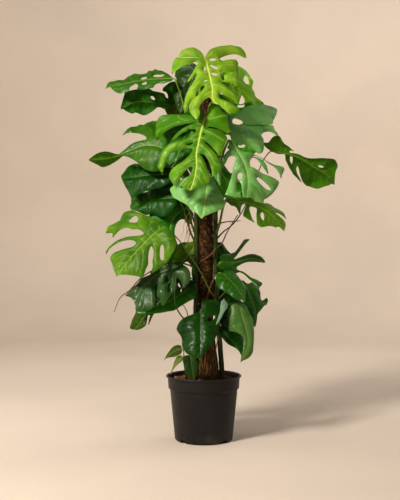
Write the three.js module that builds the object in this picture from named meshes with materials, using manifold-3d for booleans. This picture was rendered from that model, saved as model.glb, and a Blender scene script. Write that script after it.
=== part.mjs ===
// A potted swiss cheese plant: a climbing aroid with split, holed leaves on a coir pole, in a plain black nursery pot.
// Millimetres, +Z up. The origin is the middle of the pot's flat bottom. The front of the plant faces -Y.
import * as THREE from "three";
import Module from "manifold-3d";
import { mergeVertices } from "three/addons/utils/BufferGeometryUtils.js";

const wasm = await Module();
wasm.setup();

// ---------------------------------------------------------------- driving dimensions
const GAP = 0.3; // between pieces that touch
const POT = {
  height: 231, // top of the rolled rim
  rimRadius: 135,
  collarTop: 129, // outer radius of the collar under the rim
  collarBottom: 126.5,
  collarBottomZ: 185,
  bodyTop: 121.5, // outer radius just under the collar
  bodyBottom: 103.5, // outer radius at bodyBottomZ
  bodyBottomZ: 10,
  footRadius: 98, // flat part of the bottom
  wall: 2.4,
  floor: 3,
  notchWidth: 26,
  notchHeight: 10,
  notches: 4,
  sides: 32,
};
const SOIL = { top: 211, crown: 216, bottom: 3.4 };
const POLE = { x: 7, y: 6, core: 11, radius: 25, bottom: 14, coirBottom: 60, coirTop: 1272, top: 1280, sides: 14 };
const BLADE = 1.5; // thickness of a leaf blade
const EDGE = 115; // longest edge of a blade's facets
const TRIM = 4.2; // outline points closer than this to a straight line are left out

const SMALL_HOLE = 190; // holes of a smaller area, in square millimetres, are left out of the solid blades

// climbing stems: [x, y, z, radius] from below the soil to the growing tip
const STEMS = [
  { name: "stem_left", steps: 18, path: [[-40, -6, 120, 9], [-38, -6, 205, 9.5], [-33, -9, 330, 9.5], [-28, -7, 500, 8.6], [-26.6, -4, 660, 8.4], [-26.2, -3, 820, 8.2], [-26.2, -2, 980, 8], [-26, -4, 1100, 7.5], [-25, -8, 1190, 6.5], [-22, -18, 1250, 4]] },
  { name: "stem_right", steps: 18, path: [[72, 2, 120, 9], [68, 0, 205, 9.5], [58, -5, 340, 9], [46, -4, 480, 8.5], [42.5, 0, 640, 8], [42.5, 2, 800, 8], [42.5, 2, 940, 7.5], [41, 2, 1060, 7], [41, 0, 1140, 6], [45, -8, 1195, 4]] },
  { name: "stem_back", steps: 17, path: [[2, 52, 120, 9], [3, 48, 205, 9.5], [6, 43, 360, 9], [10, 41.5, 560, 8.5], [7, 41, 760, 8], [7, 40.5, 940, 7.5], [6, 40, 1080, 6.5], [6, 41, 1170, 5], [5, 46, 1215, 3.5]] },
  { name: "offshoot", steps: 8, path: [[-58, -62, 140, 4], [-60, -68, 205, 5], [-62, -74, 250, 4.6], [-63, -78, 290, 3.6]] },
];

// aerial roots: [x, y, z] points and a radius
const ROOTS = [
  { name: "root_clasp_upper", stem: "stem_right", pole: true, steps: 8, radii: [3.2, 3, 2.6, 1.4], path: [[43, 2, 690], [40, -12, 678], [29, -19.5, 667], [11, -23, 652], [-8, -20, 640], [-19, -9, 631]] },
  { name: "root_clasp_middle", stem: "stem_right", pole: true, steps: 10, radii: [4, 4, 3.6, 2.6, 1.4], path: [[43, 1, 600], [41, -12, 585], [31, -19, 566], [15, -23.5, 520], [2, -23.8, 470], [-8, -20.5, 432]] },
  { name: "root_clasp_low", stem: "stem_right", pole: true, steps: 12, radii: [4, 4, 3.8, 3, 2], path: [[52, -4, 420], [44, -17, 396], [32, -20, 352], [22, -23, 300], [17, -24, 254], [20, -23, 219]] },
  { name: "root_clasp_left", stem: "stem_left", pole: true, steps: 12, radii: [3.6, 3.4, 3, 2.4, 1.8], path: [[-30, -8, 452], [-22, -20, 440], [-12, -22.8, 412], [-6, -23.4, 370], [-5, -23.4, 320], [-9, -22.5, 270], [-14, -21.5, 219]] },
  { name: "root_hanging_left", stem: "stem_left", steps: 10, radii: [2.6, 2.4, 2, 1.6, 1], path: [[-30, -8, 618], [-90, -24, 634], [-160, -36, 617], [-223, -40, 581], [-262, -40, 538], [-297, -40, 510], [-319, -40, 459]] },
  { name: "root_right_upper", stem: "stem_right", steps: 7, radii: [2.4, 2, 1.8, 1.2], path: [[43, 2, 768], [58, 8, 776], [84, 2, 782], [110, -6, 783], [132, -10, 785]] },
  { name: "root_right_lower", stem: "stem_right", steps: 8, radii: [2.4, 2, 1.8, 1.2], path: [[43, 2, 686], [62, -6, 700], [84, -8, 744], [104, -10, 778], [122, -12, 806]] },
];

// Each leaf: at = where blade and stalk meet; along, across, face = its own axes; the blade's outline (out), holes and
// midrib (mid) are (u, v) pairs in millimetres on along and across; fold, droop, side and wave bend it; stalk runs from
// the stem to the blade.
const LEAVES = [
  {
    name: "leaf_01_top_front",
    stem: "stem_left",
    colour: "#3f7a22",
    small: 0,
    trim: 2.0,
    at: [4, -86, 1351.2],
    along: [0.1918, -0.4776, -0.8574],
    across: [0.9773, 0.1735, 0.1219],
    face: [0.0905, -0.8613, 0.5],
    L: 240.6,
    W: 147.7,
    fold: -0.1,
    droop: 0.1,
    side: 0.1,
    wave: [7, 70, 3.41, 1.75],
    mid: [[0, 0], [36.8, -0.2], [85.3, -0.1], [131.5, -1], [183.6, -4], [196.3, 4.1]],
    out: [[0, 0], [-14.5, -2.5], [-28.2, -6.9], [-42, -14.9], [-52, -25.4], [-57.3, -36.9], [-58.4, -49.1], [-57.4, -61.7], [-53.7, -71.3], [-45.3, -79.3], [-35.2, -84.7], [-27.9, -86.7], [-16.3, -49.8], [-5.6, -20.2], [-12.7, -50.5], [-22.6, -84.1], [-26.3, -95.9], [-17.7, -105.1], [-7.7, -111.3], [3.7, -115.5], [18.4, -119.7], [40.1, -122.5], [34.4, -115.2], [28.9, -103.8], [24.1, -90.8], [20, -77.8], [19.1, -63.7], [19.5, -53.3], [18.1, -49.5], [13, -43.2], [13.8, -31.1], [21.4, -29], [29.3, -37.5], [45.6, -49.2], [59.5, -60.4], [72.4, -69.7], [86.8, -78.4], [98.6, -81], [89.7, -71.4], [76.3, -60.1], [65.3, -50.1], [61.4, -41.4], [80.1, -48.8], [99, -61.7], [115.5, -75.7], [131, -87.2], [147.7, -96.2], [169.8, -103.5], [187.8, -108.5], [199.7, -104.5], [202.1, -97.9], [191.9, -92.6], [172.1, -84.6], [160, -73.4], [152.6, -60.4], [162.1, -73.8], [174.7, -83.6], [186, -89.3], [196.8, -91.3], [207.4, -89.1], [222.1, -83.3], [238.3, -77], [240.6, -72.6], [227.9, -62.5], [214.3, -57.5], [199.6, -58.2], [189.9, -52.5], [178.3, -40.9], [170.3, -29.1], [166.5, -18.1], [176.4, -12], [190.6, -8.8], [196.3, 4.1], [200.7, 12], [210.6, 18.9], [220.3, 27.7], [232.6, 37.8], [231.5, 46.9], [224.9, 65.8], [217, 81.8], [209, 72.7], [197, 57.3], [183.6, 42.3], [176.2, 27.6], [170.4, 18.4], [160.3, 18.2], [150.9, 24.7], [157.5, 36.7], [167.6, 52.7], [180.8, 68.3], [192.5, 80.3], [178.3, 85.3], [166.6, 81.6], [155.2, 78.3], [140.7, 65.1], [124.3, 50.6], [108.5, 37.6], [105.4, 54.6], [107.1, 68.9], [115.8, 81.8], [132.9, 83.6], [122.7, 92.6], [112.2, 100.7], [98.1, 100.3], [69.8, 106.7], [49.3, 113.1], [35.3, 114.1], [14.1, 118.8], [-1.2, 116], [-0.9, 99.8], [9.8, 74.4], [12.8, 59.1], [5.7, 52.6], [-1.8, 58.6], [-11.3, 72], [-20.3, 89.2], [-22, 108.1], [-18.6, 126], [-13.6, 140], [-9.4, 152.3], [-12.1, 156], [-23.7, 156.3], [-54.1, 160.4], [-64.2, 154.3], [-69.7, 146.5], [-71.8, 135.5], [-69.8, 111.9], [-60.8, 86.3], [-56.2, 62.9], [-50.9, 43.4], [-41.8, 28.6], [-27.9, 16.5], [-13.6, 7.4]],
    holes: [[[42.5, -17.1], [39.5, -10.2], [47, -6.4], [55.4, -11.6], [54.1, -17.6]], [[7.5, 12.9], [3.1, 24.7], [7.7, 38.3], [14.2, 35.6], [15.6, 22.2], [12.6, 13]], [[32.8, 11.4], [35.4, 21.8], [44.1, 36.7], [51.9, 32.8], [48.3, 21.2], [40.1, 12.1]], [[68.4, 7.8], [66.1, 19], [71.5, 30.9], [77.3, 26.2], [78, 13.1]], [[100.1, -25.7], [96.9, -18.8], [97.7, -8.5], [101.5, -14.5], [102.2, -23.3]], [[140.3, -55.9], [128.4, -45.4], [118.4, -32.2], [118.6, -24.3], [128.4, -29.6], [138.3, -41.8], [149.9, -54.4], [148.5, -58.9]], [[62.1, 49.9], [63.4, 63.2], [62.8, 78.2], [62.1, 95.3], [73.1, 96.3], [75, 73.4], [75.7, 55], [95.5, 50.4], [95.6, 44.2]]],
    stalk: [[-25.1, -7.8, 1185], [-19.1, -21.6, 1215.5], [-14.4, -29.9, 1245.3], [-10.6, -35.3, 1273.6], [-7.3, -40.5, 1299.3], [-4.1, -48.2, 1321.8], [-0.8, -61.1, 1340.1], [3, -81.9, 1353.3], [6.5, -92.1, 1338.8], [10.3, -101.7, 1321.7]],
  },
  {
    name: "leaf_02_top_left_behind",
    stem: "stem_left",
    colour: "#3f7a22",
    small: 0,
    trim: 4.2,
    at: [-24.5, 46, 1352.7],
    along: [-0.3425, -0.1126, -0.9328],
    across: [0.9171, -0.2557, -0.3059],
    face: [-0.2041, -0.9602, 0.1908],
    L: 183.2,
    W: 71.7,
    fold: -0.12,
    droop: 0.08,
    side: 0.16,
    wave: [5, 60, 3.24, 3.58],
    mid: [[0, 0], [55.6, 0.6], [114.7, -2.1], [176.3, -4.7]],
    out: [[0, 0], [-6.6, -14.7], [-5.4, -35.1], [4.5, -52.5], [16.7, -69.5], [31.8, -80], [49.4, -76.9], [65.7, -60.7], [77.7, -65], [93.3, -68.1], [117.6, -54.9], [141.1, -40.7], [162, -24.6], [176.4, -12.8], [183.2, -2.4], [177.4, 11.3], [169.4, 24], [148.3, 31.7], [114.9, 32.7], [77.5, 27.3], [33.3, 19.7]],
    holes: [],
    stalk: [[-25.8, -4.9, 1120], [-23.1, 20.1, 1161.9], [-18.8, 44.5, 1206.1], [-14.3, 65.2, 1249.5], [-11, 79, 1289.2], [-10.4, 83, 1322.1], [-13.8, 74, 1345.3], [-22.6, 48.9, 1355.9], [-29, 45, 1339.4], [-35.6, 42.8, 1320.7]],
  },
  {
    name: "leaf_03_top_right_behind",
    stem: "stem_right",
    colour: "#3f7a22",
    small: 0,
    trim: 4.2,
    at: [74.1, 40, 1336.7],
    along: [0.3, -0.251, -0.9203],
    across: [0.8177, 0.5646, 0.1126],
    face: [0.4913, -0.7863, 0.3746],
    L: 136.9,
    W: 128.1,
    fold: -0.1,
    droop: 0.1,
    side: 0.12,
    wave: [6, 60, 3.75, 4.25],
    mid: [[0, 0], [41.3, 7.6], [85, 15.9], [133.8, 10.8]],
    out: [[0, 0], [-12.2, 24.3], [-24.1, 63.1], [-25.6, 95.2], [-17.7, 116.8], [-5.2, 134.1], [11.5, 149.7], [47.1, 131.4], [72, 126.2], [95.1, 125.7], [105.7, 146], [117.7, 168.1], [121.4, 145.5], [129.3, 94.5], [126.5, 71], [132.1, 57.5], [136.9, 38], [133.8, 10.8], [117.8, -14.8], [92.3, -31.6], [62.2, -36.8], [27.2, -23.3]],
    holes: [[[6.7, 113.6], [25.7, 108.9], [44.6, 112.2], [45.7, 100], [37.3, 89.1], [28.8, 87.7]], [[97.8, 54.8], [113.5, 58.6], [125.8, 55.9], [133, 41.1], [131.7, 28.1], [117.2, 36.1]]],
    stalk: [[41, 0.5, 1120], [50.1, 19.7, 1158.4], [53, 38.7, 1197.9], [52.3, 55.1, 1236.5], [51, 66.2, 1272], [51.9, 69.6, 1302.4], [57.8, 62.7, 1325.6], [71.6, 43, 1339.4], [80, 38.5, 1323.9], [88.9, 35.8, 1305.8]],
  },
  {
    name: "leaf_04_second_front",
    stem: "stem_left",
    colour: "#3f7a22",
    small: 0,
    trim: 4.2,
    at: [8.9, -130, 1148.2],
    along: [-0.1725, -0.4539, -0.8742],
    across: [0.9831, -0.1348, -0.124],
    face: [-0.0616, -0.8808, 0.4695],
    L: 294.8,
    W: 159.2,
    fold: -0.08,
    droop: 0.1,
    side: 0.12,
    wave: [8, 75, 2.71, 1.09],
    mid: [[0, 0], [34.4, -2.8], [72, -6.8], [120.2, -7.8], [162.8, -7.7], [206.9, 0.4], [250.7, 1], [294.8, -5.1]],
    out: [[0, 0], [12.5, -13.6], [22.6, -24.1], [18.1, -35.5], [9.2, -49.6], [3.4, -72.2], [0.6, -101.5], [3.1, -129.8], [7.1, -150.7], [13.4, -164.1], [23.7, -171.7], [37.4, -174.7], [69.3, -168.3], [89, -163.8], [103.2, -156.6], [88, -150.8], [76, -135.2], [65.5, -117.3], [55.2, -97.8], [48.2, -70.7], [41.8, -47.1], [35.2, -27.2], [47.3, -46.2], [58.8, -65.4], [74.6, -85.7], [92.7, -98.3], [112.7, -104.7], [120.9, -105.9], [115.1, -97.8], [104.6, -88.5], [88.7, -75.7], [78.7, -61.7], [76.5, -50.1], [89.2, -42.1], [103.3, -50], [113.3, -69.2], [121.9, -92.3], [132.7, -111.5], [146, -124.1], [162.3, -131.6], [183.3, -134.3], [214.5, -133], [224.1, -124.3], [238.7, -111.8], [221.4, -111.5], [201, -111.5], [174.8, -107.8], [158, -96.8], [151.1, -76.7], [146.9, -56.4], [139.8, -40.1], [147.1, -22.8], [166, -28.5], [181.6, -39.6], [195.3, -54.6], [206.9, -70], [221.3, -83.7], [237.5, -88.6], [256.6, -83.2], [271.2, -72.2], [283.7, -58.4], [274, -53.2], [260, -48], [241.6, -42.9], [223.7, -32.4], [212, -20.6], [211.6, -11.8], [227.9, -12.4], [243.7, -18.6], [260, -27.4], [276.1, -38.4], [287.5, -40.5], [289.7, -26.4], [294, -14.7], [294.8, -5.1], [287.4, 7.1], [277.2, 24.2], [264.7, 38.8], [252.2, 51], [232.1, 46.5], [207.6, 37], [188.3, 26.4], [171.7, 14.9], [159.4, 4], [160.2, 16.4], [171.3, 29], [188.7, 41.3], [211.7, 51.8], [232.2, 57.2], [246.5, 57.5], [236.3, 62.6], [217.7, 71.6], [198, 81.6], [180.9, 76.6], [162.6, 66.3], [141.8, 50.6], [128.7, 34.9], [119, 19], [111, 8.1], [112.5, 19.3], [124.6, 38.3], [140, 55.8], [156.7, 68.7], [168.4, 72.3], [143.5, 75.2], [120.4, 79.8], [102.2, 83.9], [81.4, 85.3], [64.3, 75], [55.5, 57.9], [56.3, 31.9], [59.4, 10.4], [53, 17.6], [50.9, 34.5], [51.8, 56.6], [57, 78], [59, 94.1], [46.4, 88.8], [31.9, 82.5], [9.1, 77.1], [-16.4, 73.3], [-34.6, 63.5], [-53.8, 48.6], [-64.8, 34.6], [-66.4, 20.3], [-58.8, 8.5], [-42.3, 1.5], [-21.7, 0.1]],
    holes: [[[71.1, -52.5], [67.9, -44.6], [73.9, -40], [79.9, -44.5]], [[71.3, -35.5], [66.8, -28.6], [73.4, -23.9], [78.7, -30]], [[83.8, 0.8], [79.1, 4.8], [83.3, 8.3], [86.5, 4]], [[125.9, -48.2], [119.4, -36.8], [118.2, -25.1], [127.9, -33.9], [129.6, -43.4]]],
    stalk: [[-26.2, -2.2, 940], [-18.6, -22.4, 979.9], [-10.2, -37, 1017.9], [-2.1, -48.9, 1053.2], [5, -61, 1085], [9.9, -75.9, 1112.3], [11.8, -96.6, 1134.4], [9.7, -125.9, 1150.4], [5.4, -135.6, 1135.8], [0.3, -144.5, 1118.5]],
  },
  {
    name: "leaf_05_centre_pointed",
    stem: "stem_right",
    colour: "#3f7a22",
    small: 0,
    trim: 4.2,
    at: [14.2, -110, 950.4],
    along: [-0.1159, -0.5036, -0.8561],
    across: [0.9914, -0.0062, -0.1306],
    face: [0.0604, -0.8639, 0.5],
    L: 187.3,
    W: 124.2,
    fold: -0.16,
    droop: 0.05,
    side: 0.1,
    wave: [3, 90, 0.93, 1.43],
    mid: [[0, 0], [74.7, 3.3], [134.4, 3.4], [187.3, -0.1]],
    out: [[0, 0], [5.9, -27.1], [18.9, -56.6], [35.2, -85.7], [52.9, -111], [67.9, -122.8], [84.8, -114.9], [103.9, -102.7], [117.8, -86.6], [130.1, -68], [140.9, -51.7], [158.7, -32.6], [173.1, -15.3], [187.3, -0.1], [178.4, 7], [166.4, 22.8], [153.4, 42], [138.4, 59.7], [119.8, 72.4], [94.9, 67], [72.8, 52.5], [50.6, 37.4], [24.3, 22.4]],
    holes: [],
    stalk: [[42.5, 1.9, 790], [37.3, -14.8, 821.5], [31.8, -27.8, 850.8], [26.4, -39.1, 877.6], [21.6, -50.6, 901.5], [17.8, -64.3, 922.2], [15.3, -82, 939.4], [14.5, -105.7, 952.5], [13.2, -116.5, 938], [11.7, -126.7, 920.8]],
  },
  {
    name: "leaf_06_right_upper",
    stem: "stem_right",
    colour: "#3f7a22",
    small: 0,
    trim: 4.2,
    at: [89.6, -36, 1161.9],
    along: [0.5873, -0.2576, -0.7673],
    across: [0.7532, 0.5209, 0.4016],
    face: [0.2962, -0.8138, 0.5],
    L: 177.9,
    W: 232.6,
    fold: -0.06,
    droop: 0.14,
    side: 0.1,
    wave: [5, 70, 0.53, 2.09],
    mid: [[0, 0], [25.9, -23.7], [58.6, -39.7], [93.8, -37.4], [121.5, -12.3], [177.9, 20.1]],
    out: [[0, 0], [2.5, 17.9], [4.6, 41.8], [-3.3, 74.5], [-6.3, 108.4], [-3.8, 144.7], [1.7, 174.9], [10.8, 204.3], [22.5, 232.3], [33.6, 241], [48.2, 223.4], [61.6, 202.2], [71.5, 184.8], [89.3, 157.4], [87.5, 122], [73.5, 90], [63.1, 56.2], [52.1, 39], [39.8, 28.2], [30.8, 15.1], [24.1, -1.6], [37.5, -12.3], [46.4, -4.3], [51.6, 8.8], [51.5, 29.2], [64.8, 49.6], [76.3, 82.5], [90.9, 114], [94.6, 151.8], [108.1, 152], [125.6, 150.4], [142.7, 138.9], [130.5, 128], [117, 119.2], [110.7, 102.8], [112.2, 81.1], [118.7, 70.1], [130, 70.5], [144.5, 63.2], [161.8, 48.8], [173.4, 34.6], [177.9, 20.1], [172.2, 9.4], [164.2, 5.3], [148, -7.3], [127.6, -21.4], [123.5, -25.2], [121.9, -38], [107.3, -49.3], [94.1, -55.8], [74.1, -48.7], [54.5, -57.2], [28.3, -48], [8.2, -25.5]],
    holes: [],
    stalk: [[41.9, 2, 985], [53.7, -5.8, 1016.2], [60.5, -7.7, 1047.3], [64.3, -6.9, 1077.2], [67, -6, 1104.9], [70.3, -8.2, 1129.2], [76.2, -16.1, 1149.2], [86.5, -32.9, 1163.7], [88, -45.7, 1145.6], [88.4, -58.3, 1124.1]],
  },
  {
    name: "leaf_07_right_centre",
    stem: "stem_right",
    colour: "#3f7a22",
    small: 0,
    trim: 4.2,
    at: [89.8, -130, 1055.2],
    along: [0.2403, -0.38, -0.8932],
    across: [0.9301, 0.3534, 0.0999],
    face: [0.2777, -0.8548, 0.4384],
    L: 234.4,
    W: 144.9,
    fold: -0.08,
    droop: 0.1,
    side: 0.14,
    wave: [6, 70, 0.05, 5.99],
    mid: [[0, 0], [37.3, 14.5], [77.2, 25.6], [115.7, 30.7], [167, 24], [213.9, 9.3]],
    out: [[0, 0], [15.1, -9.1], [32.9, -10.7], [42.1, -23.7], [57, -39.1], [76, -51.8], [95, -62.1], [116.3, -71.4], [138, -77], [152.6, -72.4], [172.6, -61.6], [153, -64.8], [135.1, -65.4], [110.1, -56.6], [90.7, -45.7], [77.1, -32.4], [61, -20], [57.9, -5.8], [65.1, 2.5], [84.8, -4.4], [108.5, -15.3], [130.3, -25.7], [153, -38], [175, -51.1], [191.4, -60.4], [198.9, -49.5], [205.2, -34.6], [209.1, -19.4], [209.2, -9.6], [190.8, -7.6], [189.1, -20], [168.8, -18.1], [151.1, -10.1], [151, -2.4], [168, 0.5], [189.2, -3.7], [208.1, -7.6], [213.9, 9.3], [215.3, 25.7], [222.6, 35.6], [229.9, 50.4], [234.4, 69.6], [222.2, 74.9], [213.8, 93], [203, 110.7], [184.9, 132], [167.6, 148], [156.8, 151.8], [147.3, 139.6], [137.4, 119.3], [129.9, 100.7], [120.1, 82.9], [109.6, 65.7], [103.4, 49.3], [91.1, 51.2], [79, 56], [66.2, 69.4], [71.2, 81.8], [84.9, 90.1], [96.2, 96.2], [111.2, 103.2], [121.9, 109.9], [130.6, 115], [117.5, 117.2], [95.8, 118.3], [80.4, 109.9], [71.4, 98.1], [65.4, 85.7], [62, 72.1], [58.8, 80.2], [63.5, 93.5], [70.6, 106.4], [78.7, 121], [90.3, 143.7], [103.4, 161.9], [122, 167.7], [143.8, 164.4], [123.2, 180.1], [108.8, 191.7], [100.1, 194.6], [93.8, 184.5], [89.6, 160.2], [79.9, 133], [67.7, 107], [56.9, 85.4], [47.9, 63.9], [43.2, 45.5], [35.2, 28.2], [15.4, 14.6]],
    holes: [[[126.4, -2.2], [121.3, 8.3], [127.1, 12.6], [142.7, 6.7], [148.8, -1.8], [139.1, -5.8]], [[141.8, 62.4], [143.5, 77.5], [153.8, 91.4], [169.5, 103.8], [186.7, 111.1], [188.4, 100.2], [177.3, 81.7], [160.6, 66.9]]],
    stalk: [[42.5, 2, 880], [49.2, -17, 915.6], [54.7, -32.9, 948.5], [59.6, -47.3, 978.3], [64.7, -62.1, 1004.5], [70.7, -79, 1026.7], [78.3, -99.8, 1044.6], [88.1, -126.3, 1057.7], [98, -132.8, 1043], [110.1, -137.6, 1025.9]],
  },
  {
    name: "leaf_08_far_right",
    stem: "stem_right",
    colour: "#3f7a22",
    small: 0,
    trim: 4.2,
    at: [247.6, 22, 1037.2],
    along: [0.8745, 0.226, -0.4292],
    across: [-0.4324, 0.7643, -0.4785],
    face: [0.2198, 0.604, 0.766],
    L: 267.6,
    W: 102.2,
    fold: 0.1,
    droop: 0.02,
    side: 0.1,
    wave: [4, 80, 1.02, 4.74],
    mid: [[0, 0], [29.8, -14.3], [66.4, -31.3], [110.7, -35.7], [170.4, -30.2], [213.6, -30.8], [267.6, -4.9]],
    out: [[0, 0], [-17.9, -1.6], [-35.1, -6.5], [-45.8, -16.1], [-31.7, -24.9], [-30.8, -36.1], [-32.2, -47.1], [-31.5, -63.3], [-25.4, -74.3], [-14.9, -75.8], [-1.7, -68.9], [10.7, -62.9], [22.3, -59.2], [35.1, -57.1], [49.5, -54.2], [62.6, -49.6], [51, -44.9], [53, -36.3], [71.2, -44.2], [89.3, -49.3], [109.8, -50.6], [126.3, -58.2], [149.4, -75.4], [171.1, -95], [187.1, -110.3], [198.5, -114], [211.4, -104.3], [223.4, -92.3], [230, -77.4], [235.6, -60.3], [244.7, -43], [257.5, -21.3], [267.6, -4.9], [258.2, -3.1], [252.8, 11.8], [243.2, 28.3], [235.7, 43.7], [228.2, 55.5], [216.2, 65.4], [203.3, 70.2], [190.8, 70.7], [173, 61.5], [156.7, 50], [137.3, 29.5], [119.6, 9.7], [111.4, 4.9], [117.5, 22], [134.1, 40.3], [151.3, 52.9], [166.4, 65], [148.7, 63.2], [129.2, 56.8], [104.6, 40.4], [80.9, 22.5], [59.9, 3.4], [43.7, -16.6], [23.8, -2.8]],
    holes: [[[65.1, -22.2], [72.3, -22.9], [83.3, -7.3], [90.3, 11.3], [80.2, 4.4]], [[168.9, -48.4], [176.3, -54.4], [188.6, -55.2], [182.2, -45.3], [173.8, -43.6]]],
    stalk: [[42.5, 1, 716], [70.5, 27.2, 745.2], [104, 49.5, 771.7], [131.6, 70.7, 805], [153.2, 90.9, 843], [172.1, 103.8, 885.3], [188.5, 94.8, 929.3], [203.1, 74.6, 970.6], [217.8, 47.7, 1007.8], [243.6, 19.5, 1037], [262.6, 19.7, 1034], [284.3, 17.1, 1030.2]],
  },
  {
    name: "leaf_09_left_upper",
    stem: "stem_left",
    colour: "#3f7a22",
    small: 0,
    trim: 4.2,
    at: [-110.9, 6, 1298.6],
    along: [-0.9879, 0.1063, -0.1126],
    across: [0.0107, -0.6785, -0.7346],
    face: [-0.1545, -0.7269, 0.6691],
    L: 258.3,
    W: 58.5,
    fold: -0.1,
    droop: 0.1,
    side: 0.1,
    wave: [4, 60, 1.47, 0.22],
    mid: [[0, 0], [48.1, -9.1], [100.8, -19.3], [161.9, -23.7], [212.6, -27.2], [255, -38.5]],
    out: [[0, 0], [11, -23], [23.5, -42.6], [39.3, -61.8], [56.2, -83.9], [80.5, -122.7], [93.3, -105.7], [100.1, -71.6], [112.3, -71.7], [129.6, -83.4], [147.2, -102.4], [158.6, -81.5], [179.6, -83.1], [200.2, -64.8], [224, -65], [245.2, -74.5], [252.1, -57.2], [255.6, -43.9], [258.3, -31.4], [250, -32.4], [240.4, -31.4], [231.9, -18.1], [223.9, -6.7], [211.7, 4], [195.5, 15.9], [177.1, 16], [164.1, 13.9], [163.2, 3.5], [152.3, -3.7], [138.5, -8.5], [129, 6.4], [134.2, 17.9], [116.1, 21.1], [93.1, 23.4], [74.1, 30.4], [68.1, 19.3], [51.9, 12.5], [33.4, 17.8], [18.4, 15.9], [5.1, 13]],
    holes: [[[75.8, -43.9], [66.1, -56.6], [46.2, -43.9], [32.2, -29.8], [41.3, -23.1], [60.1, -27.2], [71.5, -34.6]], [[121.9, -31.4], [113.7, -41.8], [100.2, -41.3], [97.6, -30], [106.4, -25.4]], [[117.1, 0.2], [108.2, -7.5], [98.4, -7.8], [99.2, 2.7], [111.9, 3.1]]],
    stalk: [[-26, -3.7, 1080], [-45.5, 1.5, 1117], [-59.1, 9.3, 1151.8], [-68.8, 17.3, 1184.5], [-76.4, 23.3, 1215.3], [-83.9, 25.2, 1244.3], [-93.3, 20.7, 1271.6], [-106.5, 7.5, 1297.4], [-124.7, 9.8, 1298.6], [-144.5, 14.4, 1299.1]],
  },
  {
    name: "leaf_10_left_upper_dark",
    stem: "stem_left",
    colour: "#3f7a22",
    small: 0,
    trim: 4.2,
    at: [-84.3, 104, 1214.7],
    along: [-0.9901, -0.1256, -0.0632],
    across: [-0.0351, -0.2145, 0.9761],
    face: [-0.1361, 0.9686, 0.2079],
    L: 225.3,
    W: 89.5,
    fold: 0.06,
    droop: 0.03,
    side: 0.08,
    wave: [4, 70, 3.84, 3.09],
    mid: [[0, 0], [48.3, 8.9], [107.5, 18.7], [166.7, 23.3], [223.3, 0.2]],
    out: [[0, 0], [-11.8, 12.4], [-15.2, 37.9], [-13.9, 67.2], [-3.3, 87.2], [14.8, 92.2], [37.7, 89.5], [51.3, 80.6], [64.1, 70.1], [65.3, 59.2], [54.4, 55.2], [48.1, 45.5], [48, 32.3], [54.5, 35.5], [59.9, 48.1], [68.6, 52.8], [87.1, 57.6], [100.4, 60.6], [119.8, 72.3], [141.9, 70.9], [164.3, 68.9], [186.6, 65.4], [203, 60.3], [211.3, 43.3], [218.4, 21.8], [225.3, -1.9], [216, -0.1], [205.3, -7.9], [194.5, -13.8], [181.8, -18.4], [170.5, -14.8], [157.7, -19.8], [143.1, -26.4], [132, -26.4], [120.6, -20.7], [109.1, -13.8], [97.6, -7], [87.9, 0.3], [74.9, -1], [63.9, -6.6], [48.9, -5.7], [37.6, -2.1], [24.3, 1.4], [11.6, -7.2]],
    holes: [[[111.6, 41.4], [104.1, 42.6], [95.1, 29.5], [101.5, 27.9], [109.7, 34.1]], [[27.6, 59.7], [19.9, 63], [12.7, 53.6], [9.1, 42.5], [15.3, 36.9], [24.3, 46]]],
    stalk: [[-26.1, -2.5, 1010], [-35, 15.4, 1048], [-41, 28.6, 1084.1], [-45.5, 39.2, 1117.6], [-50.1, 49.6, 1148], [-56.4, 62, 1174.7], [-65.8, 78.7, 1197], [-80, 102, 1214.4], [-98.2, 101.1, 1216.2], [-118.1, 98, 1218.6]],
  },
  {
    name: "leaf_11_left_middle",
    stem: "stem_left",
    colour: "#3f7a22",
    small: 0,
    trim: 4.2,
    at: [-137, -60, 1036.3],
    along: [-0.9695, 0.2273, -0.0916],
    across: [-0.029, -0.4775, -0.8782],
    face: [-0.2434, -0.8487, 0.4695],
    L: 183.6,
    W: 111.2,
    fold: -0.1,
    droop: 0.08,
    side: 0.14,
    wave: [6, 65, 0.73, 4.14],
    mid: [[0, 0], [26.7, -14.4], [57.3, -25], [91.9, -27.5], [130, -17.5], [173.2, -10.5]],
    out: [[0, 0], [-9, -26.3], [-8.3, -67.4], [6.8, -118.3], [22.8, -140], [49.1, -157.6], [74.8, -175.1], [82.7, -154.2], [95, -141.5], [122.6, -158.1], [147.7, -158.9], [156.5, -140.8], [168.4, -133.4], [178.3, -128.8], [183.6, -118.7], [173.1, -117], [155.6, -112.4], [138.4, -108.8], [119.8, -107.5], [101.7, -95.7], [84.7, -78.2], [72.4, -60.1], [75.5, -52.9], [86.8, -51.5], [101.9, -49.3], [121.2, -46], [140.8, -40.2], [155.3, -29.4], [168.1, -19.5], [175.7, -11.2], [164.8, -3.5], [148.7, 2.1], [133, 9.7], [117.8, 21.2], [103.5, 36.6], [91.5, 49.6], [73.8, 63], [49, 77], [27.9, 75.4], [6.3, 68.9], [-9.5, 50.7], [-13.5, 25.2]],
    holes: [],
    stalk: [[-26.2, -2.8, 850], [-44.4, -11.1, 884.6], [-60.1, -16.3, 915.8], [-74.3, -20.3, 944.1], [-87.7, -24.8, 969.8], [-101.3, -31.5, 993.4], [-115.9, -42.3, 1015.1], [-132.4, -58.7, 1035.4], [-150.1, -52.6, 1041.3], [-169.3, -43.6, 1047.7]],
  },
  {
    name: "leaf_12_far_left",
    stem: "stem_left",
    colour: "#3f7a22",
    small: 0,
    trim: 4.2,
    at: [-177.3, 102, 1026.3],
    along: [-0.9905, -0.1247, -0.0586],
    across: [0.036, -0.6444, 0.7638],
    face: [-0.133, 0.7544, 0.6428],
    L: 248.4,
    W: 54,
    fold: 0.06,
    droop: 0.04,
    side: 0.1,
    wave: [4, 80, 3.84, 1.06],
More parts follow.
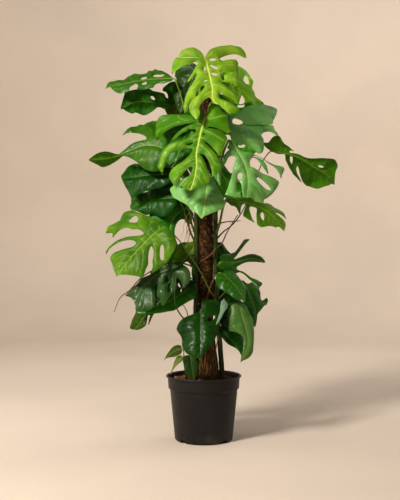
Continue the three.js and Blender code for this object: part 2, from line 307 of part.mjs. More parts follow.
    mid: [[0, 0], [59.5, 14.1], [96.4, 20.2], [121.6, 17.3], [178, 5.8], [248.4, 6.6]],
    out: [[0, 0], [11.2, 27.6], [37.2, 47.9], [66.4, 47], [92.4, 38.7], [111, 30.1], [127.4, 22], [145.8, 22.9], [159.6, 28.7], [173.3, 36.4], [187.8, 40.8], [206.2, 35.1], [222.9, 27.4], [236.1, 18.4], [248.4, 6.6], [231.5, -8.5], [215.9, -19.8], [197.9, -31.7], [179.2, -28.9], [160.3, -17.3], [141.4, -4.3], [121, 11.9], [96.7, 3.8], [71.2, -16.8], [41.3, -44.5], [14.9, -39.9]],
    holes: [],
    stalk: [[-26.2, -2.5, 905], [-45.6, 10.2, 934.9], [-67.7, 23.5, 955.5], [-91, 37.4, 969.9], [-114.4, 52, 981], [-136.7, 67.3, 991.9], [-156.7, 83.5, 1005.5], [-173, 100.5, 1024.9], [-191, 97.6, 1027.6], [-210.7, 92.3, 1030.2]],
  },
  {
    name: "leaf_13_left_dark",
    stem: "stem_left",
    colour: "#3f7a22",
    small: 0,
    trim: 4.2,
    at: [-112.9, -40, 942.8],
    along: [-0.9516, 0.3074, -0.0023],
    across: [-0.1789, -0.5599, -0.809],
    face: [-0.25, -0.7694, 0.5878],
    L: 210.8,
    W: 96.2,
    fold: -0.14,
    droop: 0.1,
    side: 0.14,
    wave: [6, 60, 2.36, 4.02],
    mid: [[0, 0], [47.5, -7.5], [103.3, -10.6], [155.8, -9.1], [206.5, -19.2]],
    out: [[0, 0], [10.3, -39.5], [40.8, -63.9], [72.8, -69.5], [114.2, -83.1], [156.3, -105.9], [178.3, -107.3], [185.5, -77.2], [200.6, -60.9], [210.8, -30.6], [198.4, -2.6], [183, 21.6], [168.2, 41.1], [155.2, 62.2], [147.9, 72.8], [131, 66.5], [109.2, 57.3], [79.8, 53.4], [55.2, 42.9], [32.2, 39.8], [9.8, 30.5]],
    holes: [],
    stalk: [[-26.3, -3.3, 770], [-42.1, -9.3, 800.4], [-54.7, -12.5, 828.2], [-65.1, -14.6, 853.7], [-74.5, -16.8, 877.4], [-84.1, -20.7, 899.6], [-95.1, -27.7, 920.8], [-108.5, -39.2, 941.3], [-125.7, -33.9, 944.2], [-144.1, -26, 946.7]],
  },
  {
    name: "leaf_14_left_dark_low",
    stem: "stem_left",
    colour: "#3f7a22",
    small: 0,
    trim: 4.2,
    at: [-99.3, -20, 865.9],
    along: [-0.95, 0.2312, -0.2098],
    across: [0.032, -0.5964, -0.802],
    face: [-0.3106, -0.7687, 0.5592],
    L: 192.9,
    W: 82.5,
    fold: -0.14,
    droop: 0.1,
    side: 0.16,
    wave: [5, 60, 5.35, 0.46],
    mid: [[0, 0], [42.1, -11.2], [89.5, -20.4], [134.4, -19], [182.4, -17]],
    out: [[0, 0], [-4.1, -32.7], [17.6, -71.8], [42.8, -78.9], [79.8, -98], [107.8, -87.1], [147.3, -89.5], [192.9, -98.5], [182.7, -50], [183.3, -18.3], [161.9, 1.9], [139, 18.3], [113.3, 31.2], [92.6, 32.6], [72.8, 48.7], [52.1, 57.3], [32.7, 49.9], [11.9, 39.3], [-1.8, 24.9]],
    holes: [],
    stalk: [[-26.5, -3.8, 700], [-41.3, -5.7, 728.8], [-51.7, -4.9, 756.1], [-59.2, -3.1, 781.7], [-65.6, -1.8, 805.6], [-72.5, -2.9, 827.6], [-81.7, -8.1, 847.5], [-94.7, -18.9, 865.3], [-112.5, -14, 865.6], [-131.7, -6.1, 865.6]],
  },
  {
    name: "leaf_15_left_bright",
    stem: "stem_right",
    colour: "#3f7a22",
    small: 0,
    trim: 4.2,
    at: [-140.9, -90, 760.3],
    along: [-0.6503, -0.2621, -0.713],
    across: [0.7302, -0.4745, -0.4916],
    face: [-0.2095, -0.8403, 0.5],
    L: 237.9,
    W: 157.6,
    fold: -0.1,
    droop: 0.1,
    side: 0.1,
    wave: [6, 70, 0.95, 5.46],
    mid: [[0, 0], [35.4, -8.9], [68.4, -12.8], [108.3, -15.6], [159.6, -18.2], [237.1, -14.7]],
    out: [[0, 0], [-7.6, -25.4], [-8.7, -52.4], [-6.7, -76.8], [-2.5, -99.6], [0.6, -137.4], [1.5, -181.3], [12.3, -193], [34, -185.4], [48, -183.8], [57.2, -182.4], [73.5, -196.7], [93.9, -200.2], [110.3, -194], [126.8, -189.7], [121, -177.4], [115.6, -165], [126.1, -151.7], [105.3, -145.8], [86.4, -134.8], [72.8, -115.1], [68.2, -92.3], [58.3, -75.1], [55.8, -56.4], [60, -42.3], [72, -51.3], [86.5, -74.8], [101.9, -98.2], [116.8, -110.5], [134.8, -118.4], [151.5, -123.9], [169.8, -130], [181.1, -128], [193.6, -116.1], [182.8, -119.4], [169.5, -119.1], [155.7, -114.7], [137.2, -104.5], [121.1, -93.5], [108.7, -79], [100.7, -59.8], [101.5, -43.9], [109.5, -37.6], [120.2, -40.4], [136, -57.1], [152.2, -74], [170.5, -89], [188, -92.7], [196.6, -89.2], [209.6, -66.1], [224.1, -40.9], [230.9, -25.7], [237.9, -14], [229.7, -14.4], [216, 2.8], [202.5, 23.9], [192.7, 43.7], [186, 61.8], [171.2, 60], [154, 52], [137.9, 47.4], [117, 31.4], [95.5, 18.2], [80.5, 13.4], [85.1, 25.9], [100.6, 42.3], [119.3, 52.6], [132.1, 64], [162.3, 76.8], [147.1, 79.5], [133.9, 86], [118.9, 89.1], [101.1, 89], [82.4, 91], [66.1, 92], [44.5, 87.8], [24, 79.5], [11.3, 65.9], [-0.4, 45], [-6.8, 24.7], [-9.1, 8.6]],
    holes: [[[47.5, -139.9], [31, -138.1], [17.3, -128.8], [22.4, -111.9], [36.5, -108.1], [43.8, -120.4]], [[60.2, 39.1], [52.1, 40.5], [58.8, 53.2], [77.7, 68.7], [92.3, 77.1], [97.4, 72]]],
    stalk: [[45.3, -3.2, 512], [31.2, -36.1, 521.8], [13.4, -48.7, 552.3], [-2, -56.7, 585.7], [-20.9, -62.5, 617.8], [-41.3, -69.3, 648.8], [-61.1, -76.4, 680.1], [-83.2, -81.8, 710.1], [-109.3, -84.5, 737.2], [-137.8, -86.8, 761.8], [-152.5, -91.4, 751.7], [-169.1, -94.3, 739.9]],
  },
  {
    name: "leaf_16_left_grey",
    stem: "stem_left",
    colour: "#3f7a22",
    small: 0,
    trim: 4.2,
    at: [-90.6, -80, 624],
    along: [-0.7662, -0.1871, -0.6148],
    across: [0.5893, -0.5859, -0.5562],
    face: [-0.2562, -0.7885, 0.5592],
    L: 211,
    W: 115.3,
    fold: -0.1,
    droop: 0.1,
    side: 0.1,
    wave: [5, 60, 1.23, 4.41],
    mid: [[0, 0], [41.2, -18.4], [87.6, -30.7], [139.3, -30.8], [188.4, -12.3]],
    out: [[0, 0], [3.2, -34.4], [24.1, -50.7], [53.9, -52.7], [86.5, -52.3], [107.4, -62.7], [123.2, -67.8], [141.8, -61.8], [162.8, -59.2], [179.8, -63], [194.5, -64.4], [203.2, -63.7], [196.4, -47.1], [193.8, -29.3], [197, -11.1], [202.3, 4.7], [211, 16], [203.9, 33.6], [182.6, 46.2], [166, 55.6], [150.1, 52.9], [128.2, 27.5], [108.5, 1.4], [96.2, -9], [105.2, 9.9], [128.1, 36.9], [142.3, 53.2], [122.4, 42.2], [130.9, 60.5], [129.9, 70.5], [111.5, 71.5], [97.4, 66.1], [79.9, 61], [60.9, 58], [46.1, 49.5], [31.7, 31.5], [28.8, 47.4], [37.4, 75.9], [23.6, 76.8], [4.1, 73.4], [-12.8, 55.1], [-19.7, 32.2], [-16.3, 10.6]],
    holes: [[[57.7, -2.1], [52.5, 2.9], [61.2, 20.1], [66.4, 16.5]], [[73.5, 31.7], [60.8, 28.3], [75.9, 48.2], [85.7, 52.6]]],
    stalk: [[-30.4, -7.9, 420], [-53.3, -30.6, 424.5], [-70.9, -54.4, 437.8], [-84.3, -77.2, 456.7], [-95.5, -96.5, 480.3], [-101.1, -112.3, 508.1], [-101.1, -119.9, 539.4], [-98.2, -110.3, 570.2], [-93, -95, 598.4], [-86.8, -77.2, 625], [-104.8, -78.4, 618.4], [-125.4, -76.9, 611.1]],
  },
  {
    name: "leaf_17_left_low",
    stem: "stem_left",
    colour: "#3f7a22",
    small: 0,
    trim: 4.2,
    at: [-34.9, -30, 558.8],
    along: [-0.8823, -0.1312, -0.452],
    across: [0.447, -0.5341, -0.7176],
    face: [-0.1473, -0.8352, 0.5299],
    L: 227.9,
    W: 46.4,
    fold: -0.14,
    droop: 0.06,
    side: 0.1,
    wave: [4, 60, 2.36, 2.19],
    mid: [[0, 0], [50.2, 11.8], [104.2, 15.1], [161.3, 7.7], [223.2, -7.7]],
    out: [[0, 0], [10.7, -19.8], [31.2, -20.9], [45.1, -11.5], [52.5, 3.2], [60.1, 2.2], [61.8, -11.6], [80, -20.3], [104.5, -21.9], [133.1, -10.1], [162.8, -17.2], [192.1, -23.1], [217, -26.7], [227.9, -21.2], [223.7, -6.7], [200.4, 12], [181.3, 23.1], [155.5, 34.8], [128.6, 46.8], [111.4, 51.1], [91.5, 51.1], [66.8, 51.4], [41.3, 46.8], [22.8, 47.7], [5.1, 28.5]],
    holes: [],
    stalk: [[-29.8, -7.7, 440], [-29.4, -16.1, 460.1], [-27.5, -18.6, 480], [-25.2, -17.6, 499.4], [-23.3, -15.5, 517.6], [-23, -14.9, 534], [-25.2, -18, 548.1], [-31, -27.3, 559.3], [-45.7, -33, 549.8], [-61.2, -38.3, 537.5]],
  },
  {
    name: "leaf_18_left_low_tip",
    stem: "stem_left",
    colour: "#3f7a22",
    small: 0,
    trim: 4.2,
    at: [-164.7, 0, 514.4],
    along: [-0.5713, -0.015, -0.8206],
    across: [0.6729, -0.581, -0.4579],
    face: [-0.4698, -0.8138, 0.342],
    L: 155.1,
    W: 50.5,
    fold: 0.1,
    droop: 0.06,
    side: 0.1,
    wave: [4, 60, 2.83, 1.88],
    mid: [[0, 0], [44, -0.7], [90.9, 0], [148.3, -6.2]],
    out: [[0, 0], [12.3, -26.8], [36.8, -48], [65.2, -51.1], [94.8, -45.8], [115.3, -41.1], [133.5, -34.2], [155.1, -27.6], [152, -12.4], [143.9, 4], [131.7, 17.6], [112.8, 28.3], [95.1, 21.5], [76.9, 12], [72.4, 19.8], [87.8, 26.2], [104.7, 34.7], [83.3, 33.7], [57.3, 32.9], [37.1, 31.7], [11.8, 24.6]],
    holes: [],
    stalk: [[-31.6, -8.4, 378], [-40.8, -2.4, 398.5], [-49.8, 3.1, 419.3], [-56.8, 6.1, 441.3], [-63.3, 7.5, 463.6], [-76.5, 8.4, 482.6], [-95.2, 8.6, 496.4], [-116.1, 7.6, 506.7], [-138.5, 5.1, 512.4], [-161.2, 2.2, 516.8], [-172.5, 0.5, 502.8], [-184.2, 0.3, 486.5]],
  },
  {
    name: "leaf_19_right_low_under",
    stem: "stem_right",
    colour: "#3f7a22",
    small: 0,
    trim: 4.2,
    at: [86.3, -30, 861.7],
    along: [0.8144, -0.3376, -0.4719],
    across: [0.5084, 0.8071, 0.3],
    face: [0.2796, -0.4843, 0.829],
    L: 223.6,
    W: 124.9,
    fold: -0.06,
    droop: 0.12,
    side: 0.08,
    wave: [4, 60, 5.92, 3.64],
    mid: [[0, 0], [35.4, 28.8], [71, 59], [110.3, 76], [161.5, 72.8], [221.6, 49.3]],
    out: [[0, 0], [-12.6, 54], [-17.5, 137.1], [22.3, 139.9], [58, 126.7], [82.2, 123.4], [84.6, 156.4], [99.8, 160.5], [121, 152], [138.1, 166.2], [154.4, 172.5], [175.3, 150], [186.7, 134.4], [169.3, 131.9], [153.3, 127.5], [150.6, 105.6], [170.6, 108.1], [188.8, 109.9], [206.3, 92.5], [217.5, 63.8], [223.6, 44], [210.6, 44.7], [199.4, 45.6], [194.4, 31.2], [184.4, 17.5], [169.4, 0.1], [156.5, -22.3], [146.6, -24.7], [131.7, -4.8], [112.1, 24.7], [94.1, 53.1], [81, 46.6], [75.4, 35.3], [88.1, 16.7], [106.1, 0.2], [131.3, -20.3], [116.8, -20.2], [102.6, -26.5], [90.6, -34.9], [80, -18.6], [67.7, 12.4], [57.5, 36.4], [50.8, 26.8], [59.2, -2.7], [76.2, -37], [61.1, -25.9], [48.3, -17.1], [37.2, -16.4], [29.8, -25.6], [18.4, -25], [4.3, -28.2]],
    holes: [[[120, 42.4], [118.3, 57.5], [129.2, 52.7], [140.8, 35.7], [143.6, 23.1], [132.8, 27.2]]],
    stalk: [[42.5, 1.2, 738], [51.5, -4.9, 759.1], [57.5, -8.4, 778.9], [61.6, -10.5, 797.4], [65, -12.3, 814.8], [68.9, -15, 831.2], [74.2, -19.6, 846.7], [82.3, -27.4, 861.5], [103.3, -25.2, 858], [127.8, -18.8, 853.3]],
  },
  {
    name: "leaf_20_right_fingers",
    stem: "stem_right",
    colour: "#3f7a22",
    small: 0,
    trim: 4.2,
    at: [64.1, -60, 637.7],
    along: [0.9041, 0.4269, -0.0187],
    across: [-0.2248, 0.5123, 0.8288],
    face: [0.3634, -0.7451, 0.5592],
    L: 185,
    W: 118.5,
    fold: -0.06,
    droop: 0.08,
    side: 0.12,
    wave: [4, 50, 5.32, 3.13],
    mid: [[0, 0], [31.6, -1], [61.1, 2], [88.9, 11.4], [140, 23.6], [185, 10.4]],
    out: [[0, 0], [-6.2, 19.3], [14.6, 34], [35.2, 36.8], [51.9, 41.8], [66.3, 46.8], [83.4, 63.2], [106.5, 87.6], [127.7, 110.6], [142.1, 117.8], [153.4, 115.8], [135.8, 98.6], [110.8, 74.2], [89.7, 52.3], [71, 33.1], [50.5, 13], [61.4, 16.2], [79.9, 22.8], [104.7, 33.8], [128.8, 42.3], [156.6, 44.3], [179.6, 39.7], [184.4, 26.6], [185, 10.4], [162, 8.4], [135.4, 7.9], [108.4, 4.6], [85, -2.6], [65.8, -12], [50.4, -19.8], [61.8, -27.8], [78, -32.4], [96.7, -44.3], [114.7, -57], [134.8, -66.3], [153.4, -70.3], [140.6, -87.6], [126.8, -84.6], [110.7, -70], [91.1, -52.2], [75.9, -41.1], [62.1, -36.6], [50.3, -41.1], [34.7, -40.2], [15.8, -34.1], [-6.7, -28.2], [-18, -16.3]],
    holes: [],
    stalk: [[43.4, -1, 600], [44.9, -8.7, 609.7], [45.9, -17.8, 616.2], [46.9, -27.5, 620.4], [48.4, -37.1, 623.5], [50.7, -46.2, 626.5], [54.2, -53.9, 630.4], [59.5, -59.8, 636.3], [76.6, -53.7, 636.7], [94.8, -45.3, 636]],
  },
  {
    name: "leaf_21_right_glossy",
    stem: "stem_right",
    colour: "#3f7a22",
    small: 0,
    trim: 4.2,
    at: [59.4, -105, 600.1],
    along: [0.6139, -0.3308, -0.7168],
    across: [0.7393, 0.5592, 0.3752],
    face: [0.2767, -0.7602, 0.5878],
    L: 135.4,
    W: 51.8,
    fold: -0.12,
    droop: 0.1,
    side: 0.14,
    wave: [4, 50, 4.26, 3.22],
    mid: [[0, 0], [35.3, 8.3], [75.4, 13.2], [128.1, 8.6]],
    out: [[0, 0], [-6.3, -15.2], [3.4, -31.7], [24.4, -35.4], [46.3, -35.3], [65.3, -29.7], [83.6, -23.4], [101, -20.7], [112.2, -8.1], [119.8, 1.3], [135.4, 3.8], [120.5, 19.7], [101.7, 37], [84.5, 49.7], [66.9, 57], [49.1, 52.8], [26, 61], [9.8, 43.6], [0.2, 25.4]],
    holes: [],
    stalk: [[44.6, -2.4, 545], [45.3, -14.7, 561], [45.1, -28.5, 572.1], [44.8, -43.2, 579.6], [45, -58.4, 584.9], [46.6, -73.5, 589.5], [50.1, -88.1, 594.5], [56.3, -101.7, 601.5], [70.2, -107.2, 590.9], [85.9, -111, 578.1]],
  },
  {
    name: "leaf_22_right_dark",
    stem: "stem_right",
    colour: "#3f7a22",
    small: 0,
    trim: 4.2,
    at: [144.4, -10, 565.2],
    along: [0.1988, -0.3597, -0.9116],
    across: [0.8026, 0.5936, -0.0592],
    face: [0.5624, -0.7199, 0.4067],
    L: 169.5,
    W: 76.5,
    fold: -0.1,
    droop: 0.06,
    side: 0.14,
    wave: [4, 60, 0.7, 1.32],
    mid: [[0, 0], [45.5, 15.5], [97.9, 25.7], [167.3, 8.8]],
    out: [[0, 0], [4.9, 18.5], [-4.2, 46.5], [1.2, 70.1], [4.7, 93.7], [26.8, 76.8], [43.7, 74.2], [60.1, 80.5], [57.9, 95], [51.6, 104.2], [52.4, 114.3], [60.6, 118.1], [72.6, 111.6], [86.2, 78], [102.8, 57], [121.3, 33.3], [138.1, 26.5], [158.1, 17.4], [169.5, 8.3], [149, 3], [124.8, -2], [100, -9.1], [78.3, -18.5], [47.8, -19], [22.7, -15.5]],
    holes: [],
    stalk: [[45.8, -3.8, 490], [59, -2.4, 508.6], [73.3, 1.1, 524.1], [88.1, 5.2, 536.7], [103, 8.2, 547], [117.3, 8.4, 555.3], [130.5, 4, 562.1], [142.1, -6.7, 567.8], [150.6, -11.7, 551.9], [160.1, -14.9, 533.3]],
  },
  {
    name: "leaf_23_right_hanging",
    stem: "stem_right",
    colour: "#3f7a22",
    small: 0,
    trim: 4.2,
    at: [118.7, -100, 492.1],
    along: [0.0338, -0.3454, -0.9378],
    across: [0.9653, 0.2545, -0.059],
    face: [0.259, -0.9033, 0.342],
    L: 204.9,
    W: 61.9,
    fold: -0.16,
    droop: 0.06,
    side: 0.14,
    wave: [4, 60, 0.99, 4.41],
    mid: [[0, 0], [39.1, 11.2], [84.6, 23.7], [133.2, 30.7], [202.2, 3.9]],
    out: [[0, 0], [0.1, -11.9], [5.3, -24.1], [16.7, -30.7], [38, -32.8], [62.7, -32.5], [91.7, -30.9], [96.2, -15.7], [104.1, 0.3], [117.9, 13.8], [143.7, 14.9], [168, 10.4], [185.1, 5.1], [204.9, 2.8], [197.5, 11.2], [191.8, 24.4], [180.4, 39.9], [166.6, 48.9], [145.5, 50.4], [121.1, 52.8], [95.9, 56], [75, 54.8], [53.3, 57.2], [40, 50.7], [22.1, 39.3], [5.1, 30.7], [-3, 17.8]],
    holes: [],
    stalk: [[48.6, -4.2, 450], [57.4, -14.5, 467], [68.1, -25.5, 478], [79.8, -37.3, 484.7], [91.6, -50.2, 488.3], [102.6, -64.2, 490.3], [111.6, -79.5, 492], [117.9, -96.3, 495], [122.9, -103.2, 478.6], [129.1, -108.8, 459.5]],
  },
  {
    name: "leaf_24_right_low_dark",
    stem: "stem_right",
    colour: "#3f7a22",
    small: 0,
    trim: 4.2,
    at: [56.8, -70, 412.8],
    along: [0.5688, -0.325, -0.7555],
    across: [0.8025, 0.4205, 0.4233],
    face: [0.1801, -0.8471, 0.5],
    L: 129.2,
    W: 45.4,
    fold: -0.14,
    droop: 0.08,
    side: 0.14,
    wave: [3, 60, 4.37, 1.8],
    mid: [[0, 0], [38.8, -1.5], [77.4, 6.3], [124.1, 4.2]],
    out: [[0, 0], [6.5, -15], [23.4, -18], [42.2, -18.2], [61.4, -15.4], [77.6, -9.3], [91.4, -0.9], [105.9, 3.8], [119.2, 4.1], [129.2, 3.3], [116.3, 26.9], [95.6, 48.4], [71.9, 57.6], [47.5, 52], [28.1, 38.8], [10, 23.4]],
    holes: [],
    stalk: [[57.6, -5, 345], [56.4, -13.8, 359.4], [54.3, -21.9, 372.1], [51.9, -29.7, 383.2], [50.1, -37.7, 392.9], [49.4, -46.2, 401.2], [50.5, -55.7, 408.4], [54.1, -66.5, 414.6], [64.2, -74.2, 401.7], [74.9, -80.8, 386.2]],
  },
  {
    name: "leaf_25_bottom_front",
    stem: "stem_left",
    colour: "#3f7a22",
    small: 0,
    trim: 4.2,
    at: [-11.4, -130, 470],
    along: [-0.0058, -0.5305, -0.8476],
    across: [0.9982, -0.0532, 0.0265],
    face: [-0.0592, -0.846, 0.5299],
    L: 177.4,
    W: 80.9,
    fold: -0.14,
    droop: 0.1,
    side: 0.18,
    wave: [4, 80, 0.67, 4.68],
    mid: [[0, 0], [45.6, -0.5], [96.6, -1.1], [176.1, -1]],
    out: [[0, 0], [5.7, -16], [10.4, -33.5], [14.4, -49.8], [19.5, -63.3], [28.4, -74.4], [39.2, -81.1], [53, -84.2], [68.9, -77.8], [84.9, -67.8], [98.7, -64.4], [113.1, -65], [132.1, -59], [147.4, -49.1], [158.9, -36.1], [167.8, -21.7], [171.8, -6.1], [177.4, -1], [162.5, 5.4], [146.3, 18.1], [129.6, 31.6], [115.2, 41.7], [95.7, 50.2], [79.3, 55.9], [64.4, 61.5], [47.5, 61.1], [23.8, 63.9], [-9.3, 68.1], [-32.1, 67.8], [-45.4, 56.2], [-47.6, 35.6], [-45.1, 17], [-35.5, 3.2]],
    holes: [[[35.7, 19.9], [23.8, 28.7], [16.5, 38.9], [12.9, 47.7], [21.2, 49.1], [31.7, 40.9], [38.7, 28.7]]],
    stalk: [[-31.5, -8.4, 380], [-28.4, -23.3, 402.2], [-24.4, -38.4, 419.8], [-20.2, -54, 433.8], [-16.2, -70.3, 445.1], [-13, -87.4, 454.7], [-11.2, -105.8, 463.3], [-11.3, -125.7, 472], [-11.6, -136.8, 457.8], [-12, -147.3, 440.7]],
  },
  {
    name: "leaf_26_right_narrow",
    stem: "stem_right",
    colour: "#3f7a22",
    small: 0,
    trim: 4.2,
    at: [69.4, -120, 507.3],
    along: [-0.2754, -0.5314, -0.8011],
    across: [0.9443, 0.0065, -0.329],
    face: [0.1801, -0.8471, 0.5],
    L: 101.2,
    W: 17,
    fold: -0.1,
    droop: 0.05,
    side: 0.1,
    wave: [2, 40, 3.18, 0.36],
    mid: [[0, 0], [35, 4.6], [99.3, 0.3]],
    out: [[0, 0], [5.4, -7.9], [22.3, -6], [49.3, -1.4], [75.2, -1.8], [101.2, -0.9], [83.9, 5.9], [62.5, 10.5], [41.4, 13.9], [16.6, 20], [4.3, 12.5]],
    holes: [],
    stalk: [[52.4, -4.5, 405], [55, -19.3, 428.2], [57.9, -33.5, 447.7], [60.9, -47.7, 464.1], [63.7, -62.4, 477.9], [66.3, -78.3, 489.6], [68.5, -95.9, 499.9], [70, -115.7, 509.2], [67.2, -126.8, 495.1], [64.2, -137.4, 478.2]],
  },
  {
    name: "leaf_27_small_upper",
    stem: "offshoot",
    colour: "#3f7a22",
    small: 1,
    trim: 1.1,
    at: [-76.7, -75, 332.6],
    along: [-0.8264, -0.2283, -0.5148],
    across: [0.5065, -0.7007, -0.5024],
    face: [-0.246, -0.676, 0.6947],
    L: 76,
    W: 26.1,
    fold: 0.14,
    droop: 0.1,
    side: 0.05,
    wave: [1, 40, 0.66, 0.8],
    mid: [[0, 0], [24.5, -9], [51.5, -11.7], [76, -6.4]],
    out: [[0, 0], [-3.8, -16.2], [3.7, -26.3], [15.9, -29.5], [29.9, -28.6], [46.9, -21.9], [62.4, -14.8], [76, -6.4], [64, -8.6], [56.2, -3.8], [42.6, 7.5], [26, 16.1], [13.1, 16]],
    holes: [],
    stalk: [[-62.5, -76, 270], [-67.3, -74.5, 280.5], [-69.6, -72.2, 290.7], [-70.4, -69.9, 300.6], [-70.4, -68.3, 309.9], [-70.6, -68, 318.5], [-71.9, -69.7, 326.1], [-75.3, -74.1, 332.7], [-81.6, -74.7, 330.8], [-88.6, -74.4, 328.4]],
  },
  {
    name: "leaf_28_small_middle",
    stem: "offshoot",
    colour: "#3f7a22",
    small: 1,
    trim: 1.1,
    at: [-74.2, -90, 306.5],
    along: [-0.5493, -0.3768, -0.7459],
    across: [0.7885, -0.5292, -0.3133],
    face: [-0.2767, -0.7602, 0.5878],
    L: 73.6,
    W: 17.5,
    fold: 0.14,
    droop: 0.1,
    side: 0.05,
    wave: [1, 40, 3.29, 0.25],
    mid: [[0, 0], [28.8, -6.6], [73.6, -4.3]],
    out: [[0, 0], [-1, -12.4], [9.7, -18.7], [25.8, -17.6], [44, -12.3], [58.6, -9.2], [73.6, -4.3], [56.6, -3], [39.9, -1.6], [25.1, 4], [12.4, 7.1]],
    holes: [],
    stalk: [[-62.3, -75.2, 262], [-64.8, -78, 269.9], [-66.3, -79.5, 277.6], [-67.3, -80.2, 284.9], [-68.1, -80.8, 291.7], [-69.1, -82, 297.8], [-70.7, -84.4, 302.9], [-73.2, -88.8, 307], [-77.8, -91.1, 303], [-82.8, -92.7, 298.2]],
  },
  {
    name: "leaf_29_small_front",
    stem: "offshoot",
    colour: "#3f7a22",
    small: 1,
    trim: 1.1,
    at: [-46.1, -105, 314],
    along: [0.1438, -0.3854, -0.9115],
    across: [0.9848, -0.0345, 0.17],
    face: [-0.0969, -0.9221, 0.3746],
    L: 87.3,
    W: 29.3,
    fold: 0.12,
    droop: 0.06,
    side: 0.1,
    wave: [1, 40, 5.44, 1.65],
    mid: [[0, 0], [37.6, -1.9], [87.3, -0.3]],
    out: [[0, 0], [-2.3, -18], [5.9, -29], [25.8, -28.7], [47.5, -28.2], [65.7, -22.2], [78, -11.8], [87.3, -0.3], [77.4, 6.1], [61.7, 15.2], [41.8, 23.4], [21.4, 28.3], [6, 18.2]],
    holes: [],
    stalk: [[-62.6, -76.5, 275], [-59.7, -80.3, 283.1], [-56.6, -83.3, 290.7], [-53.4, -86, 297.5], [-50.5, -88.9, 303.4], [-48.2, -92.5, 308.4], [-46.7, -97.2, 312.3], [-46.3, -103.6, 314.9], [-45.7, -106.7, 309.4], [-45, -109.3, 302.9]],
  },
  {
    name: "leaf_30_inner_left",
    stem: "stem_back",
    colour: "#3f7a22",
    small: 0,
    trim: 4.2,
    at: [-61, 45, 892],
    along: [-0.8029, -0.1579, -0.5749],
    across: [0.5826, -0.4118, -0.7007],
    face: [-0.1261, -0.8975, 0.4226],
    L: 137.9,
    W: 82.5,
    fold: -0.12,
    droop: 0.08,
    side: 0.12,
    wave: [4, 50, 3.58, 1.68],
    mid: [[0, 0], [43.1, -9.7], [92.8, -10.8], [133.5, -5.5]],
    out: [[0, 0], [1.1, -31.4], [13, -69], [33.1, -93.4], [57.6, -107.4], [86.6, -91.9], [110.3, -68.3], [129.5, -37.4], [137.9, -9.8], [134, 13.9], [118.2, 23.3], [98, 27.3], [85.3, 39.9], [63.5, 42.1], [40, 38.4], [15.5, 26.8]],
    holes: [],
    stalk: [[7.5, 41.1, 730], [-7.8, 45.5, 759], [-19, 53.1, 787.5], [-27.5, 61.5, 814.6], [-34.4, 67.7, 839.6], [-40.9, 69.4, 861.6], [-48.2, 63.7, 879.7], [-57.5, 48, 893.2], [-74, 44.7, 885.8], [-92.7, 43.6, 877.4]],
  },
  {
    name: "leaf_31_inner_left_low",
    stem: "stem_back",
    colour: "#3f7a22",
    small: 0,
    trim: 4.2,
    at: [-24.5, 56, 716.7],
    along: [-0.5642, -0.2427, -0.7892],
    across: [0.8155, -0.3132, -0.4867],
    face: [-0.129, -0.9182, 0.3746],
    L: 176.8,
    W: 108.5,
    fold: -0.12,
    droop: 0.06,
    side: 0.1,
    wave: [4, 50, 0.89, 1.96],
    mid: [[0, 0], [50.5, 8], [89.3, 3.4], [146, -2.5]],
    out: [[0, 0], [19.5, -18.4], [32, -39.5], [49.4, -53.8], [80.2, -47], [110.9, -44.3], [141.3, -52.9], [166.5, -48.4], [176.8, -27.1], [169, -0.2], [152.3, 15], [126.1, 15], [103.3, 6.7], [88.3, 16], [94.6, 39.3], [116.7, 54.8], [138.3, 81.2], [141.7, 100.2], [111.2, 86.9], [70.2, 58.8], [27.9, 27.9]],
    holes: [],
    stalk: [[9.1, 41.4, 620], [1.3, 48, 637.6], [-4.3, 56.1, 655.3], [-8.3, 64, 672.4], [-11.3, 70, 688], [-14.2, 72.4, 701.5], [-17.5, 69.4, 712], [-21.9, 59.4, 718.9], [-30.5, 52.5, 704.3], [-39.2, 46.6, 687]],
  },
  {
    name: "leaf_32_inner_right",
    stem: "stem_right",
    colour: "#3f7a22",
    small: 0,
    trim: 4.2,
    at: [48.3, 30, 698.2],
    along: [0.491, -0.2373, -0.8382],
    across: [0.8142, 0.4673, 0.3446],
    face: [0.31, -0.8517, 0.4226],
    L: 121.9,
    W: 55.6,
    fold: -0.12,
    droop: 0.06,
    side: 0.12,
    wave: [4, 50, 4.08, 5.95],
    mid: [[0, 0], [38.3, -0.9], [77.6, 2.8], [114.8, 3.7]],
    out: [[0, 0], [-7.7, 4.8], [-2.9, 23.7], [15.7, 29.2], [36.4, 31.4], [57.2, 38.7], [80.8, 40.9], [104.6, 29.6], [121.8, 11.6], [121.9, -13.5], [109.8, -34.7], [86.1, -48.5], [53.5, -36.1], [21, -20.2]],
    holes: [],
    stalk: [[42.5, 0, 640], [42.6, 8, 651.3], [41.8, 17.1, 662.2], [40.9, 26.1, 672.5], [40.2, 33.6, 681.7], [40.4, 38.2, 689.7], [42, 38.5, 696], [45.5, 33.2, 700.4], [54.7, 27.1, 686], [64.1, 22.2, 669.1]],
  },
  {
    name: "leaf_33_inner_upper_left",
    stem: "stem_left",
    colour: "#3f7a22",
    small: 0,
    trim: 4.2,
    at: [-17, -62, 1187.6],
    along: [-0.3579, -0.2815, -0.8903],
    across: [0.9064, -0.3338, -0.2589],
    face: [-0.2243, -0.8996, 0.3746],
    L: 248.4,
    W: 100.9,
    fold: -0.12,
    droop: 0.06,
    side: 0.1,
    wave: [5, 60, 4.9, 2.39],
    mid: [[0, 0], [62.6, -2.6], [131.7, -6.6], [216.7, -5]],
    out: [[0, 0], [9.2, -17.8], [33.1, -39.3], [51.3, -61.1], [60.9, -91.8], [73.5, -120.4], [110.2, -117.2], [153.2, -93.8], [188.3, -69.6], [222.7, -43.4], [242.4, -18.8], [248.4, 10.3], [230.3, 37.3], [198.3, 54.2], [156.4, 57.4], [106, 49.4], [48.6, 29.8]],
    holes: [],
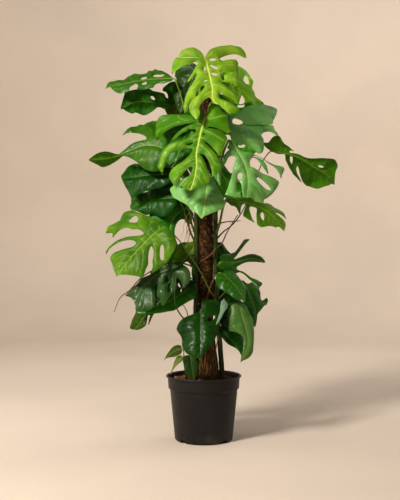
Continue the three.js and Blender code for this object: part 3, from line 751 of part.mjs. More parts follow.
    stalk: [[-26.1, -2.9, 1035], [-22.1, -15.2, 1062.8], [-17.2, -21.4, 1090.8], [-12.4, -24.3, 1117.9], [-8.8, -26.7, 1142.7], [-7.4, -31.3, 1163.8], [-9.1, -41, 1180.1], [-15, -58.5, 1190.2], [-22.4, -65.2, 1175], [-30.4, -70.7, 1157.5]],
  },
  {
    name: "leaf_34_inner_right",
    stem: "stem_right",
    colour: "#3f7a22",
    small: 0,
    trim: 4.2,
    at: [32.2, -70, 992.8],
    along: [0.5753, -0.2183, -0.7883],
    across: [0.7875, 0.4082, 0.4617],
    face: [0.221, -0.8864, 0.4067],
    L: 171,
    W: 50.6,
    fold: -0.12,
    droop: 0.06,
    side: 0.12,
    wave: [4, 50, 2.63, 0.81],
    mid: [[0, 0], [57.7, -2.1], [111.1, -0.6], [165.3, 5.2]],
    out: [[0, 0], [17.5, 14.8], [41.1, 20.1], [59.8, 21.7], [69.5, 32], [74.9, 44.8], [86.2, 48.1], [105.3, 34.1], [111.9, 41.6], [129.5, 47.3], [154.5, 37.2], [171, 18.1], [164.7, -7.6], [146.1, -28.1], [129.1, -44.8], [97.3, -45.1], [59.8, -39.1], [25.8, -24.4]],
    holes: [],
    stalk: [[42.5, 2, 820], [37.7, -12.5, 851.4], [31.5, -20.8, 882.6], [25.3, -25.6, 912.5], [20.5, -29.8, 939.9], [18.6, -36.2, 963.5], [21.1, -47.6, 982.3], [29.3, -66.8, 994.9], [39.7, -72.7, 981.3], [50.7, -77.4, 965.2]],
  },
  {
    name: "leaf_35_inner_right_low",
    stem: "stem_right",
    colour: "#3f7a22",
    small: 0,
    trim: 4.2,
    at: [66.6, 32, 538.1],
    along: [0.3911, -0.01, -0.9203],
    across: [0.9098, 0.155, 0.3849],
    face: [0.1388, -0.9879, 0.0698],
    L: 163.6,
    W: 58.6,
    fold: -0.12,
    droop: 0.06,
    side: 0.12,
    wave: [4, 50, 5.1, 2.81],
    mid: [[0, 0], [48.8, 3.2], [101.1, 5.3], [158.9, 1.5]],
    out: [[0, 0], [33, 18.2], [60.1, 44.7], [88.7, 59.5], [122, 53.6], [150.8, 28.4], [163.6, -0.4], [154, -28.1], [138.7, -49.5], [104.3, -51.8], [62.7, -37.9], [22.5, -21.1]],
    holes: [],
    stalk: [[45.1, -3, 520], [47.6, 3, 527], [50.4, 11.6, 532.3], [53.4, 21, 536.3], [56.5, 29.6, 539], [59.5, 35.8, 540.6], [62.3, 38, 541.5], [64.6, 34.6, 541.6], [72.8, 32.7, 525.5], [81.8, 32.6, 507.6]],
  },
  {
    name: "leaf_43_inner_upper_right",
    stem: "stem_right",
    colour: "#3f7a22",
    small: 0,
    trim: 4.2,
    at: [89.9, 78, 1245.3],
    along: [0.3693, -0.1124, -0.9225],
    across: [0.9192, 0.1906, 0.3447],
    face: [0.1371, -0.9752, 0.1736],
    L: 232.8,
    W: 130.4,
    fold: -0.1,
    droop: 0.06,
    side: 0.1,
    wave: [4, 60, 4.15, 2.06],
    mid: [[0, 0], [40.6, -12.5], [76.4, -25.3], [128.9, -23.7], [179.3, -3.3], [232.8, 4.2]],
    out: [[0, 0], [-16.4, -17.3], [-30.7, -31.3], [-26.4, -46.4], [-4.9, -53.2], [19.7, -55.5], [44.8, -53.6], [72.5, -57], [100.8, -65.5], [124.3, -70.8], [130.4, -59.9], [136.8, -48.9], [151, -47.9], [163.6, -54.8], [172.9, -69.8], [186.7, -65], [197.1, -53.5], [204.3, -36.5], [218.9, -18.3], [232.8, 4.2], [227.5, 27], [226.8, 48.3], [214.4, 62.4], [195.5, 63.9], [167.2, 65.2], [147.9, 81.8], [149.3, 107.1], [135.6, 124.4], [117.4, 114.2], [91.2, 97.5], [63.9, 93], [38.5, 84], [15.9, 75.4], [-3.4, 64], [-10.9, 46], [-8.9, 24.3]],
    holes: [[[4.8, 43.7], [10.5, 64.1], [41.1, 52.7], [53, 44.1], [46.6, 20.6], [33, 30.5]], [[85.1, -15.8], [94.9, 17.7], [110.3, 14.4], [115.1, -1.6], [107.3, -21.6]], [[179.3, -28.7], [187.1, -7.9], [196.6, -11.5], [188.9, -32.3]]],
    stalk: [[41, 1.2, 1090], [49.6, 20.6, 1120.7], [56.8, 44, 1151.4], [63.1, 67.6, 1180.4], [68.9, 87.1, 1206.2], [74.8, 98.6, 1227.2], [81, 97.9, 1241.9], [88.1, 81, 1248.5], [91.1, 76.2, 1230.8], [92.8, 72.7, 1210.2]],
  },
  {
    name: "leaf_44_inner_left_middle",
    stem: "stem_left",
    colour: "#3f7a22",
    small: 0,
    trim: 4.2,
    at: [-60.6, 17, 832.1],
    along: [-0.318, -0.154, -0.9355],
    across: [0.9456, 0.0204, -0.3248],
    face: [0.0691, -0.9879, 0.1392],
    L: 212.1,
    W: 87.7,
    fold: -0.02,
    droop: 0.06,
    side: 0.04,
    wave: [4, 60, 0.96, 0.93],
    mid: [[0, 0], [31.7, -23.7], [74.7, -36.4], [129.7, -18.2], [210.8, -0.1]],
    out: [[0, 0], [-6, -21.1], [-4.8, -43.6], [6.7, -66.4], [21.8, -91.8], [41.3, -111.9], [60.6, -120.5], [81.5, -114.8], [99, -95.8], [105.4, -70.7], [113.4, -49], [134.6, -32.5], [169, -22.2], [196.4, -13.5], [212.1, 0.3], [204.8, 10.7], [182.8, 15.3], [156.4, 14.6], [139.9, 11.9], [126.3, 2.7], [110.8, -8], [94.2, -15.2], [75.9, -17.7], [58.6, -14.5], [46.1, -5.7], [42.9, 5.5], [45.4, 17.8], [53.8, 26.1], [46.2, 33.4], [22.4, 25.2], [6.4, 15.2]],
    holes: [],
    stalk: [[-26.4, -3.6, 730], [-34.9, 4.7, 749.4], [-41.9, 14.8, 769.6], [-47.7, 24.7, 789.2], [-52.1, 32.3, 806.9], [-55.5, 35.4, 821.4], [-58, 32.1, 831.4], [-59.5, 20.2, 835.4], [-74.9, 15.3, 822.3], [-94.4, 11.8, 808.1]],
  },
  {
    name: "leaf_45_inner_left_low",
    stem: "stem_left",
    colour: "#3f7a22",
    small: 0,
    trim: 4.2,
    at: [-77.1, -54, 635.8],
    along: [-0.4711, -0.3939, -0.7892],
    across: [0.8738, -0.3307, -0.3565],
    face: [-0.1205, -0.8576, 0.5],
    L: 183.6,
    W: 87.6,
    fold: -0.1,
    droop: 0.06,
    side: 0.1,
    wave: [4, 60, 5.93, 0.56],
    mid: [[0, 0], [38.7, -3], [83.2, -6.8], [131.5, -12.5], [182.9, -4.3]],
    out: [[0, 0], [4.8, -22.2], [24.1, -44.7], [51.5, -63.2], [81.9, -80.1], [112.2, -87.1], [138.6, -85.4], [165, -60.5], [182.1, -29.6], [183.6, -3.9], [165.4, 10], [143.9, 20.5], [122.2, 25.8], [105.1, 28.8], [85.8, 24.9], [76.1, 26.7], [73.7, 37.8], [80.8, 48.5], [79.9, 61.7], [68, 75.3], [48.7, 78.8], [19.8, 67.8], [-3.2, 50.7], [-7.6, 38.1], [13.5, 50.2], [40.9, 62.7], [41.3, 54.8], [25.2, 43.7], [20.4, 27.8], [11, 14]],
    holes: [],
    stalk: [[-26.6, -4.1, 655], [-32.7, -9.1, 661.9], [-40.2, -14.4, 661.5], [-48.5, -20.3, 656.3], [-56.8, -26.7, 648.8], [-64.5, -33.8, 641.6], [-70.8, -41.6, 637], [-74.9, -50.2, 637.7], [-84.6, -58.6, 624.8], [-95.4, -66, 609.6]],
  },
  {
    name: "leaf_36_back_upper",
    stem: "stem_back",
    colour: "#3f7a22",
    small: 0,
    trim: 4.2,
    at: [22, 186, 1180],
    along: [-0.0608, 0.5677, -0.821],
    across: [-0.9915, 0.0608, 0.1154],
    face: [0.1154, 0.821, 0.5592],
    L: 241.8,
    W: 130.5,
    fold: -0.08,
    droop: 0.12,
    side: 0.12,
    wave: [8, 61.49999999999999, 1.09, 2.71],
    mid: [[0, 0], [28.2, 2.3], [59.1, 5.5], [98.5, 6.4], [133.5, 6.3], [169.6, -0.4], [205.6, -0.8], [241.8, 4.2]],
    out: [[0, 0], [10.2, 11.2], [18.5, 19.8], [14.9, 29.1], [7.6, 40.6], [2.8, 59.2], [0.5, 83.3], [2.5, 106.4], [5.8, 123.6], [11, 134.6], [19.4, 140.8], [30.6, 143.2], [56.8, 138], [72.9, 134.3], [84.7, 128.4], [72.1, 123.7], [62.3, 110.8], [53.7, 96.2], [45.3, 80.2], [39.5, 58], [34.3, 38.7], [28.8, 22.3], [38.8, 37.9], [48.2, 53.6], [61.1, 70.2], [76, 80.6], [92.4, 85.9], [99.1, 86.8], [94.4, 80.2], [85.8, 72.6], [72.7, 62.1], [64.5, 50.6], [62.7, 41.1], [73.1, 34.5], [84.7, 41], [92.9, 56.8], [100, 75.6], [108.8, 91.4], [119.7, 101.8], [133.1, 107.9], [150.3, 110.1], [175.9, 109], [183.8, 102], [195.7, 91.6], [181.5, 91.5], [164.9, 91.4], [143.3, 88.4], [129.5, 79.3], [123.9, 62.9], [120.5, 46.2], [114.6, 32.9], [120.6, 18.7], [136.1, 23.4], [148.9, 32.5], [160.1, 44.8], [169.6, 57.4], [181.5, 68.6], [194.8, 72.6], [210.4, 68.2], [222.4, 59.2], [232.6, 47.9], [224.7, 43.6], [213.2, 39.3], [198.1, 35.2], [183.4, 26.5], [173.9, 16.9], [173.5, 9.6], [186.9, 10.1], [199.9, 15.2], [213.2, 22.5], [226.4, 31.5], [235.7, 33.2], [237.5, 21.6], [241.1, 12.1], [241.8, 4.2], [235.7, -5.8], [227.3, -19.8], [217.1, -31.9], [206.8, -41.8], [190.4, -38.1], [170.2, -30.4], [154.4, -21.7], [140.8, -12.2], [130.7, -3.2], [131.4, -13.4], [140.5, -23.8], [154.7, -33.9], [173.6, -42.5], [190.4, -46.9], [202.1, -47.1], [193.8, -51.3], [178.5, -58.7], [162.4, -66.9], [148.4, -62.8], [133.3, -54.3], [116.2, -41.5], [105.6, -28.6], [97.5, -15.6], [91, -6.6], [92.3, -15.8], [102.1, -31.4], [114.8, -45.7], [128.5, -56.3], [138.1, -59.3], [117.7, -61.7], [98.7, -65.5], [83.8, -68.8], [66.7, -69.9], [52.7, -61.5], [45.5, -47.4], [46.2, -26.2], [48.7, -8.6], [43.5, -14.5], [41.7, -28.3], [42.5, -46.4], [46.7, -63.9], [48.4, -77.2], [38.1, -72.8], [26.1, -67.6], [7.5, -63.3], [-13.5, -60.1], [-28.3, -52.1], [-44.1, -39.9], [-53.2, -28.4], [-54.5, -16.6], [-48.2, -7], [-34.6, -1.2], [-17.8, -0.1]],
    holes: [[[58.3, 43], [55.7, 36.6], [60.6, 32.8], [65.6, 36.5]], [[58.4, 29.1], [54.8, 23.5], [60.2, 19.6], [64.5, 24.6]], [[68.7, -0.6], [64.9, -3.9], [68.3, -6.8], [70.9, -3.3]], [[103.3, 39.5], [97.9, 30.1], [96.9, 20.6], [104.8, 27.8], [106.3, 35.5]]],
    stalk: [[6, 40.3, 1110], [8, 57.2, 1132], [10.3, 75.8, 1146.8], [12.7, 95.7, 1156.4], [15.2, 116.6, 1162.7], [17.7, 138.2, 1167.8], [20, 159.9, 1173.5], [21.9, 181.6, 1181.8], [19.9, 193.4, 1168.2], [17, 204.8, 1152]],
  },
  {
    name: "leaf_37_back_middle",
    stem: "stem_back",
    colour: "#3f7a22",
    small: 0,
    trim: 4.2,
    at: [30, 165, 1040],
    along: [0.4521, 0.2992, -0.8403],
    across: [-0.7798, 0.5899, -0.2095],
    face: [0.433, 0.75, 0.5],
    L: 182.8,
    W: 113,
    fold: -0.08,
    droop: 0.12,
    side: 0.14,
    wave: [6, 54.6, 0.05, 5.99],
    mid: [[0, 0], [29.1, 11.3], [60.2, 20], [90.2, 23.9], [130.3, 18.7], [166.8, 7.3]],
    out: [[0, 0], [11.7, -7.1], [25.7, -8.3], [32.8, -18.5], [44.5, -30.5], [59.3, -40.4], [74.1, -48.5], [90.7, -55.7], [107.6, -60], [119, -56.5], [134.6, -48], [119.4, -50.6], [105.3, -51], [85.9, -44.1], [70.8, -35.7], [60.1, -25.3], [47.6, -15.6], [45.1, -4.5], [50.8, 2], [66.1, -3.4], [84.6, -11.9], [101.6, -20.1], [119.3, -29.6], [136.5, -39.8], [149.3, -47.1], [155.2, -38.6], [160, -27], [163.1, -15.1], [163.2, -7.5], [148.8, -5.9], [147.5, -15.6], [131.7, -14.1], [117.9, -7.9], [117.8, -1.9], [131, 0.4], [147.6, -2.9], [162.3, -5.9], [166.8, 7.3], [168, 20], [173.6, 27.8], [179.3, 39.3], [182.8, 54.3], [173.3, 58.4], [166.7, 72.5], [158.3, 86.4], [144.2, 103], [130.8, 115.5], [122.3, 118.4], [114.9, 108.9], [107.2, 93.1], [101.4, 78.5], [93.6, 64.6], [85.5, 51.2], [80.6, 38.5], [71, 39.9], [61.6, 43.7], [51.7, 54.1], [55.5, 63.8], [66.2, 70.3], [75.1, 75], [86.7, 80.5], [95.1, 85.7], [101.9, 89.7], [91.6, 91.4], [74.7, 92.3], [62.7, 85.8], [55.7, 76.5], [51, 66.9], [48.3, 56.3], [45.9, 62.5], [49.5, 72.9], [55, 83], [61.4, 94.4], [70.4, 112.1], [80.6, 126.3], [95.2, 130.8], [112.2, 128.2], [96.1, 140.5], [84.9, 149.5], [78.1, 151.8], [73.2, 143.9], [69.9, 124.9], [62.3, 103.7], [52.8, 83.5], [44.4, 66.6], [37.4, 49.8], [33.7, 35.5], [27.5, 22], [12, 11.4]],
    holes: [[[98.6, -1.7], [94.6, 6.4], [99.1, 9.8], [111.3, 5.2], [116.1, -1.4], [108.5, -4.5]], [[110.6, 48.7], [111.9, 60.4], [120, 71.3], [132.2, 80.9], [145.6, 86.7], [146.9, 78.2], [138.3, 63.7], [125.2, 52.2]]],
    stalk: [[7, 40.6, 900], [8.5, 58.4, 929.3], [7.9, 75, 955.3], [6.8, 91, 978.3], [6.6, 107.1, 998.4], [8.9, 123.8, 1015.6], [15.2, 141.9, 1030.1], [27.1, 161.9, 1042.1], [31.8, 171.9, 1026.7], [35.1, 181.9, 1008.3]],
  },
  {
    name: "leaf_38_back_left",
    stem: "stem_back",
    colour: "#3f7a22",
    small: 0,
    trim: 4.2,
    at: [-88, 190, 1004],
    along: [-0.5845, 0.3449, -0.7344],
    across: [-0.792, -0.4392, 0.424],
    face: [-0.1763, 0.8295, 0.5299],
    L: 171.3,
    W: 113.5,
    fold: -0.1,
    droop: 0.12,
    side: 0.1,
    wave: [6, 50.4, 5.46, 0.95],
    mid: [[0, 0], [25.5, 6.4], [49.3, 9.2], [78, 11.2], [114.9, 13.1], [170.7, 10.6]],
    out: [[0, 0], [-5.5, 18.3], [-6.3, 37.8], [-4.8, 55.3], [-1.8, 71.7], [0.5, 98.9], [1, 130.6], [8.9, 139], [24.5, 133.5], [34.6, 132.3], [41.2, 131.3], [52.9, 141.6], [67.6, 144.1], [79.4, 139.6], [91.3, 136.6], [87.1, 127.7], [83.3, 118.8], [90.8, 109.2], [75.8, 105], [62.2, 97], [52.4, 82.8], [49.1, 66.5], [42, 54.1], [40.2, 40.6], [43.2, 30.5], [51.8, 37], [62.3, 53.9], [73.4, 70.7], [84.1, 79.5], [97.1, 85.3], [109.1, 89.2], [122.3, 93.6], [130.4, 92.2], [139.4, 83.6], [131.6, 85.9], [122.1, 85.7], [112.1, 82.6], [98.8, 75.2], [87.2, 67.3], [78.3, 56.9], [72.5, 43.1], [73.1, 31.6], [78.9, 27.1], [86.6, 29.1], [97.9, 41.1], [109.6, 53.3], [122.8, 64.1], [135.4, 66.8], [141.5, 64.2], [150.9, 47.6], [161.4, 29.4], [166.2, 18.5], [171.3, 10.1], [165.4, 10.3], [155.5, -2], [145.8, -17.2], [138.7, -31.5], [133.9, -44.5], [123.3, -43.2], [110.9, -37.5], [99.3, -34.1], [84.2, -22.6], [68.8, -13.1], [58, -9.6], [61.3, -18.7], [72.4, -30.4], [85.9, -37.9], [95.1, -46], [116.9, -55.3], [105.9, -57.3], [96.4, -61.9], [85.6, -64.1], [72.8, -64.1], [59.4, -65.5], [47.6, -66.3], [32, -63.2], [17.3, -57.3], [8.1, -47.4], [-0.3, -32.4], [-4.9, -17.8], [-6.6, -6.2]],
    holes: [[[34.2, 100.7], [22.3, 99.5], [12.4, 92.8], [16.1, 80.5], [26.3, 77.8], [31.5, 86.7]], [[43.4, -28.1], [37.5, -29.2], [42.4, -38.3], [56, -49.5], [66.5, -55.5], [70.1, -51.8]]],
    stalk: [[6.9, 40.4, 960], [-4.1, 57, 982.7], [-17.2, 75.9, 994.2], [-31.6, 96.6, 998.1], [-46.5, 118.6, 997.7], [-61, 141.2, 996.6], [-74.1, 164, 998], [-85.2, 186.5, 1005.6], [-98.8, 192.7, 994.8], [-113.6, 197.6, 981.6]],
  },
  {
    name: "leaf_39_back_low",
    stem: "stem_back",
    colour: "#3f7a22",
    small: 0,
    trim: 4.2,
    at: [44, 150, 560],
    along: [0.2832, 0.4219, -0.8613],
    across: [-0.9025, 0.421, -0.0905],
    face: [0.3244, 0.803, 0.5],
    L: 152.6,
    W: 69.6,
    fold: -0.14,
    droop: 0.12,
    side: 0.18,
    wave: [4, 68.8, 0.67, 4.68],
    mid: [[0, 0], [39.2, -0.4], [83.1, -1], [151.4, -0.9]],
    out: [[0, 0], [4.9, -13.7], [9, -28.8], [12.3, -42.8], [16.8, -54.4], [24.4, -63.9], [33.7, -69.7], [45.6, -72.4], [59.3, -66.9], [73, -58.3], [84.8, -55.4], [97.3, -55.9], [113.6, -50.7], [126.7, -42.2], [136.6, -31], [144.3, -18.7], [147.7, -5.2], [152.6, -0.9], [139.8, 4.6], [125.8, 15.6], [111.4, 27.1], [99, 35.9], [82.3, 43.2], [68.2, 48.1], [55.4, 52.9], [40.9, 52.5], [20.5, 55], [-8, 58.6], [-27.6, 58.3], [-39, 48.3], [-40.9, 30.6], [-38.8, 14.6], [-30.5, 2.8]],
    holes: [[[30.7, 17.1], [20.5, 24.7], [14.1, 33.5], [11.1, 41], [18.3, 42.2], [27.3, 35.2], [33.3, 24.7]]],
    stalk: [[7.6, 42.4, 440], [12.2, 57.1, 465.5], [15.9, 70.5, 488], [19.3, 83.3, 507.8], [23, 96.5, 524.9], [27.7, 110.8, 539.6], [33.8, 127.1, 551.9], [42, 146.2, 562.1], [47.9, 155.2, 547.6], [53.6, 163.3, 530.2]],
  },
  {
    name: "leaf_40_back_top",
    stem: "stem_back",
    colour: "#3f7a22",
    small: 0,
    trim: 4.2,
    at: [-66, 118, 1292],
    along: [-0.3605, 0.2464, -0.8996],
    across: [-0.8657, -0.4475, 0.2243],
    face: [-0.3473, 0.8597, 0.3746],
    L: 149.8,
    W: 99.4,
    fold: -0.16,
    droop: 0.06,
    side: 0.1,
    wave: [3, 72.0, 0.93, 1.43],
    mid: [[0, 0], [59.7, 2.6], [107.6, 2.7], [149.8, -0.1]],
    out: [[0, 0], [4.7, -21.6], [15.2, -45.3], [28.2, -68.5], [42.3, -88.8], [54.3, -98.3], [67.8, -91.9], [83.1, -82.2], [94.2, -69.3], [104, -54.4], [112.7, -41.3], [126.9, -26], [138.5, -12.2], [149.8, -0.1], [142.7, 5.6], [133.1, 18.2], [122.7, 33.6], [110.7, 47.8], [95.8, 57.9], [76, 53.6], [58.3, 42], [40.5, 29.9], [19.4, 17.9]],
    holes: [],
    stalk: [[6, 40.9, 1160], [-5, 51.4, 1187], [-15.1, 59.3, 1212.3], [-24.5, 66.2, 1235.3], [-33.7, 73.6, 1255.6], [-43.1, 83.1, 1272.6], [-52.9, 96.3, 1285.7], [-63.7, 114.8, 1294.6], [-71.3, 120.6, 1279.3], [-79.3, 125.1, 1261.5]],
  },
  {
    name: "leaf_41_back_side",
    stem: "stem_back",
    colour: "#3f7a22",
    small: 0,
    trim: 4.2,
    at: [-128, 192, 884],
    along: [-0.2035, 0.593, -0.779],
    across: [-0.7292, -0.6227, -0.2835],
    face: [-0.6533, 0.5104, 0.5592],
    L: 128.5,
    W: 77.9,
    fold: -0.1,
    droop: 0.096,
    side: 0.14,
    wave: [6, 45.5, 0.73, 4.14],
    mid: [[0, 0], [18.7, -10.1], [40.1, -17.5], [64.3, -19.2], [91, -12.2], [121.2, -7.4]],
    out: [[0, 0], [-6.3, -18.4], [-5.8, -47.1], [4.8, -82.8], [16, -98], [34.4, -110.4], [52.4, -122.6], [57.9, -107.9], [66.5, -99.1], [85.8, -110.6], [103.4, -111.3], [109.6, -98.6], [117.9, -93.4], [124.8, -90.1], [128.5, -83.1], [121.2, -81.9], [108.9, -78.7], [96.9, -76.2], [83.9, -75.3], [71.2, -67], [59.3, -54.7], [50.7, -42], [52.8, -37], [60.8, -36], [71.3, -34.5], [84.8, -32.2], [98.6, -28.2], [108.7, -20.6], [117.6, -13.7], [123, -7.8], [115.4, -2.5], [104.1, 1.5], [93.1, 6.8], [82.5, 14.9], [72.4, 25.6], [64.1, 34.7], [51.6, 44.1], [34.3, 53.9], [19.5, 52.8], [4.4, 48.3], [-6.6, 35.5], [-9.4, 17.7]],
    holes: [],
    stalk: [[7, 40.8, 830], [-8.2, 57.9, 856.3], [-25.5, 77.6, 870], [-44.6, 99.3, 875], [-64.7, 122.1, 875.2], [-85.3, 145, 874.4], [-105.7, 167.4, 876.6], [-125.5, 188.3, 885.7], [-124.8, 204.6, 874.8], [-123, 221.2, 861.3]],
  },
  {
    name: "leaf_42_back_left_low",
    stem: "stem_back",
    colour: "#3f7a22",
    small: 0,
    trim: 4.2,
    at: [-92, 105, 596],
    along: [-0.4685, 0.2882, -0.8352],
    across: [-0.6953, -0.7035, 0.1473],
    face: [-0.5451, 0.6496, 0.5299],
    L: 139.3,
    W: 76.1,
    fold: -0.1,
    droop: 0.12,
    side: 0.1,
    wave: [5, 39.6, 4.41, 1.23],
    mid: [[0, 0], [27.2, 12.1], [57.8, 20.3], [91.9, 20.3], [124.3, 8.1]],
    out: [[0, 0], [2.1, 22.7], [15.9, 33.5], [35.6, 34.8], [57.1, 34.5], [70.9, 41.4], [81.3, 44.7], [93.6, 40.8], [107.4, 39.1], [118.7, 41.6], [128.4, 42.5], [134.1, 42.1], [129.6, 31.1], [127.9, 19.3], [130, 7.3], [133.5, -3.1], [139.3, -10.5], [134.6, -22.2], [120.5, -30.5], [109.6, -36.7], [99.1, -34.9], [84.6, -18.1], [71.6, -0.9], [63.5, 6], [69.4, -6.6], [84.5, -24.3], [93.9, -35.1], [80.8, -27.9], [86.4, -39.9], [85.7, -46.5], [73.6, -47.2], [64.3, -43.6], [52.8, -40.3], [40.2, -38.3], [30.4, -32.7], [20.9, -20.8], [19, -31.3], [24.7, -50.1], [15.6, -50.7], [2.7, -48.4], [-8.5, -36.3], [-13, -21.3], [-10.7, -7]],
    holes: [[[38.1, 1.4], [34.7, -1.9], [40.4, -13.3], [43.8, -10.9]], [[48.5, -20.9], [40.1, -18.7], [50.1, -31.8], [56.5, -34.7]]],
    stalk: [[9.2, 41.8, 520], [-3.3, 48.9, 540.1], [-16.9, 55.7, 555.3], [-31.3, 62.7, 566.9], [-45.9, 70.4, 575.8], [-60.6, 79.2, 583.2], [-75, 89.6, 590.3], [-88.7, 102.2, 598], [-102.5, 104.1, 584.8], [-117, 104.2, 569]],
  },
];

// ---------------------------------------------------------------- helpers
const V3 = (a) => new THREE.Vector3(a[0], a[1], a[2]);

/** A closed geometry as a solid. */
function solid(geometry) {
  const g = geometry.clone();
  for (const k of Object.keys(g.attributes)) if (k !== "position") g.deleteAttribute(k);
  const m = mergeVertices(g, 1e-4);
  const index = Array.from(m.index.array);
  const tri = [];
  for (let i = 0; i < index.length; i += 3) {
    const [a, b, c] = [index[i], index[i + 1], index[i + 2]];
    if (a !== b && b !== c && a !== c) tri.push(a, b, c);
  }
  return new wasm.Manifold(
    new wasm.Mesh({ numProp: 3, vertProperties: new Float32Array(m.attributes.position.array), triVerts: new Uint32Array(tri) }),
  );
}

/** A solid's surface as a geometry. */
function surface(body) {
  const m = body.getMesh();
  const g = new THREE.BufferGeometry();
  const n = m.numProp;
  const p = new Float32Array((m.vertProperties.length / n) * 3);
  for (let i = 0; i < p.length / 3; i++) for (let k = 0; k < 3; k++) p[3 * i + k] = m.vertProperties[n * i + k];
  g.setAttribute("position", new THREE.BufferAttribute(p, 3));
  g.setIndex(new THREE.BufferAttribute(new Uint32Array(m.triVerts), 1));
  g.computeVertexNormals();
  return g;
}

/** A round tube along points, with a radius that changes from one end to the other. */
function tube(points, radii, sides, steps, grow = 0) {
  const curve = new THREE.CatmullRomCurve3(points.map(V3), false, "centripetal");
  const ring = new THREE.Shape();
  for (let i = 0; i < sides; i++) {
    const a = (2 * Math.PI * i) / sides;
    if (i) ring.lineTo(Math.cos(a), Math.sin(a));
    else ring.moveTo(1, 0);
  }
  ring.closePath();
  const g = new THREE.ExtrudeGeometry(ring, { steps, extrudePath: curve, curveSegments: 1 });
  const p = g.attributes.position;
  // each ring is scaled about its own centre on the curve
  const centres = curve.getSpacedPoints(steps);
  const v = new THREE.Vector3();
  for (let i = 0; i < p.count; i++) {
    v.fromBufferAttribute(p, i);
    let best = 0;
    let least = Infinity;
    for (let k = 0; k <= steps; k++) {
      const d = Math.abs(v.distanceTo(centres[k]) - 1);
      if (d < least) [least, best] = [d, k];
    }
    const t = best / steps;
    const s = t * (radii.length - 1);
    const j = Math.min(Math.floor(s), radii.length - 2);
    const r = radii[j] + (radii[j + 1] - radii[j]) * (s - j) + grow;
    v.sub(centres[best]).multiplyScalar(r).add(centres[best]);
    p.setXYZ(i, v.x, v.y, v.z);
  }
  return solid(g);
}

/** Leaves out the points of a closed outline that lie within tol of a straight line, keeping those in keep. */
function thin(points, tol, keep) {
  const marks = new Set(keep);
  const walk = (a, b) => {
    let far = -1;
    let most = tol;
    const [ax, ay] = points[a];
    const [bx, by] = points[b % points.length];
    const l = Math.hypot(bx - ax, by - ay) || 1;
    for (let i = a + 1; i < b; i++) {
      const d = Math.abs((bx - ax) * (ay - points[i][1]) - (ax - points[i][0]) * (by - ay)) / l;
      const e = l < 1e-6 ? Math.hypot(points[i][0] - ax, points[i][1] - ay) : d;
      if (e > most) [most, far] = [e, i];
    }
    if (far < 0) return;
    marks.add(far);
    walk(a, far);
    walk(far, b);
  };
  const stops = [...keep].sort((a, b) => a - b);
  stops.push(points.length);
  for (let i = 0; i + 1 < stops.length; i++) walk(stops[i], stops[i + 1]);
  return [...marks].sort((a, b) => a - b);
}

/** Splits the long edges of a closed mesh, both faces of an edge alike. */
function splitLong(geometry, longest) {
  const g = geometry.clone();
  for (const k of Object.keys(g.attributes)) if (k !== "position") g.deleteAttribute(k);
  const m = mergeVertices(g, 1e-4);
  const pts = [];
  for (let i = 0; i < m.attributes.position.count; i++) pts.push(new THREE.Vector3().fromBufferAttribute(m.attributes.position, i));
  let tris = [];
  for (let i = 0; i < m.index.count; i += 3) tris.push([m.index.array[i], m.index.array[i + 1], m.index.array[i + 2]]);
  tris = tris.filter(([a, b, c]) => a !== b && b !== c && a !== c);
  for (let round = 0; round < 12; round++) {
    const edges = new Map();
    tris.forEach((t, i) => {
      for (let k = 0; k < 3; k++) {
        const [a, b] = [t[k], t[(k + 1) % 3]];
        const key = a < b ? `${a},${b}` : `${b},${a}`;
        if (!edges.has(key)) edges.set(key, []);
        edges.get(key).push(i);
      }
    });
    const long = [];
    for (const [key, faces] of edges) {
      const [a, b] = key.split(",").map(Number);
      const d = pts[a].distanceTo(pts[b]);
      if (d > longest) long.push([d, a, b, faces]);
    }
    if (!long.length) break;
    long.sort((x, y) => y[0] - x[0]);
    const used = new Set();
    const made = [];
    for (const [, a, b, faces] of long) {
      if (faces.some((f) => used.has(f))) continue;
      const mid = pts.length;
      pts.push(pts[a].clone().add(pts[b]).multiplyScalar(0.5));
      for (const f of faces) {
        used.add(f);
        const t = tris[f];
        const k = t.findIndex((v, i) => (v === a && t[(i + 1) % 3] === b) || (v === b && t[(i + 1) % 3] === a));
        const [p, q, r] = [t[k], t[(k + 1) % 3], t[(k + 2) % 3]];
        made.push([p, mid, r], [mid, q, r]);
      }
    }
    tris = tris.filter((_, i) => !used.has(i)).concat(made);
  }
  const out = new THREE.BufferGeometry();
  out.setAttribute("position", new THREE.Float32BufferAttribute(pts.flatMap((p) => [p.x, p.y, p.z]), 3));
  out.setIndex(tris.flat());
  return out;
}

/** How far the midrib lies from the leaf's own axis at u. */
function midAt(leaf, u) {
  const m = leaf.mid;
  if (u <= m[0][0]) return m[0][1];
  for (let i = 1; i < m.length; i++) {
    if (u <= m[i][0]) return m[i - 1][1] + ((m[i][1] - m[i - 1][1]) * (u - m[i - 1][0])) / (m[i][0] - m[i - 1][0]);
  }
  return m[m.length - 1][1];
}

/** The height of the bent blade over its own plane. */
function lift(leaf, u, v) {
  const e = v - midAt(leaf, u);
  const d = Math.abs(e);
  const [a, length, right, left] = leaf.wave;
  return (
    leaf.fold * (Math.sqrt(d * d + 36) - 6) -
    (leaf.droop * u * u) / leaf.L -
    (leaf.side * d * d) / leaf.W +
    a * (d / leaf.W) ** 1.5 * Math.sin((2 * Math.PI * (u - 0.45 * d)) / length + (e > 0 ? right : left))
  );
}

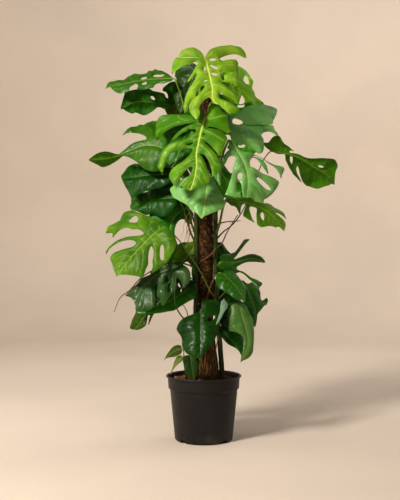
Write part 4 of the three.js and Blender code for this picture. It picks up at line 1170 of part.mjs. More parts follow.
/** One leaf: the two halves of its blade along the midrib, and its stalk, as one solid. */
function leafSolid(leaf) {
  const tip = leaf.mid[leaf.mid.length - 1];
  let end = 1;
  leaf.out.forEach((p, i) => {
    if (i && Math.hypot(p[0] - tip[0], p[1] - tip[1]) < Math.hypot(leaf.out[end][0] - tip[0], leaf.out[end][1] - tip[1])) end = i;
  });
  const kept = thin(leaf.out, leaf.trim ?? TRIM, [0, end]);
  const first = kept.filter((i) => i <= end).map((i) => leaf.out[i]);
  const second = kept.filter((i) => i >= end).map((i) => leaf.out[i]);
  const rib = leaf.mid.slice(1, -1);
  const sides = [
    [...first, ...[...rib].reverse()],
    [...second, leaf.out[0], ...rib],
  ];
  const inside = (poly, [x, y]) => {
    let c = false;
    for (let i = 0, j = poly.length - 1; i < poly.length; j = i++) {
      if (poly[i][1] > y !== poly[j][1] > y && x < ((poly[j][0] - poly[i][0]) * (y - poly[i][1])) / (poly[j][1] - poly[i][1]) + poly[i][0]) c = !c;
    }
    return c;
  };
  const [o, along, across, face] = [leaf.at, leaf.along, leaf.across, leaf.face].map(V3);
  let body = null;
  for (const side of sides) {
    const wind = (ring, clockwise) => {
      const v = ring.map((p) => new THREE.Vector2(p[0], p[1]));
      return THREE.ShapeUtils.isClockWise(v) === clockwise ? v : v.reverse();
    };
    const shape = new THREE.Shape(wind(side, false));
    for (const hole of leaf.holes) {
      if (Math.abs(THREE.ShapeUtils.area(hole.map((p) => ({ x: p[0], y: p[1] })))) < SMALL_HOLE) continue;
      const c = hole.reduce((s, p) => [s[0] + p[0] / hole.length, s[1] + p[1] / hole.length], [0, 0]);
      if (inside(side, c)) shape.holes.push(new THREE.Path(wind(hole, true)));
    }
    const flat = new THREE.ExtrudeGeometry(shape, { depth: BLADE, bevelEnabled: false, steps: 1, curveSegments: 1 });
    const g = splitLong(flat, EDGE);
    const p = g.attributes.position;
    for (let i = 0; i < p.count; i++) {
      const [u, v, t] = [p.getX(i), p.getY(i), p.getZ(i) - BLADE / 2];
      const q = o.clone().addScaledVector(along, u).addScaledVector(across, v).addScaledVector(face, lift(leaf, u, v) + t);
      p.setXYZ(i, q.x, q.y, q.z);
    }
    const half = solid(g);
    body = body ? body.add(half) : half;
  }
  const stalk = tube(leaf.stalk, leaf.small ? [3, 2.2, 1.8, 1.2] : [6.2, 5, 4.2, 3.8, 2.4], 5, leaf.small ? 5 : leaf.stalk.length > 10 ? 11 : 7);
  return body.add(stalk);
}

/** A cylinder of POT's kind from a profile of [radius, z] pairs that starts and ends on the axis. */
function turned(profile, sides, x = 0, y = 0) {
  const g = new THREE.LatheGeometry(profile.map(([r, z]) => new THREE.Vector2(r, z)), sides);
  g.rotateX(Math.PI / 2);
  g.translate(x, y, 0);
  return solid(g);
}

/** The faces of the largest connected piece of a geometry, without the crumbs that a cut can leave. */
function largest(geometry) {
  const index = geometry.index.array;
  const parent = Array.from({ length: geometry.attributes.position.count }, (_, i) => i);
  const find = (i) => {
    while (parent[i] !== i) i = parent[i] = parent[parent[i]];
    return i;
  };
  for (let i = 0; i < index.length; i += 3) {
    parent[find(index[i])] = find(index[i + 1]);
    parent[find(index[i + 1])] = find(index[i + 2]);
  }
  const volumes = new Map();
  const [a, b, c] = [new THREE.Vector3(), new THREE.Vector3(), new THREE.Vector3()];
  for (let i = 0; i < index.length; i += 3) {
    [a, b, c].forEach((v, k) => v.fromBufferAttribute(geometry.attributes.position, index[i + k]));
    const r = find(index[i]);
    volumes.set(r, (volumes.get(r) ?? 0) + a.dot(b.cross(c)) / 6);
  }
  const best = [...volumes].sort((x, y) => y[1] - x[1])[0][0];
  const kept = [];
  for (let i = 0; i < index.length; i += 3) if (find(index[i]) === best) kept.push(index[i], index[i + 1], index[i + 2]);
  const out = new THREE.BufferGeometry();
  out.setAttribute("position", geometry.attributes.position.clone());
  out.setIndex(kept);
  const clean = mergeVertices(out, 1e-5);
  clean.computeVertexNormals();
  return clean;
}

const group = new THREE.Group();
function add(name, body, colour, roughness, metalness = 0) {
  const geometry = largest(surface(body));
  const mesh = new THREE.Mesh(geometry, new THREE.MeshStandardMaterial({ color: colour, roughness, metalness }));
  mesh.name = name;
  group.add(mesh);
}

// ---------------------------------------------------------------- pot
const w = POT.wall;
let pot = turned(
  [
    [0, 0],
    [POT.footRadius, 0],
    [POT.bodyBottom, POT.bodyBottomZ],
    [POT.bodyTop, POT.collarBottomZ - 1.5],
    [POT.collarBottom, POT.collarBottomZ],
    [POT.collarTop, POT.height - 7],
    [POT.rimRadius - 0.4, POT.height - 5.5],
    [POT.rimRadius, POT.height - 1.6],
    [POT.rimRadius - 4, POT.height],
    [POT.collarTop - w, POT.height - 2],
    [POT.collarBottom - w, POT.collarBottomZ + 1],
    [POT.bodyTop - w, POT.collarBottomZ - 2.5],
    [POT.bodyBottom - w, POT.bodyBottomZ],
    [POT.bodyBottom - w - 1, POT.floor],
    [0, POT.floor],
  ],
  POT.sides,
);
for (let i = 0; i < POT.notches; i++) {
  const box = new THREE.BoxGeometry(16, POT.notchWidth, POT.notchHeight + 4);
  box.translate(POT.bodyBottom - 1, 0, POT.notchHeight / 2 - 2);
  box.rotateZ(((i + 0.5) / POT.notches) * 2 * Math.PI);
  pot = pot.subtract(solid(box));
}

// ---------------------------------------------------------------- pole: a wooden core in a sleeve of coir
const coreSize = (grow) =>
  turned([[0, POLE.bottom - grow], [POLE.core + grow, POLE.bottom - grow], [POLE.core + grow, POLE.top], [0, POLE.top]], POLE.sides, POLE.x, POLE.y);
const sleeveSize = (grow) =>
  turned(
    [
      [0, POLE.coirBottom - grow],
      [POLE.radius - 2 + grow, POLE.coirBottom - grow],
      [POLE.radius + grow, POLE.coirBottom + 8],
      [POLE.radius + grow, POLE.coirTop - 6],
      [POLE.radius - 3 + grow, POLE.coirTop + grow],
      [0, POLE.coirTop + grow],
    ],
    POLE.sides,
    POLE.x,
    POLE.y,
  );

const stemSolid = (s, grow) => tube(s.path.map((p) => p.slice(0, 3)), s.path.map((p) => p[3]), 8, s.steps, grow);

// ---------------------------------------------------------------- soil
let soil = turned(
  [
    [0, SOIL.bottom],
    [POT.bodyBottom - w - 2.6, SOIL.bottom],
    [POT.bodyBottom - w - 0.5, POT.bodyBottomZ + 1],
    [POT.bodyTop - w - 0.6, POT.collarBottomZ - 2.5],
    [POT.collarBottom - w - 0.7, POT.collarBottomZ + 1.5],
    [POT.collarBottom - w + 0.8, SOIL.top],
    [80, SOIL.top + 2],
    [0, SOIL.crown],
  ],
  POT.sides,
);
soil = soil.subtract(coreSize(GAP)).subtract(sleeveSize(GAP));
for (const s of STEMS) soil = soil.subtract(stemSolid(s, GAP));

add("pot", pot, 0x26262a, 0.55);
add("soil", soil, 0x3a2418, 1);
add("pole_core", coreSize(0), 0x8a6a42, 0.8);
add("pole_coir", sleeveSize(0).subtract(coreSize(GAP)), 0x4a2a18, 1);

// ---------------------------------------------------------------- plant
const sleeve = sleeveSize(GAP);
const grown = {};
for (const s of STEMS) {
  let body = stemSolid(s, 0).subtract(sleeve);
  for (const other of s.behind ?? []) body = body.subtract(grown[other]);
  grown[s.name] = stemSolid(s, GAP);
  add(s.name, body, 0x3f6a24, 0.5);
}
for (const r of ROOTS) {
  let body = tube(r.path, r.radii, 5, r.steps);
  body = body.subtract(grown[r.stem]);
  if (r.pole) body = body.subtract(sleeve);
  add(r.name, body, 0x5a3a22, 0.8);
}
for (const leaf of LEAVES) {
  let body = leafSolid(leaf).subtract(grown[leaf.stem]);
  add(leaf.name, body, leaf.colour, 0.35);
}

export default group;
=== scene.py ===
import math

import bpy
import numpy as np
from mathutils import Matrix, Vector
from mathutils.geometry import delaunay_2d_cdt


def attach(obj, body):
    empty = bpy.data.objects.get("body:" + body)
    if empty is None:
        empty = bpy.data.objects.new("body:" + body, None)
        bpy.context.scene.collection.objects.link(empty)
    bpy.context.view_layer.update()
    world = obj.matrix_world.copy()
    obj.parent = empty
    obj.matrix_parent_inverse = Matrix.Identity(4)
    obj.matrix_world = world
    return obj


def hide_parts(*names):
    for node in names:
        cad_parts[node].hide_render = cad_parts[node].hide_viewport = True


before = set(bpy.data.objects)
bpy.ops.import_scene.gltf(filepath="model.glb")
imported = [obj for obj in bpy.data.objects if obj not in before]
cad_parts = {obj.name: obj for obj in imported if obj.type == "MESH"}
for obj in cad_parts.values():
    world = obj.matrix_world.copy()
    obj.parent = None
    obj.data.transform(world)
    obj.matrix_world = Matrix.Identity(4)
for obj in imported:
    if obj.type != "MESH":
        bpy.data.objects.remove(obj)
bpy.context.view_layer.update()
MM = 0.001

# ------------------------------------------------------------------ camera, light and stage
cam = bpy.data.objects.new("camera", bpy.data.cameras.new("camera"))
bpy.context.scene.collection.objects.link(cam)
cam.location = (-0.0135, -2.970, 0.680)
cam.rotation_euler = (math.radians(90), 0, 0)
cam.data.lens = 59.4
cam.data.sensor_width = 36
cam.data.clip_start, cam.data.clip_end = 0.05, 60
bpy.context.scene.camera = cam


def area(name, place, aim, size, energy, colour):
    d = bpy.data.lights.new(name, "AREA")
    d.shape = "DISK"
    d.size = size
    d.energy = energy
    d.color = colour
    o = bpy.data.objects.new(name, d)
    bpy.context.scene.collection.objects.link(o)
    o.location = place
    o.rotation_euler = (Vector(aim) - Vector(place)).to_track_quat("-Z", "Y").to_euler()
    o.visible_camera = False
    return o


area("key", (-2.2, -2.5, 2.9), (0.0, 0.0, 0.75), 0.8, 205, (1.0, 0.95, 0.88))
area("fill", (2.6, -2.6, 1.7), (0.0, 0.0, 0.7), 2.4, 8, (0.94, 0.97, 1.0))
area("top", (0.0, -0.1, 3.6), (0.0, 0.1, 0.9), 2.2, 5, (1.0, 0.99, 0.97))
area("left", (-2.7, 0.5, 1.3), (0.0, 0.0, 0.6), 1.6, 14, (1.0, 0.97, 0.93))
area("back_right", (2.5, 1.3, 2.3), (0.0, 0.0, 0.8), 1.6, 12, (1.0, 0.98, 0.95))
area("wall", (1.0, 1.6, 3.4), (0.6, 4.8, 1.2), 1.8, 60, (1.0, 0.98, 0.95))
bpy.context.scene.view_settings.view_transform = "Standard"
bpy.context.scene.view_settings.look = "None"
bpy.context.scene.view_settings.exposure = 0.08
bpy.context.scene.view_settings.gamma = 0.86
world = bpy.data.worlds.new("world")
bpy.context.scene.world = world
world.use_nodes = True
world.node_tree.nodes["Background"].inputs["Color"].default_value = (0.95, 0.97, 1.0, 1)
world.node_tree.nodes["Background"].inputs["Strength"].default_value = 0.12


# ------------------------------------------------------------------ material helpers
class Mat:
    """A small helper that builds one node material."""

    def __init__(self, name):
        self.m = bpy.data.materials.new(name)
        self.m.use_nodes = True
        self.t = self.m.node_tree
        self.t.nodes.clear()
        self.out = self.t.nodes.new("ShaderNodeOutputMaterial")

    def node(self, kind, **props):
        n = self.t.nodes.new("ShaderNode" + kind)
        for k, v in props.items():
            setattr(n, k, v)
        return n

    def put(self, socket, value):
        if isinstance(value, bpy.types.NodeSocket):
            self.t.links.new(value, socket)
        elif value is not None:
            socket.default_value = value
        return socket

    def math(self, op, a, b=None, c=None, clamp=False):
        n = self.node("Math", operation=op, use_clamp=clamp)
        for i, x in enumerate((a, b, c)):
            self.put(n.inputs[i], x)
        return n.outputs[0]

    def attr(self, name):
        return self.node("Attribute", attribute_name=name).outputs["Fac"]

    def ramp(self, x, lo, hi, a=0.0, b=1.0):
        """Smooth step of x between lo and hi, from a to b."""
        n = self.node("MapRange", interpolation_type="SMOOTHSTEP", clamp=True)
        self.put(n.inputs["Value"], x)
        n.inputs["From Min"].default_value = lo
        n.inputs["From Max"].default_value = hi
        n.inputs["To Min"].default_value = a
        n.inputs["To Max"].default_value = b
        return n.outputs["Result"]

    def mix(self, f, a, b):
        n = self.t.nodes.new("ShaderNodeMix")
        n.data_type = "RGBA"
        self.put(n.inputs[0], f)
        self.put(n.inputs[6], (*a, 1) if isinstance(a, tuple) and len(a) == 3 else a)
        self.put(n.inputs[7], (*b, 1) if isinstance(b, tuple) and len(b) == 3 else b)
        return n.outputs[2]

    def scale(self, colour, by):
        n = self.node("VectorMath", operation="SCALE")
        self.put(n.inputs[0], colour)
        self.put(n.inputs["Scale"], by)
        return n.outputs[0]

    def coords(self, scale=(1, 1, 1)):
        n = self.node("TexCoord").outputs["Object"]
        if scale == (1, 1, 1):
            return n
        mp = self.node("Mapping")
        self.put(mp.inputs["Vector"], n)
        mp.inputs["Scale"].default_value = scale
        return mp.outputs[0]

    def noise(self, where, scale, detail=2.0, rough=0.5, distort=0.0):
        n = self.node("TexNoise")
        self.put(n.inputs["Vector"], where)
        n.inputs["Scale"].default_value = scale
        n.inputs["Detail"].default_value = detail
        n.inputs["Roughness"].default_value = rough
        n.inputs["Distortion"].default_value = distort
        return n.outputs["Fac"]

    def voronoi(self, where, scale, feature="F1", rand=1.0):
        n = self.node("TexVoronoi", feature=feature)
        self.put(n.inputs["Vector"], where)
        n.inputs["Scale"].default_value = scale
        n.inputs["Randomness"].default_value = rand
        return n.outputs["Distance"]

    def bump(self, height, strength, distance, normal=None):
        n = self.node("Bump")
        n.inputs["Strength"].default_value = strength
        n.inputs["Distance"].default_value = distance
        self.put(n.inputs["Height"], height)
        if normal is not None:
            self.put(n.inputs["Normal"], normal)
        return n.outputs["Normal"]

    def principled(self, colour, rough, normal=None, **flat):
        n = self.node("BsdfPrincipled")
        self.put(n.inputs["Base Color"], (*colour, 1) if isinstance(colour, tuple) else colour)
        self.put(n.inputs["Roughness"], rough)
        if normal is not None:
            self.put(n.inputs["Normal"], normal)
        for k, v in flat.items():
            n.inputs[k.replace("_", " ")].default_value = v
        return n.outputs[0]

    def done(self, shader):
        self.t.links.new(shader, self.out.inputs["Surface"])
        return self.m


# ------------------------------------------------------------------ stage: a plain pale floor that curves up all round
def stage():
    prof = [(0.35 * k, 0.0) for k in range(1, 10)]
    for i in range(17):
        a = math.pi / 2 * i / 16
        prof.append((3.4 + 1.4 * math.sin(a), 1.4 - 1.4 * math.cos(a)))
    prof += [(4.8, 3.0), (4.8, 4.6)]
    n = 96
    v, f = [(0.0, 0.0, 0.0)], []
    for r, z in prof:
        v += [(r * math.cos(2 * math.pi * k / n), r * math.sin(2 * math.pi * k / n), z) for k in range(n)]
    f += [(0, 1 + k, 1 + (k + 1) % n) for k in range(n)]
    for i in range(len(prof) - 1):
        b = 1 + i * n
        f += [(b + k, b + n + k, b + n + (k + 1) % n, b + (k + 1) % n) for k in range(n)]
    me = bpy.data.meshes.new("backdrop")
    me.from_pydata(v, [], f)
    me.polygons.foreach_set("use_smooth", [True] * len(f))
    o = bpy.data.objects.new("backdrop", me)
    bpy.context.scene.collection.objects.link(o)
    m = Mat("backdrop")
    c = m.coords()
    n = m.noise(c, 1.3, 3, 0.5)
    col = m.mix(m.ramp(n, 0.3, 0.7), (0.63, 0.55, 0.47), (0.67, 0.585, 0.50))
    o.data.materials.append(m.done(m.principled(col, 0.85, m.bump(m.noise(c, 60, 4, 0.6), 0.08, 0.01))))


stage()


# ------------------------------------------------------------------ mesh helpers
def new_object(name, verts, faces, mats, index=None, point=None, face=None, smooth=True, sharp=None):
    """A mesh object from arrays in millimetres. point and face are attributes, sharp a list of vertex pairs."""
    me = bpy.data.meshes.new(name)
    me.from_pydata((np.asarray(verts) * MM).tolist(), [], np.asarray(faces).tolist() if not isinstance(faces, list) else faces)
    me.update(calc_edges=True)
    for m in mats:
        me.materials.append(m)
    n = len(me.polygons)
    if index is not None:
        me.polygons.foreach_set("material_index", np.asarray(index, np.int32))
    me.polygons.foreach_set("use_smooth", np.full(n, smooth))
    for key, val in (point or {}).items():
        a = me.attributes.new(key, "FLOAT", "POINT")
        a.data.foreach_set("value", np.asarray(val, np.float32))
    for key, val in (face or {}).items():
        a = me.attributes.new(key, "FLOAT", "FACE")
        a.data.foreach_set("value", np.asarray(val, np.float32))
    if sharp is not None and len(sharp):
        e = np.zeros(len(me.edges) * 2, np.int32)
        me.edges.foreach_get("vertices", e)
        e = np.sort(e.reshape(-1, 2), 1).astype(np.int64)
        s = np.sort(np.asarray(sharp, np.int64), 1)
        k = len(me.vertices) + 1
        flag = np.isin(e[:, 0] * k + e[:, 1], s[:, 0] * k + s[:, 1])
        a = me.attributes.get("sharp_edge") or me.attributes.new("sharp_edge", "BOOLEAN", "EDGE")
        a.data.foreach_set("value", flag)
    me.update()
    o = bpy.data.objects.new(name, me)
    bpy.context.scene.collection.objects.link(o)
    return o


def settle(o, node):
    """The finished piece stands for its solid, in the one body."""
    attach(o, "root")
    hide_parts(node)
    return o


def waves(seed, count, longest, shortest, fall=1.0):
    """A smooth noise made of plane waves: a function of points in millimetres, about -1 to 1."""
    r = np.random.RandomState(seed)
    d = r.normal(size=(count, 3))
    d /= np.linalg.norm(d, axis=1)[:, None]
    length = np.exp(r.uniform(np.log(shortest), np.log(longest), count))
    k = d * (2 * np.pi / length)[:, None]
    ph = r.uniform(0, 2 * np.pi, count)
    amp = (length / longest) ** fall
    amp /= np.sqrt((amp**2).sum() / 2) * 1.6

    def f(p):
        out = np.zeros(len(p))
        for i in range(count):
            out += amp[i] * np.sin(p @ k[i] + ph[i])
        return out

    return f


def bezier_parts(P, closed):
    """Centripetal Catmull-Rom through P as cubic pieces."""
    P = np.asarray(P, float)
    n = len(P)
    if not closed:
        P = np.vstack([2 * P[0] - P[1], P, 2 * P[-1] - P[-2]])
    parts = []
    for i in range(n if closed else n - 1):
        if closed:
            p0, p1, p2, p3 = P[i - 1], P[i], P[(i + 1) % n], P[(i + 2) % n]
        else:
            p0, p1, p2, p3 = P[i], P[i + 1], P[i + 2], P[i + 3]
        d1, d2, d3 = (max(np.linalg.norm(b - a), 1e-5) ** 0.5 for a, b in ((p0, p1), (p1, p2), (p2, p3)))
        b1 = (d1 * d1 * p2 - d2 * d2 * p0 + (2 * d1 * d1 + 3 * d1 * d2 + d2 * d2) * p1) / (3 * d1 * (d1 + d2))
        b2 = (d3 * d3 * p1 - d2 * d2 * p3 + (2 * d3 * d3 + 3 * d3 * d2 + d2 * d2) * p2) / (3 * d3 * (d3 + d2))
        parts.append((p1, b1, b2, p2))
    return parts


def curve_points(P, step, closed=False):
    out = []
    for a, b, c, d in bezier_parts(P, closed):
        m = max(1, int(round(np.linalg.norm(d - a) / step)))
        t = (np.arange(m) / m)[:, None]
        out.append((1 - t) ** 3 * a + 3 * (1 - t) ** 2 * t * b + 3 * (1 - t) * t * t * c + t**3 * d)
    if not closed:
        out.append(np.asarray(P[-1], float)[None])
    return np.vstack(out)


def frames(C):
    """Tangents and two normals along a polyline, without twist."""
    T = np.gradient(C, axis=0)
    T /= np.linalg.norm(T, axis=1)[:, None] + 1e-12
    up = np.array([0.0, 0, 1]) if abs(T[0][2]) < 0.9 else np.array([0.0, 1, 0])
    n = up - T[0] * (T[0] @ up)
    n /= np.linalg.norm(n)
    N = [n]
    for i in range(1, len(C)):
        n = N[-1] - T[i] * (T[i] @ N[-1])
        n /= np.linalg.norm(n) + 1e-12
        N.append(n)
    N = np.array(N)
    return T, N, np.cross(T, N)


def tube(path, radius, sides, step, shape=None, flat_start=False):
    """A closed tube. radius(t) gives millimetres along t from 0 to 1; shape(t, angle) scales it."""
    C = curve_points(path, step)
    s = np.r_[0, np.cumsum(np.linalg.norm(np.diff(C, axis=0), axis=1))]
    t = s / s[-1]
    T, N, B = frames(C)
    r = np.asarray(radius(t), float)
    ang = np.arange(sides) * 2 * np.pi / sides
    k = shape(t[:, None], ang[None, :], s[:, None]) if shape else np.ones((len(t), sides))
    V = C[:, None, :] + (r[:, None] * k)[..., None] * (np.cos(ang)[None, :, None] * N[:, None, :] + np.sin(ang)[None, :, None] * B[:, None, :])
    n = len(t)
    V = V.reshape(-1, 3)
    i = np.arange(n - 1)[:, None] * sides
    j = np.arange(sides)[None, :]
    jn = (j + 1) % sides
    a, b, c, d = (i + j).ravel(), (i + jn).ravel(), (i + sides + jn).ravel(), (i + sides + j).ravel()
    F = np.vstack([np.c_[a, b, c], np.c_[a, c, d]])
    # rounded ends
    V = np.vstack([V, C[0] - T[0] * r[0] * 0.4, C[-1] + T[-1] * r[-1] * 0.6])
    j = np.arange(sides)
    jn = (j + 1) % sides
    e = (n - 1) * sides
    F = np.vstack([F, np.c_[np.full(sides, n * sides), jn, j], np.c_[np.full(sides, n * sides + 1), e + j, e + jn]])
    tt = np.r_[np.repeat(t, sides), 0, 1]
    aa = np.r_[np.tile(ang, n), 0, 0]
    return V, F, tt, aa, np.r_[np.repeat(s, sides), 0, s[-1]]


def join(parts):
    """Joins (verts, faces) lists; returns both and the first vertex of each."""
    base, V, F, first = 0, [], [], []
    for v, f in parts:
        V.append(v)
        F.append(np.asarray(f) + base)
        first.append(base)
        base += len(v)
    return np.vstack(V), np.vstack(F), first


def smooth01(x, a, b):
    t = np.clip((x - a) / (b - a), 0, 1)
    return t * t * (3 - 2 * t)


# ------------------------------------------------------------------ tables, in millimetres

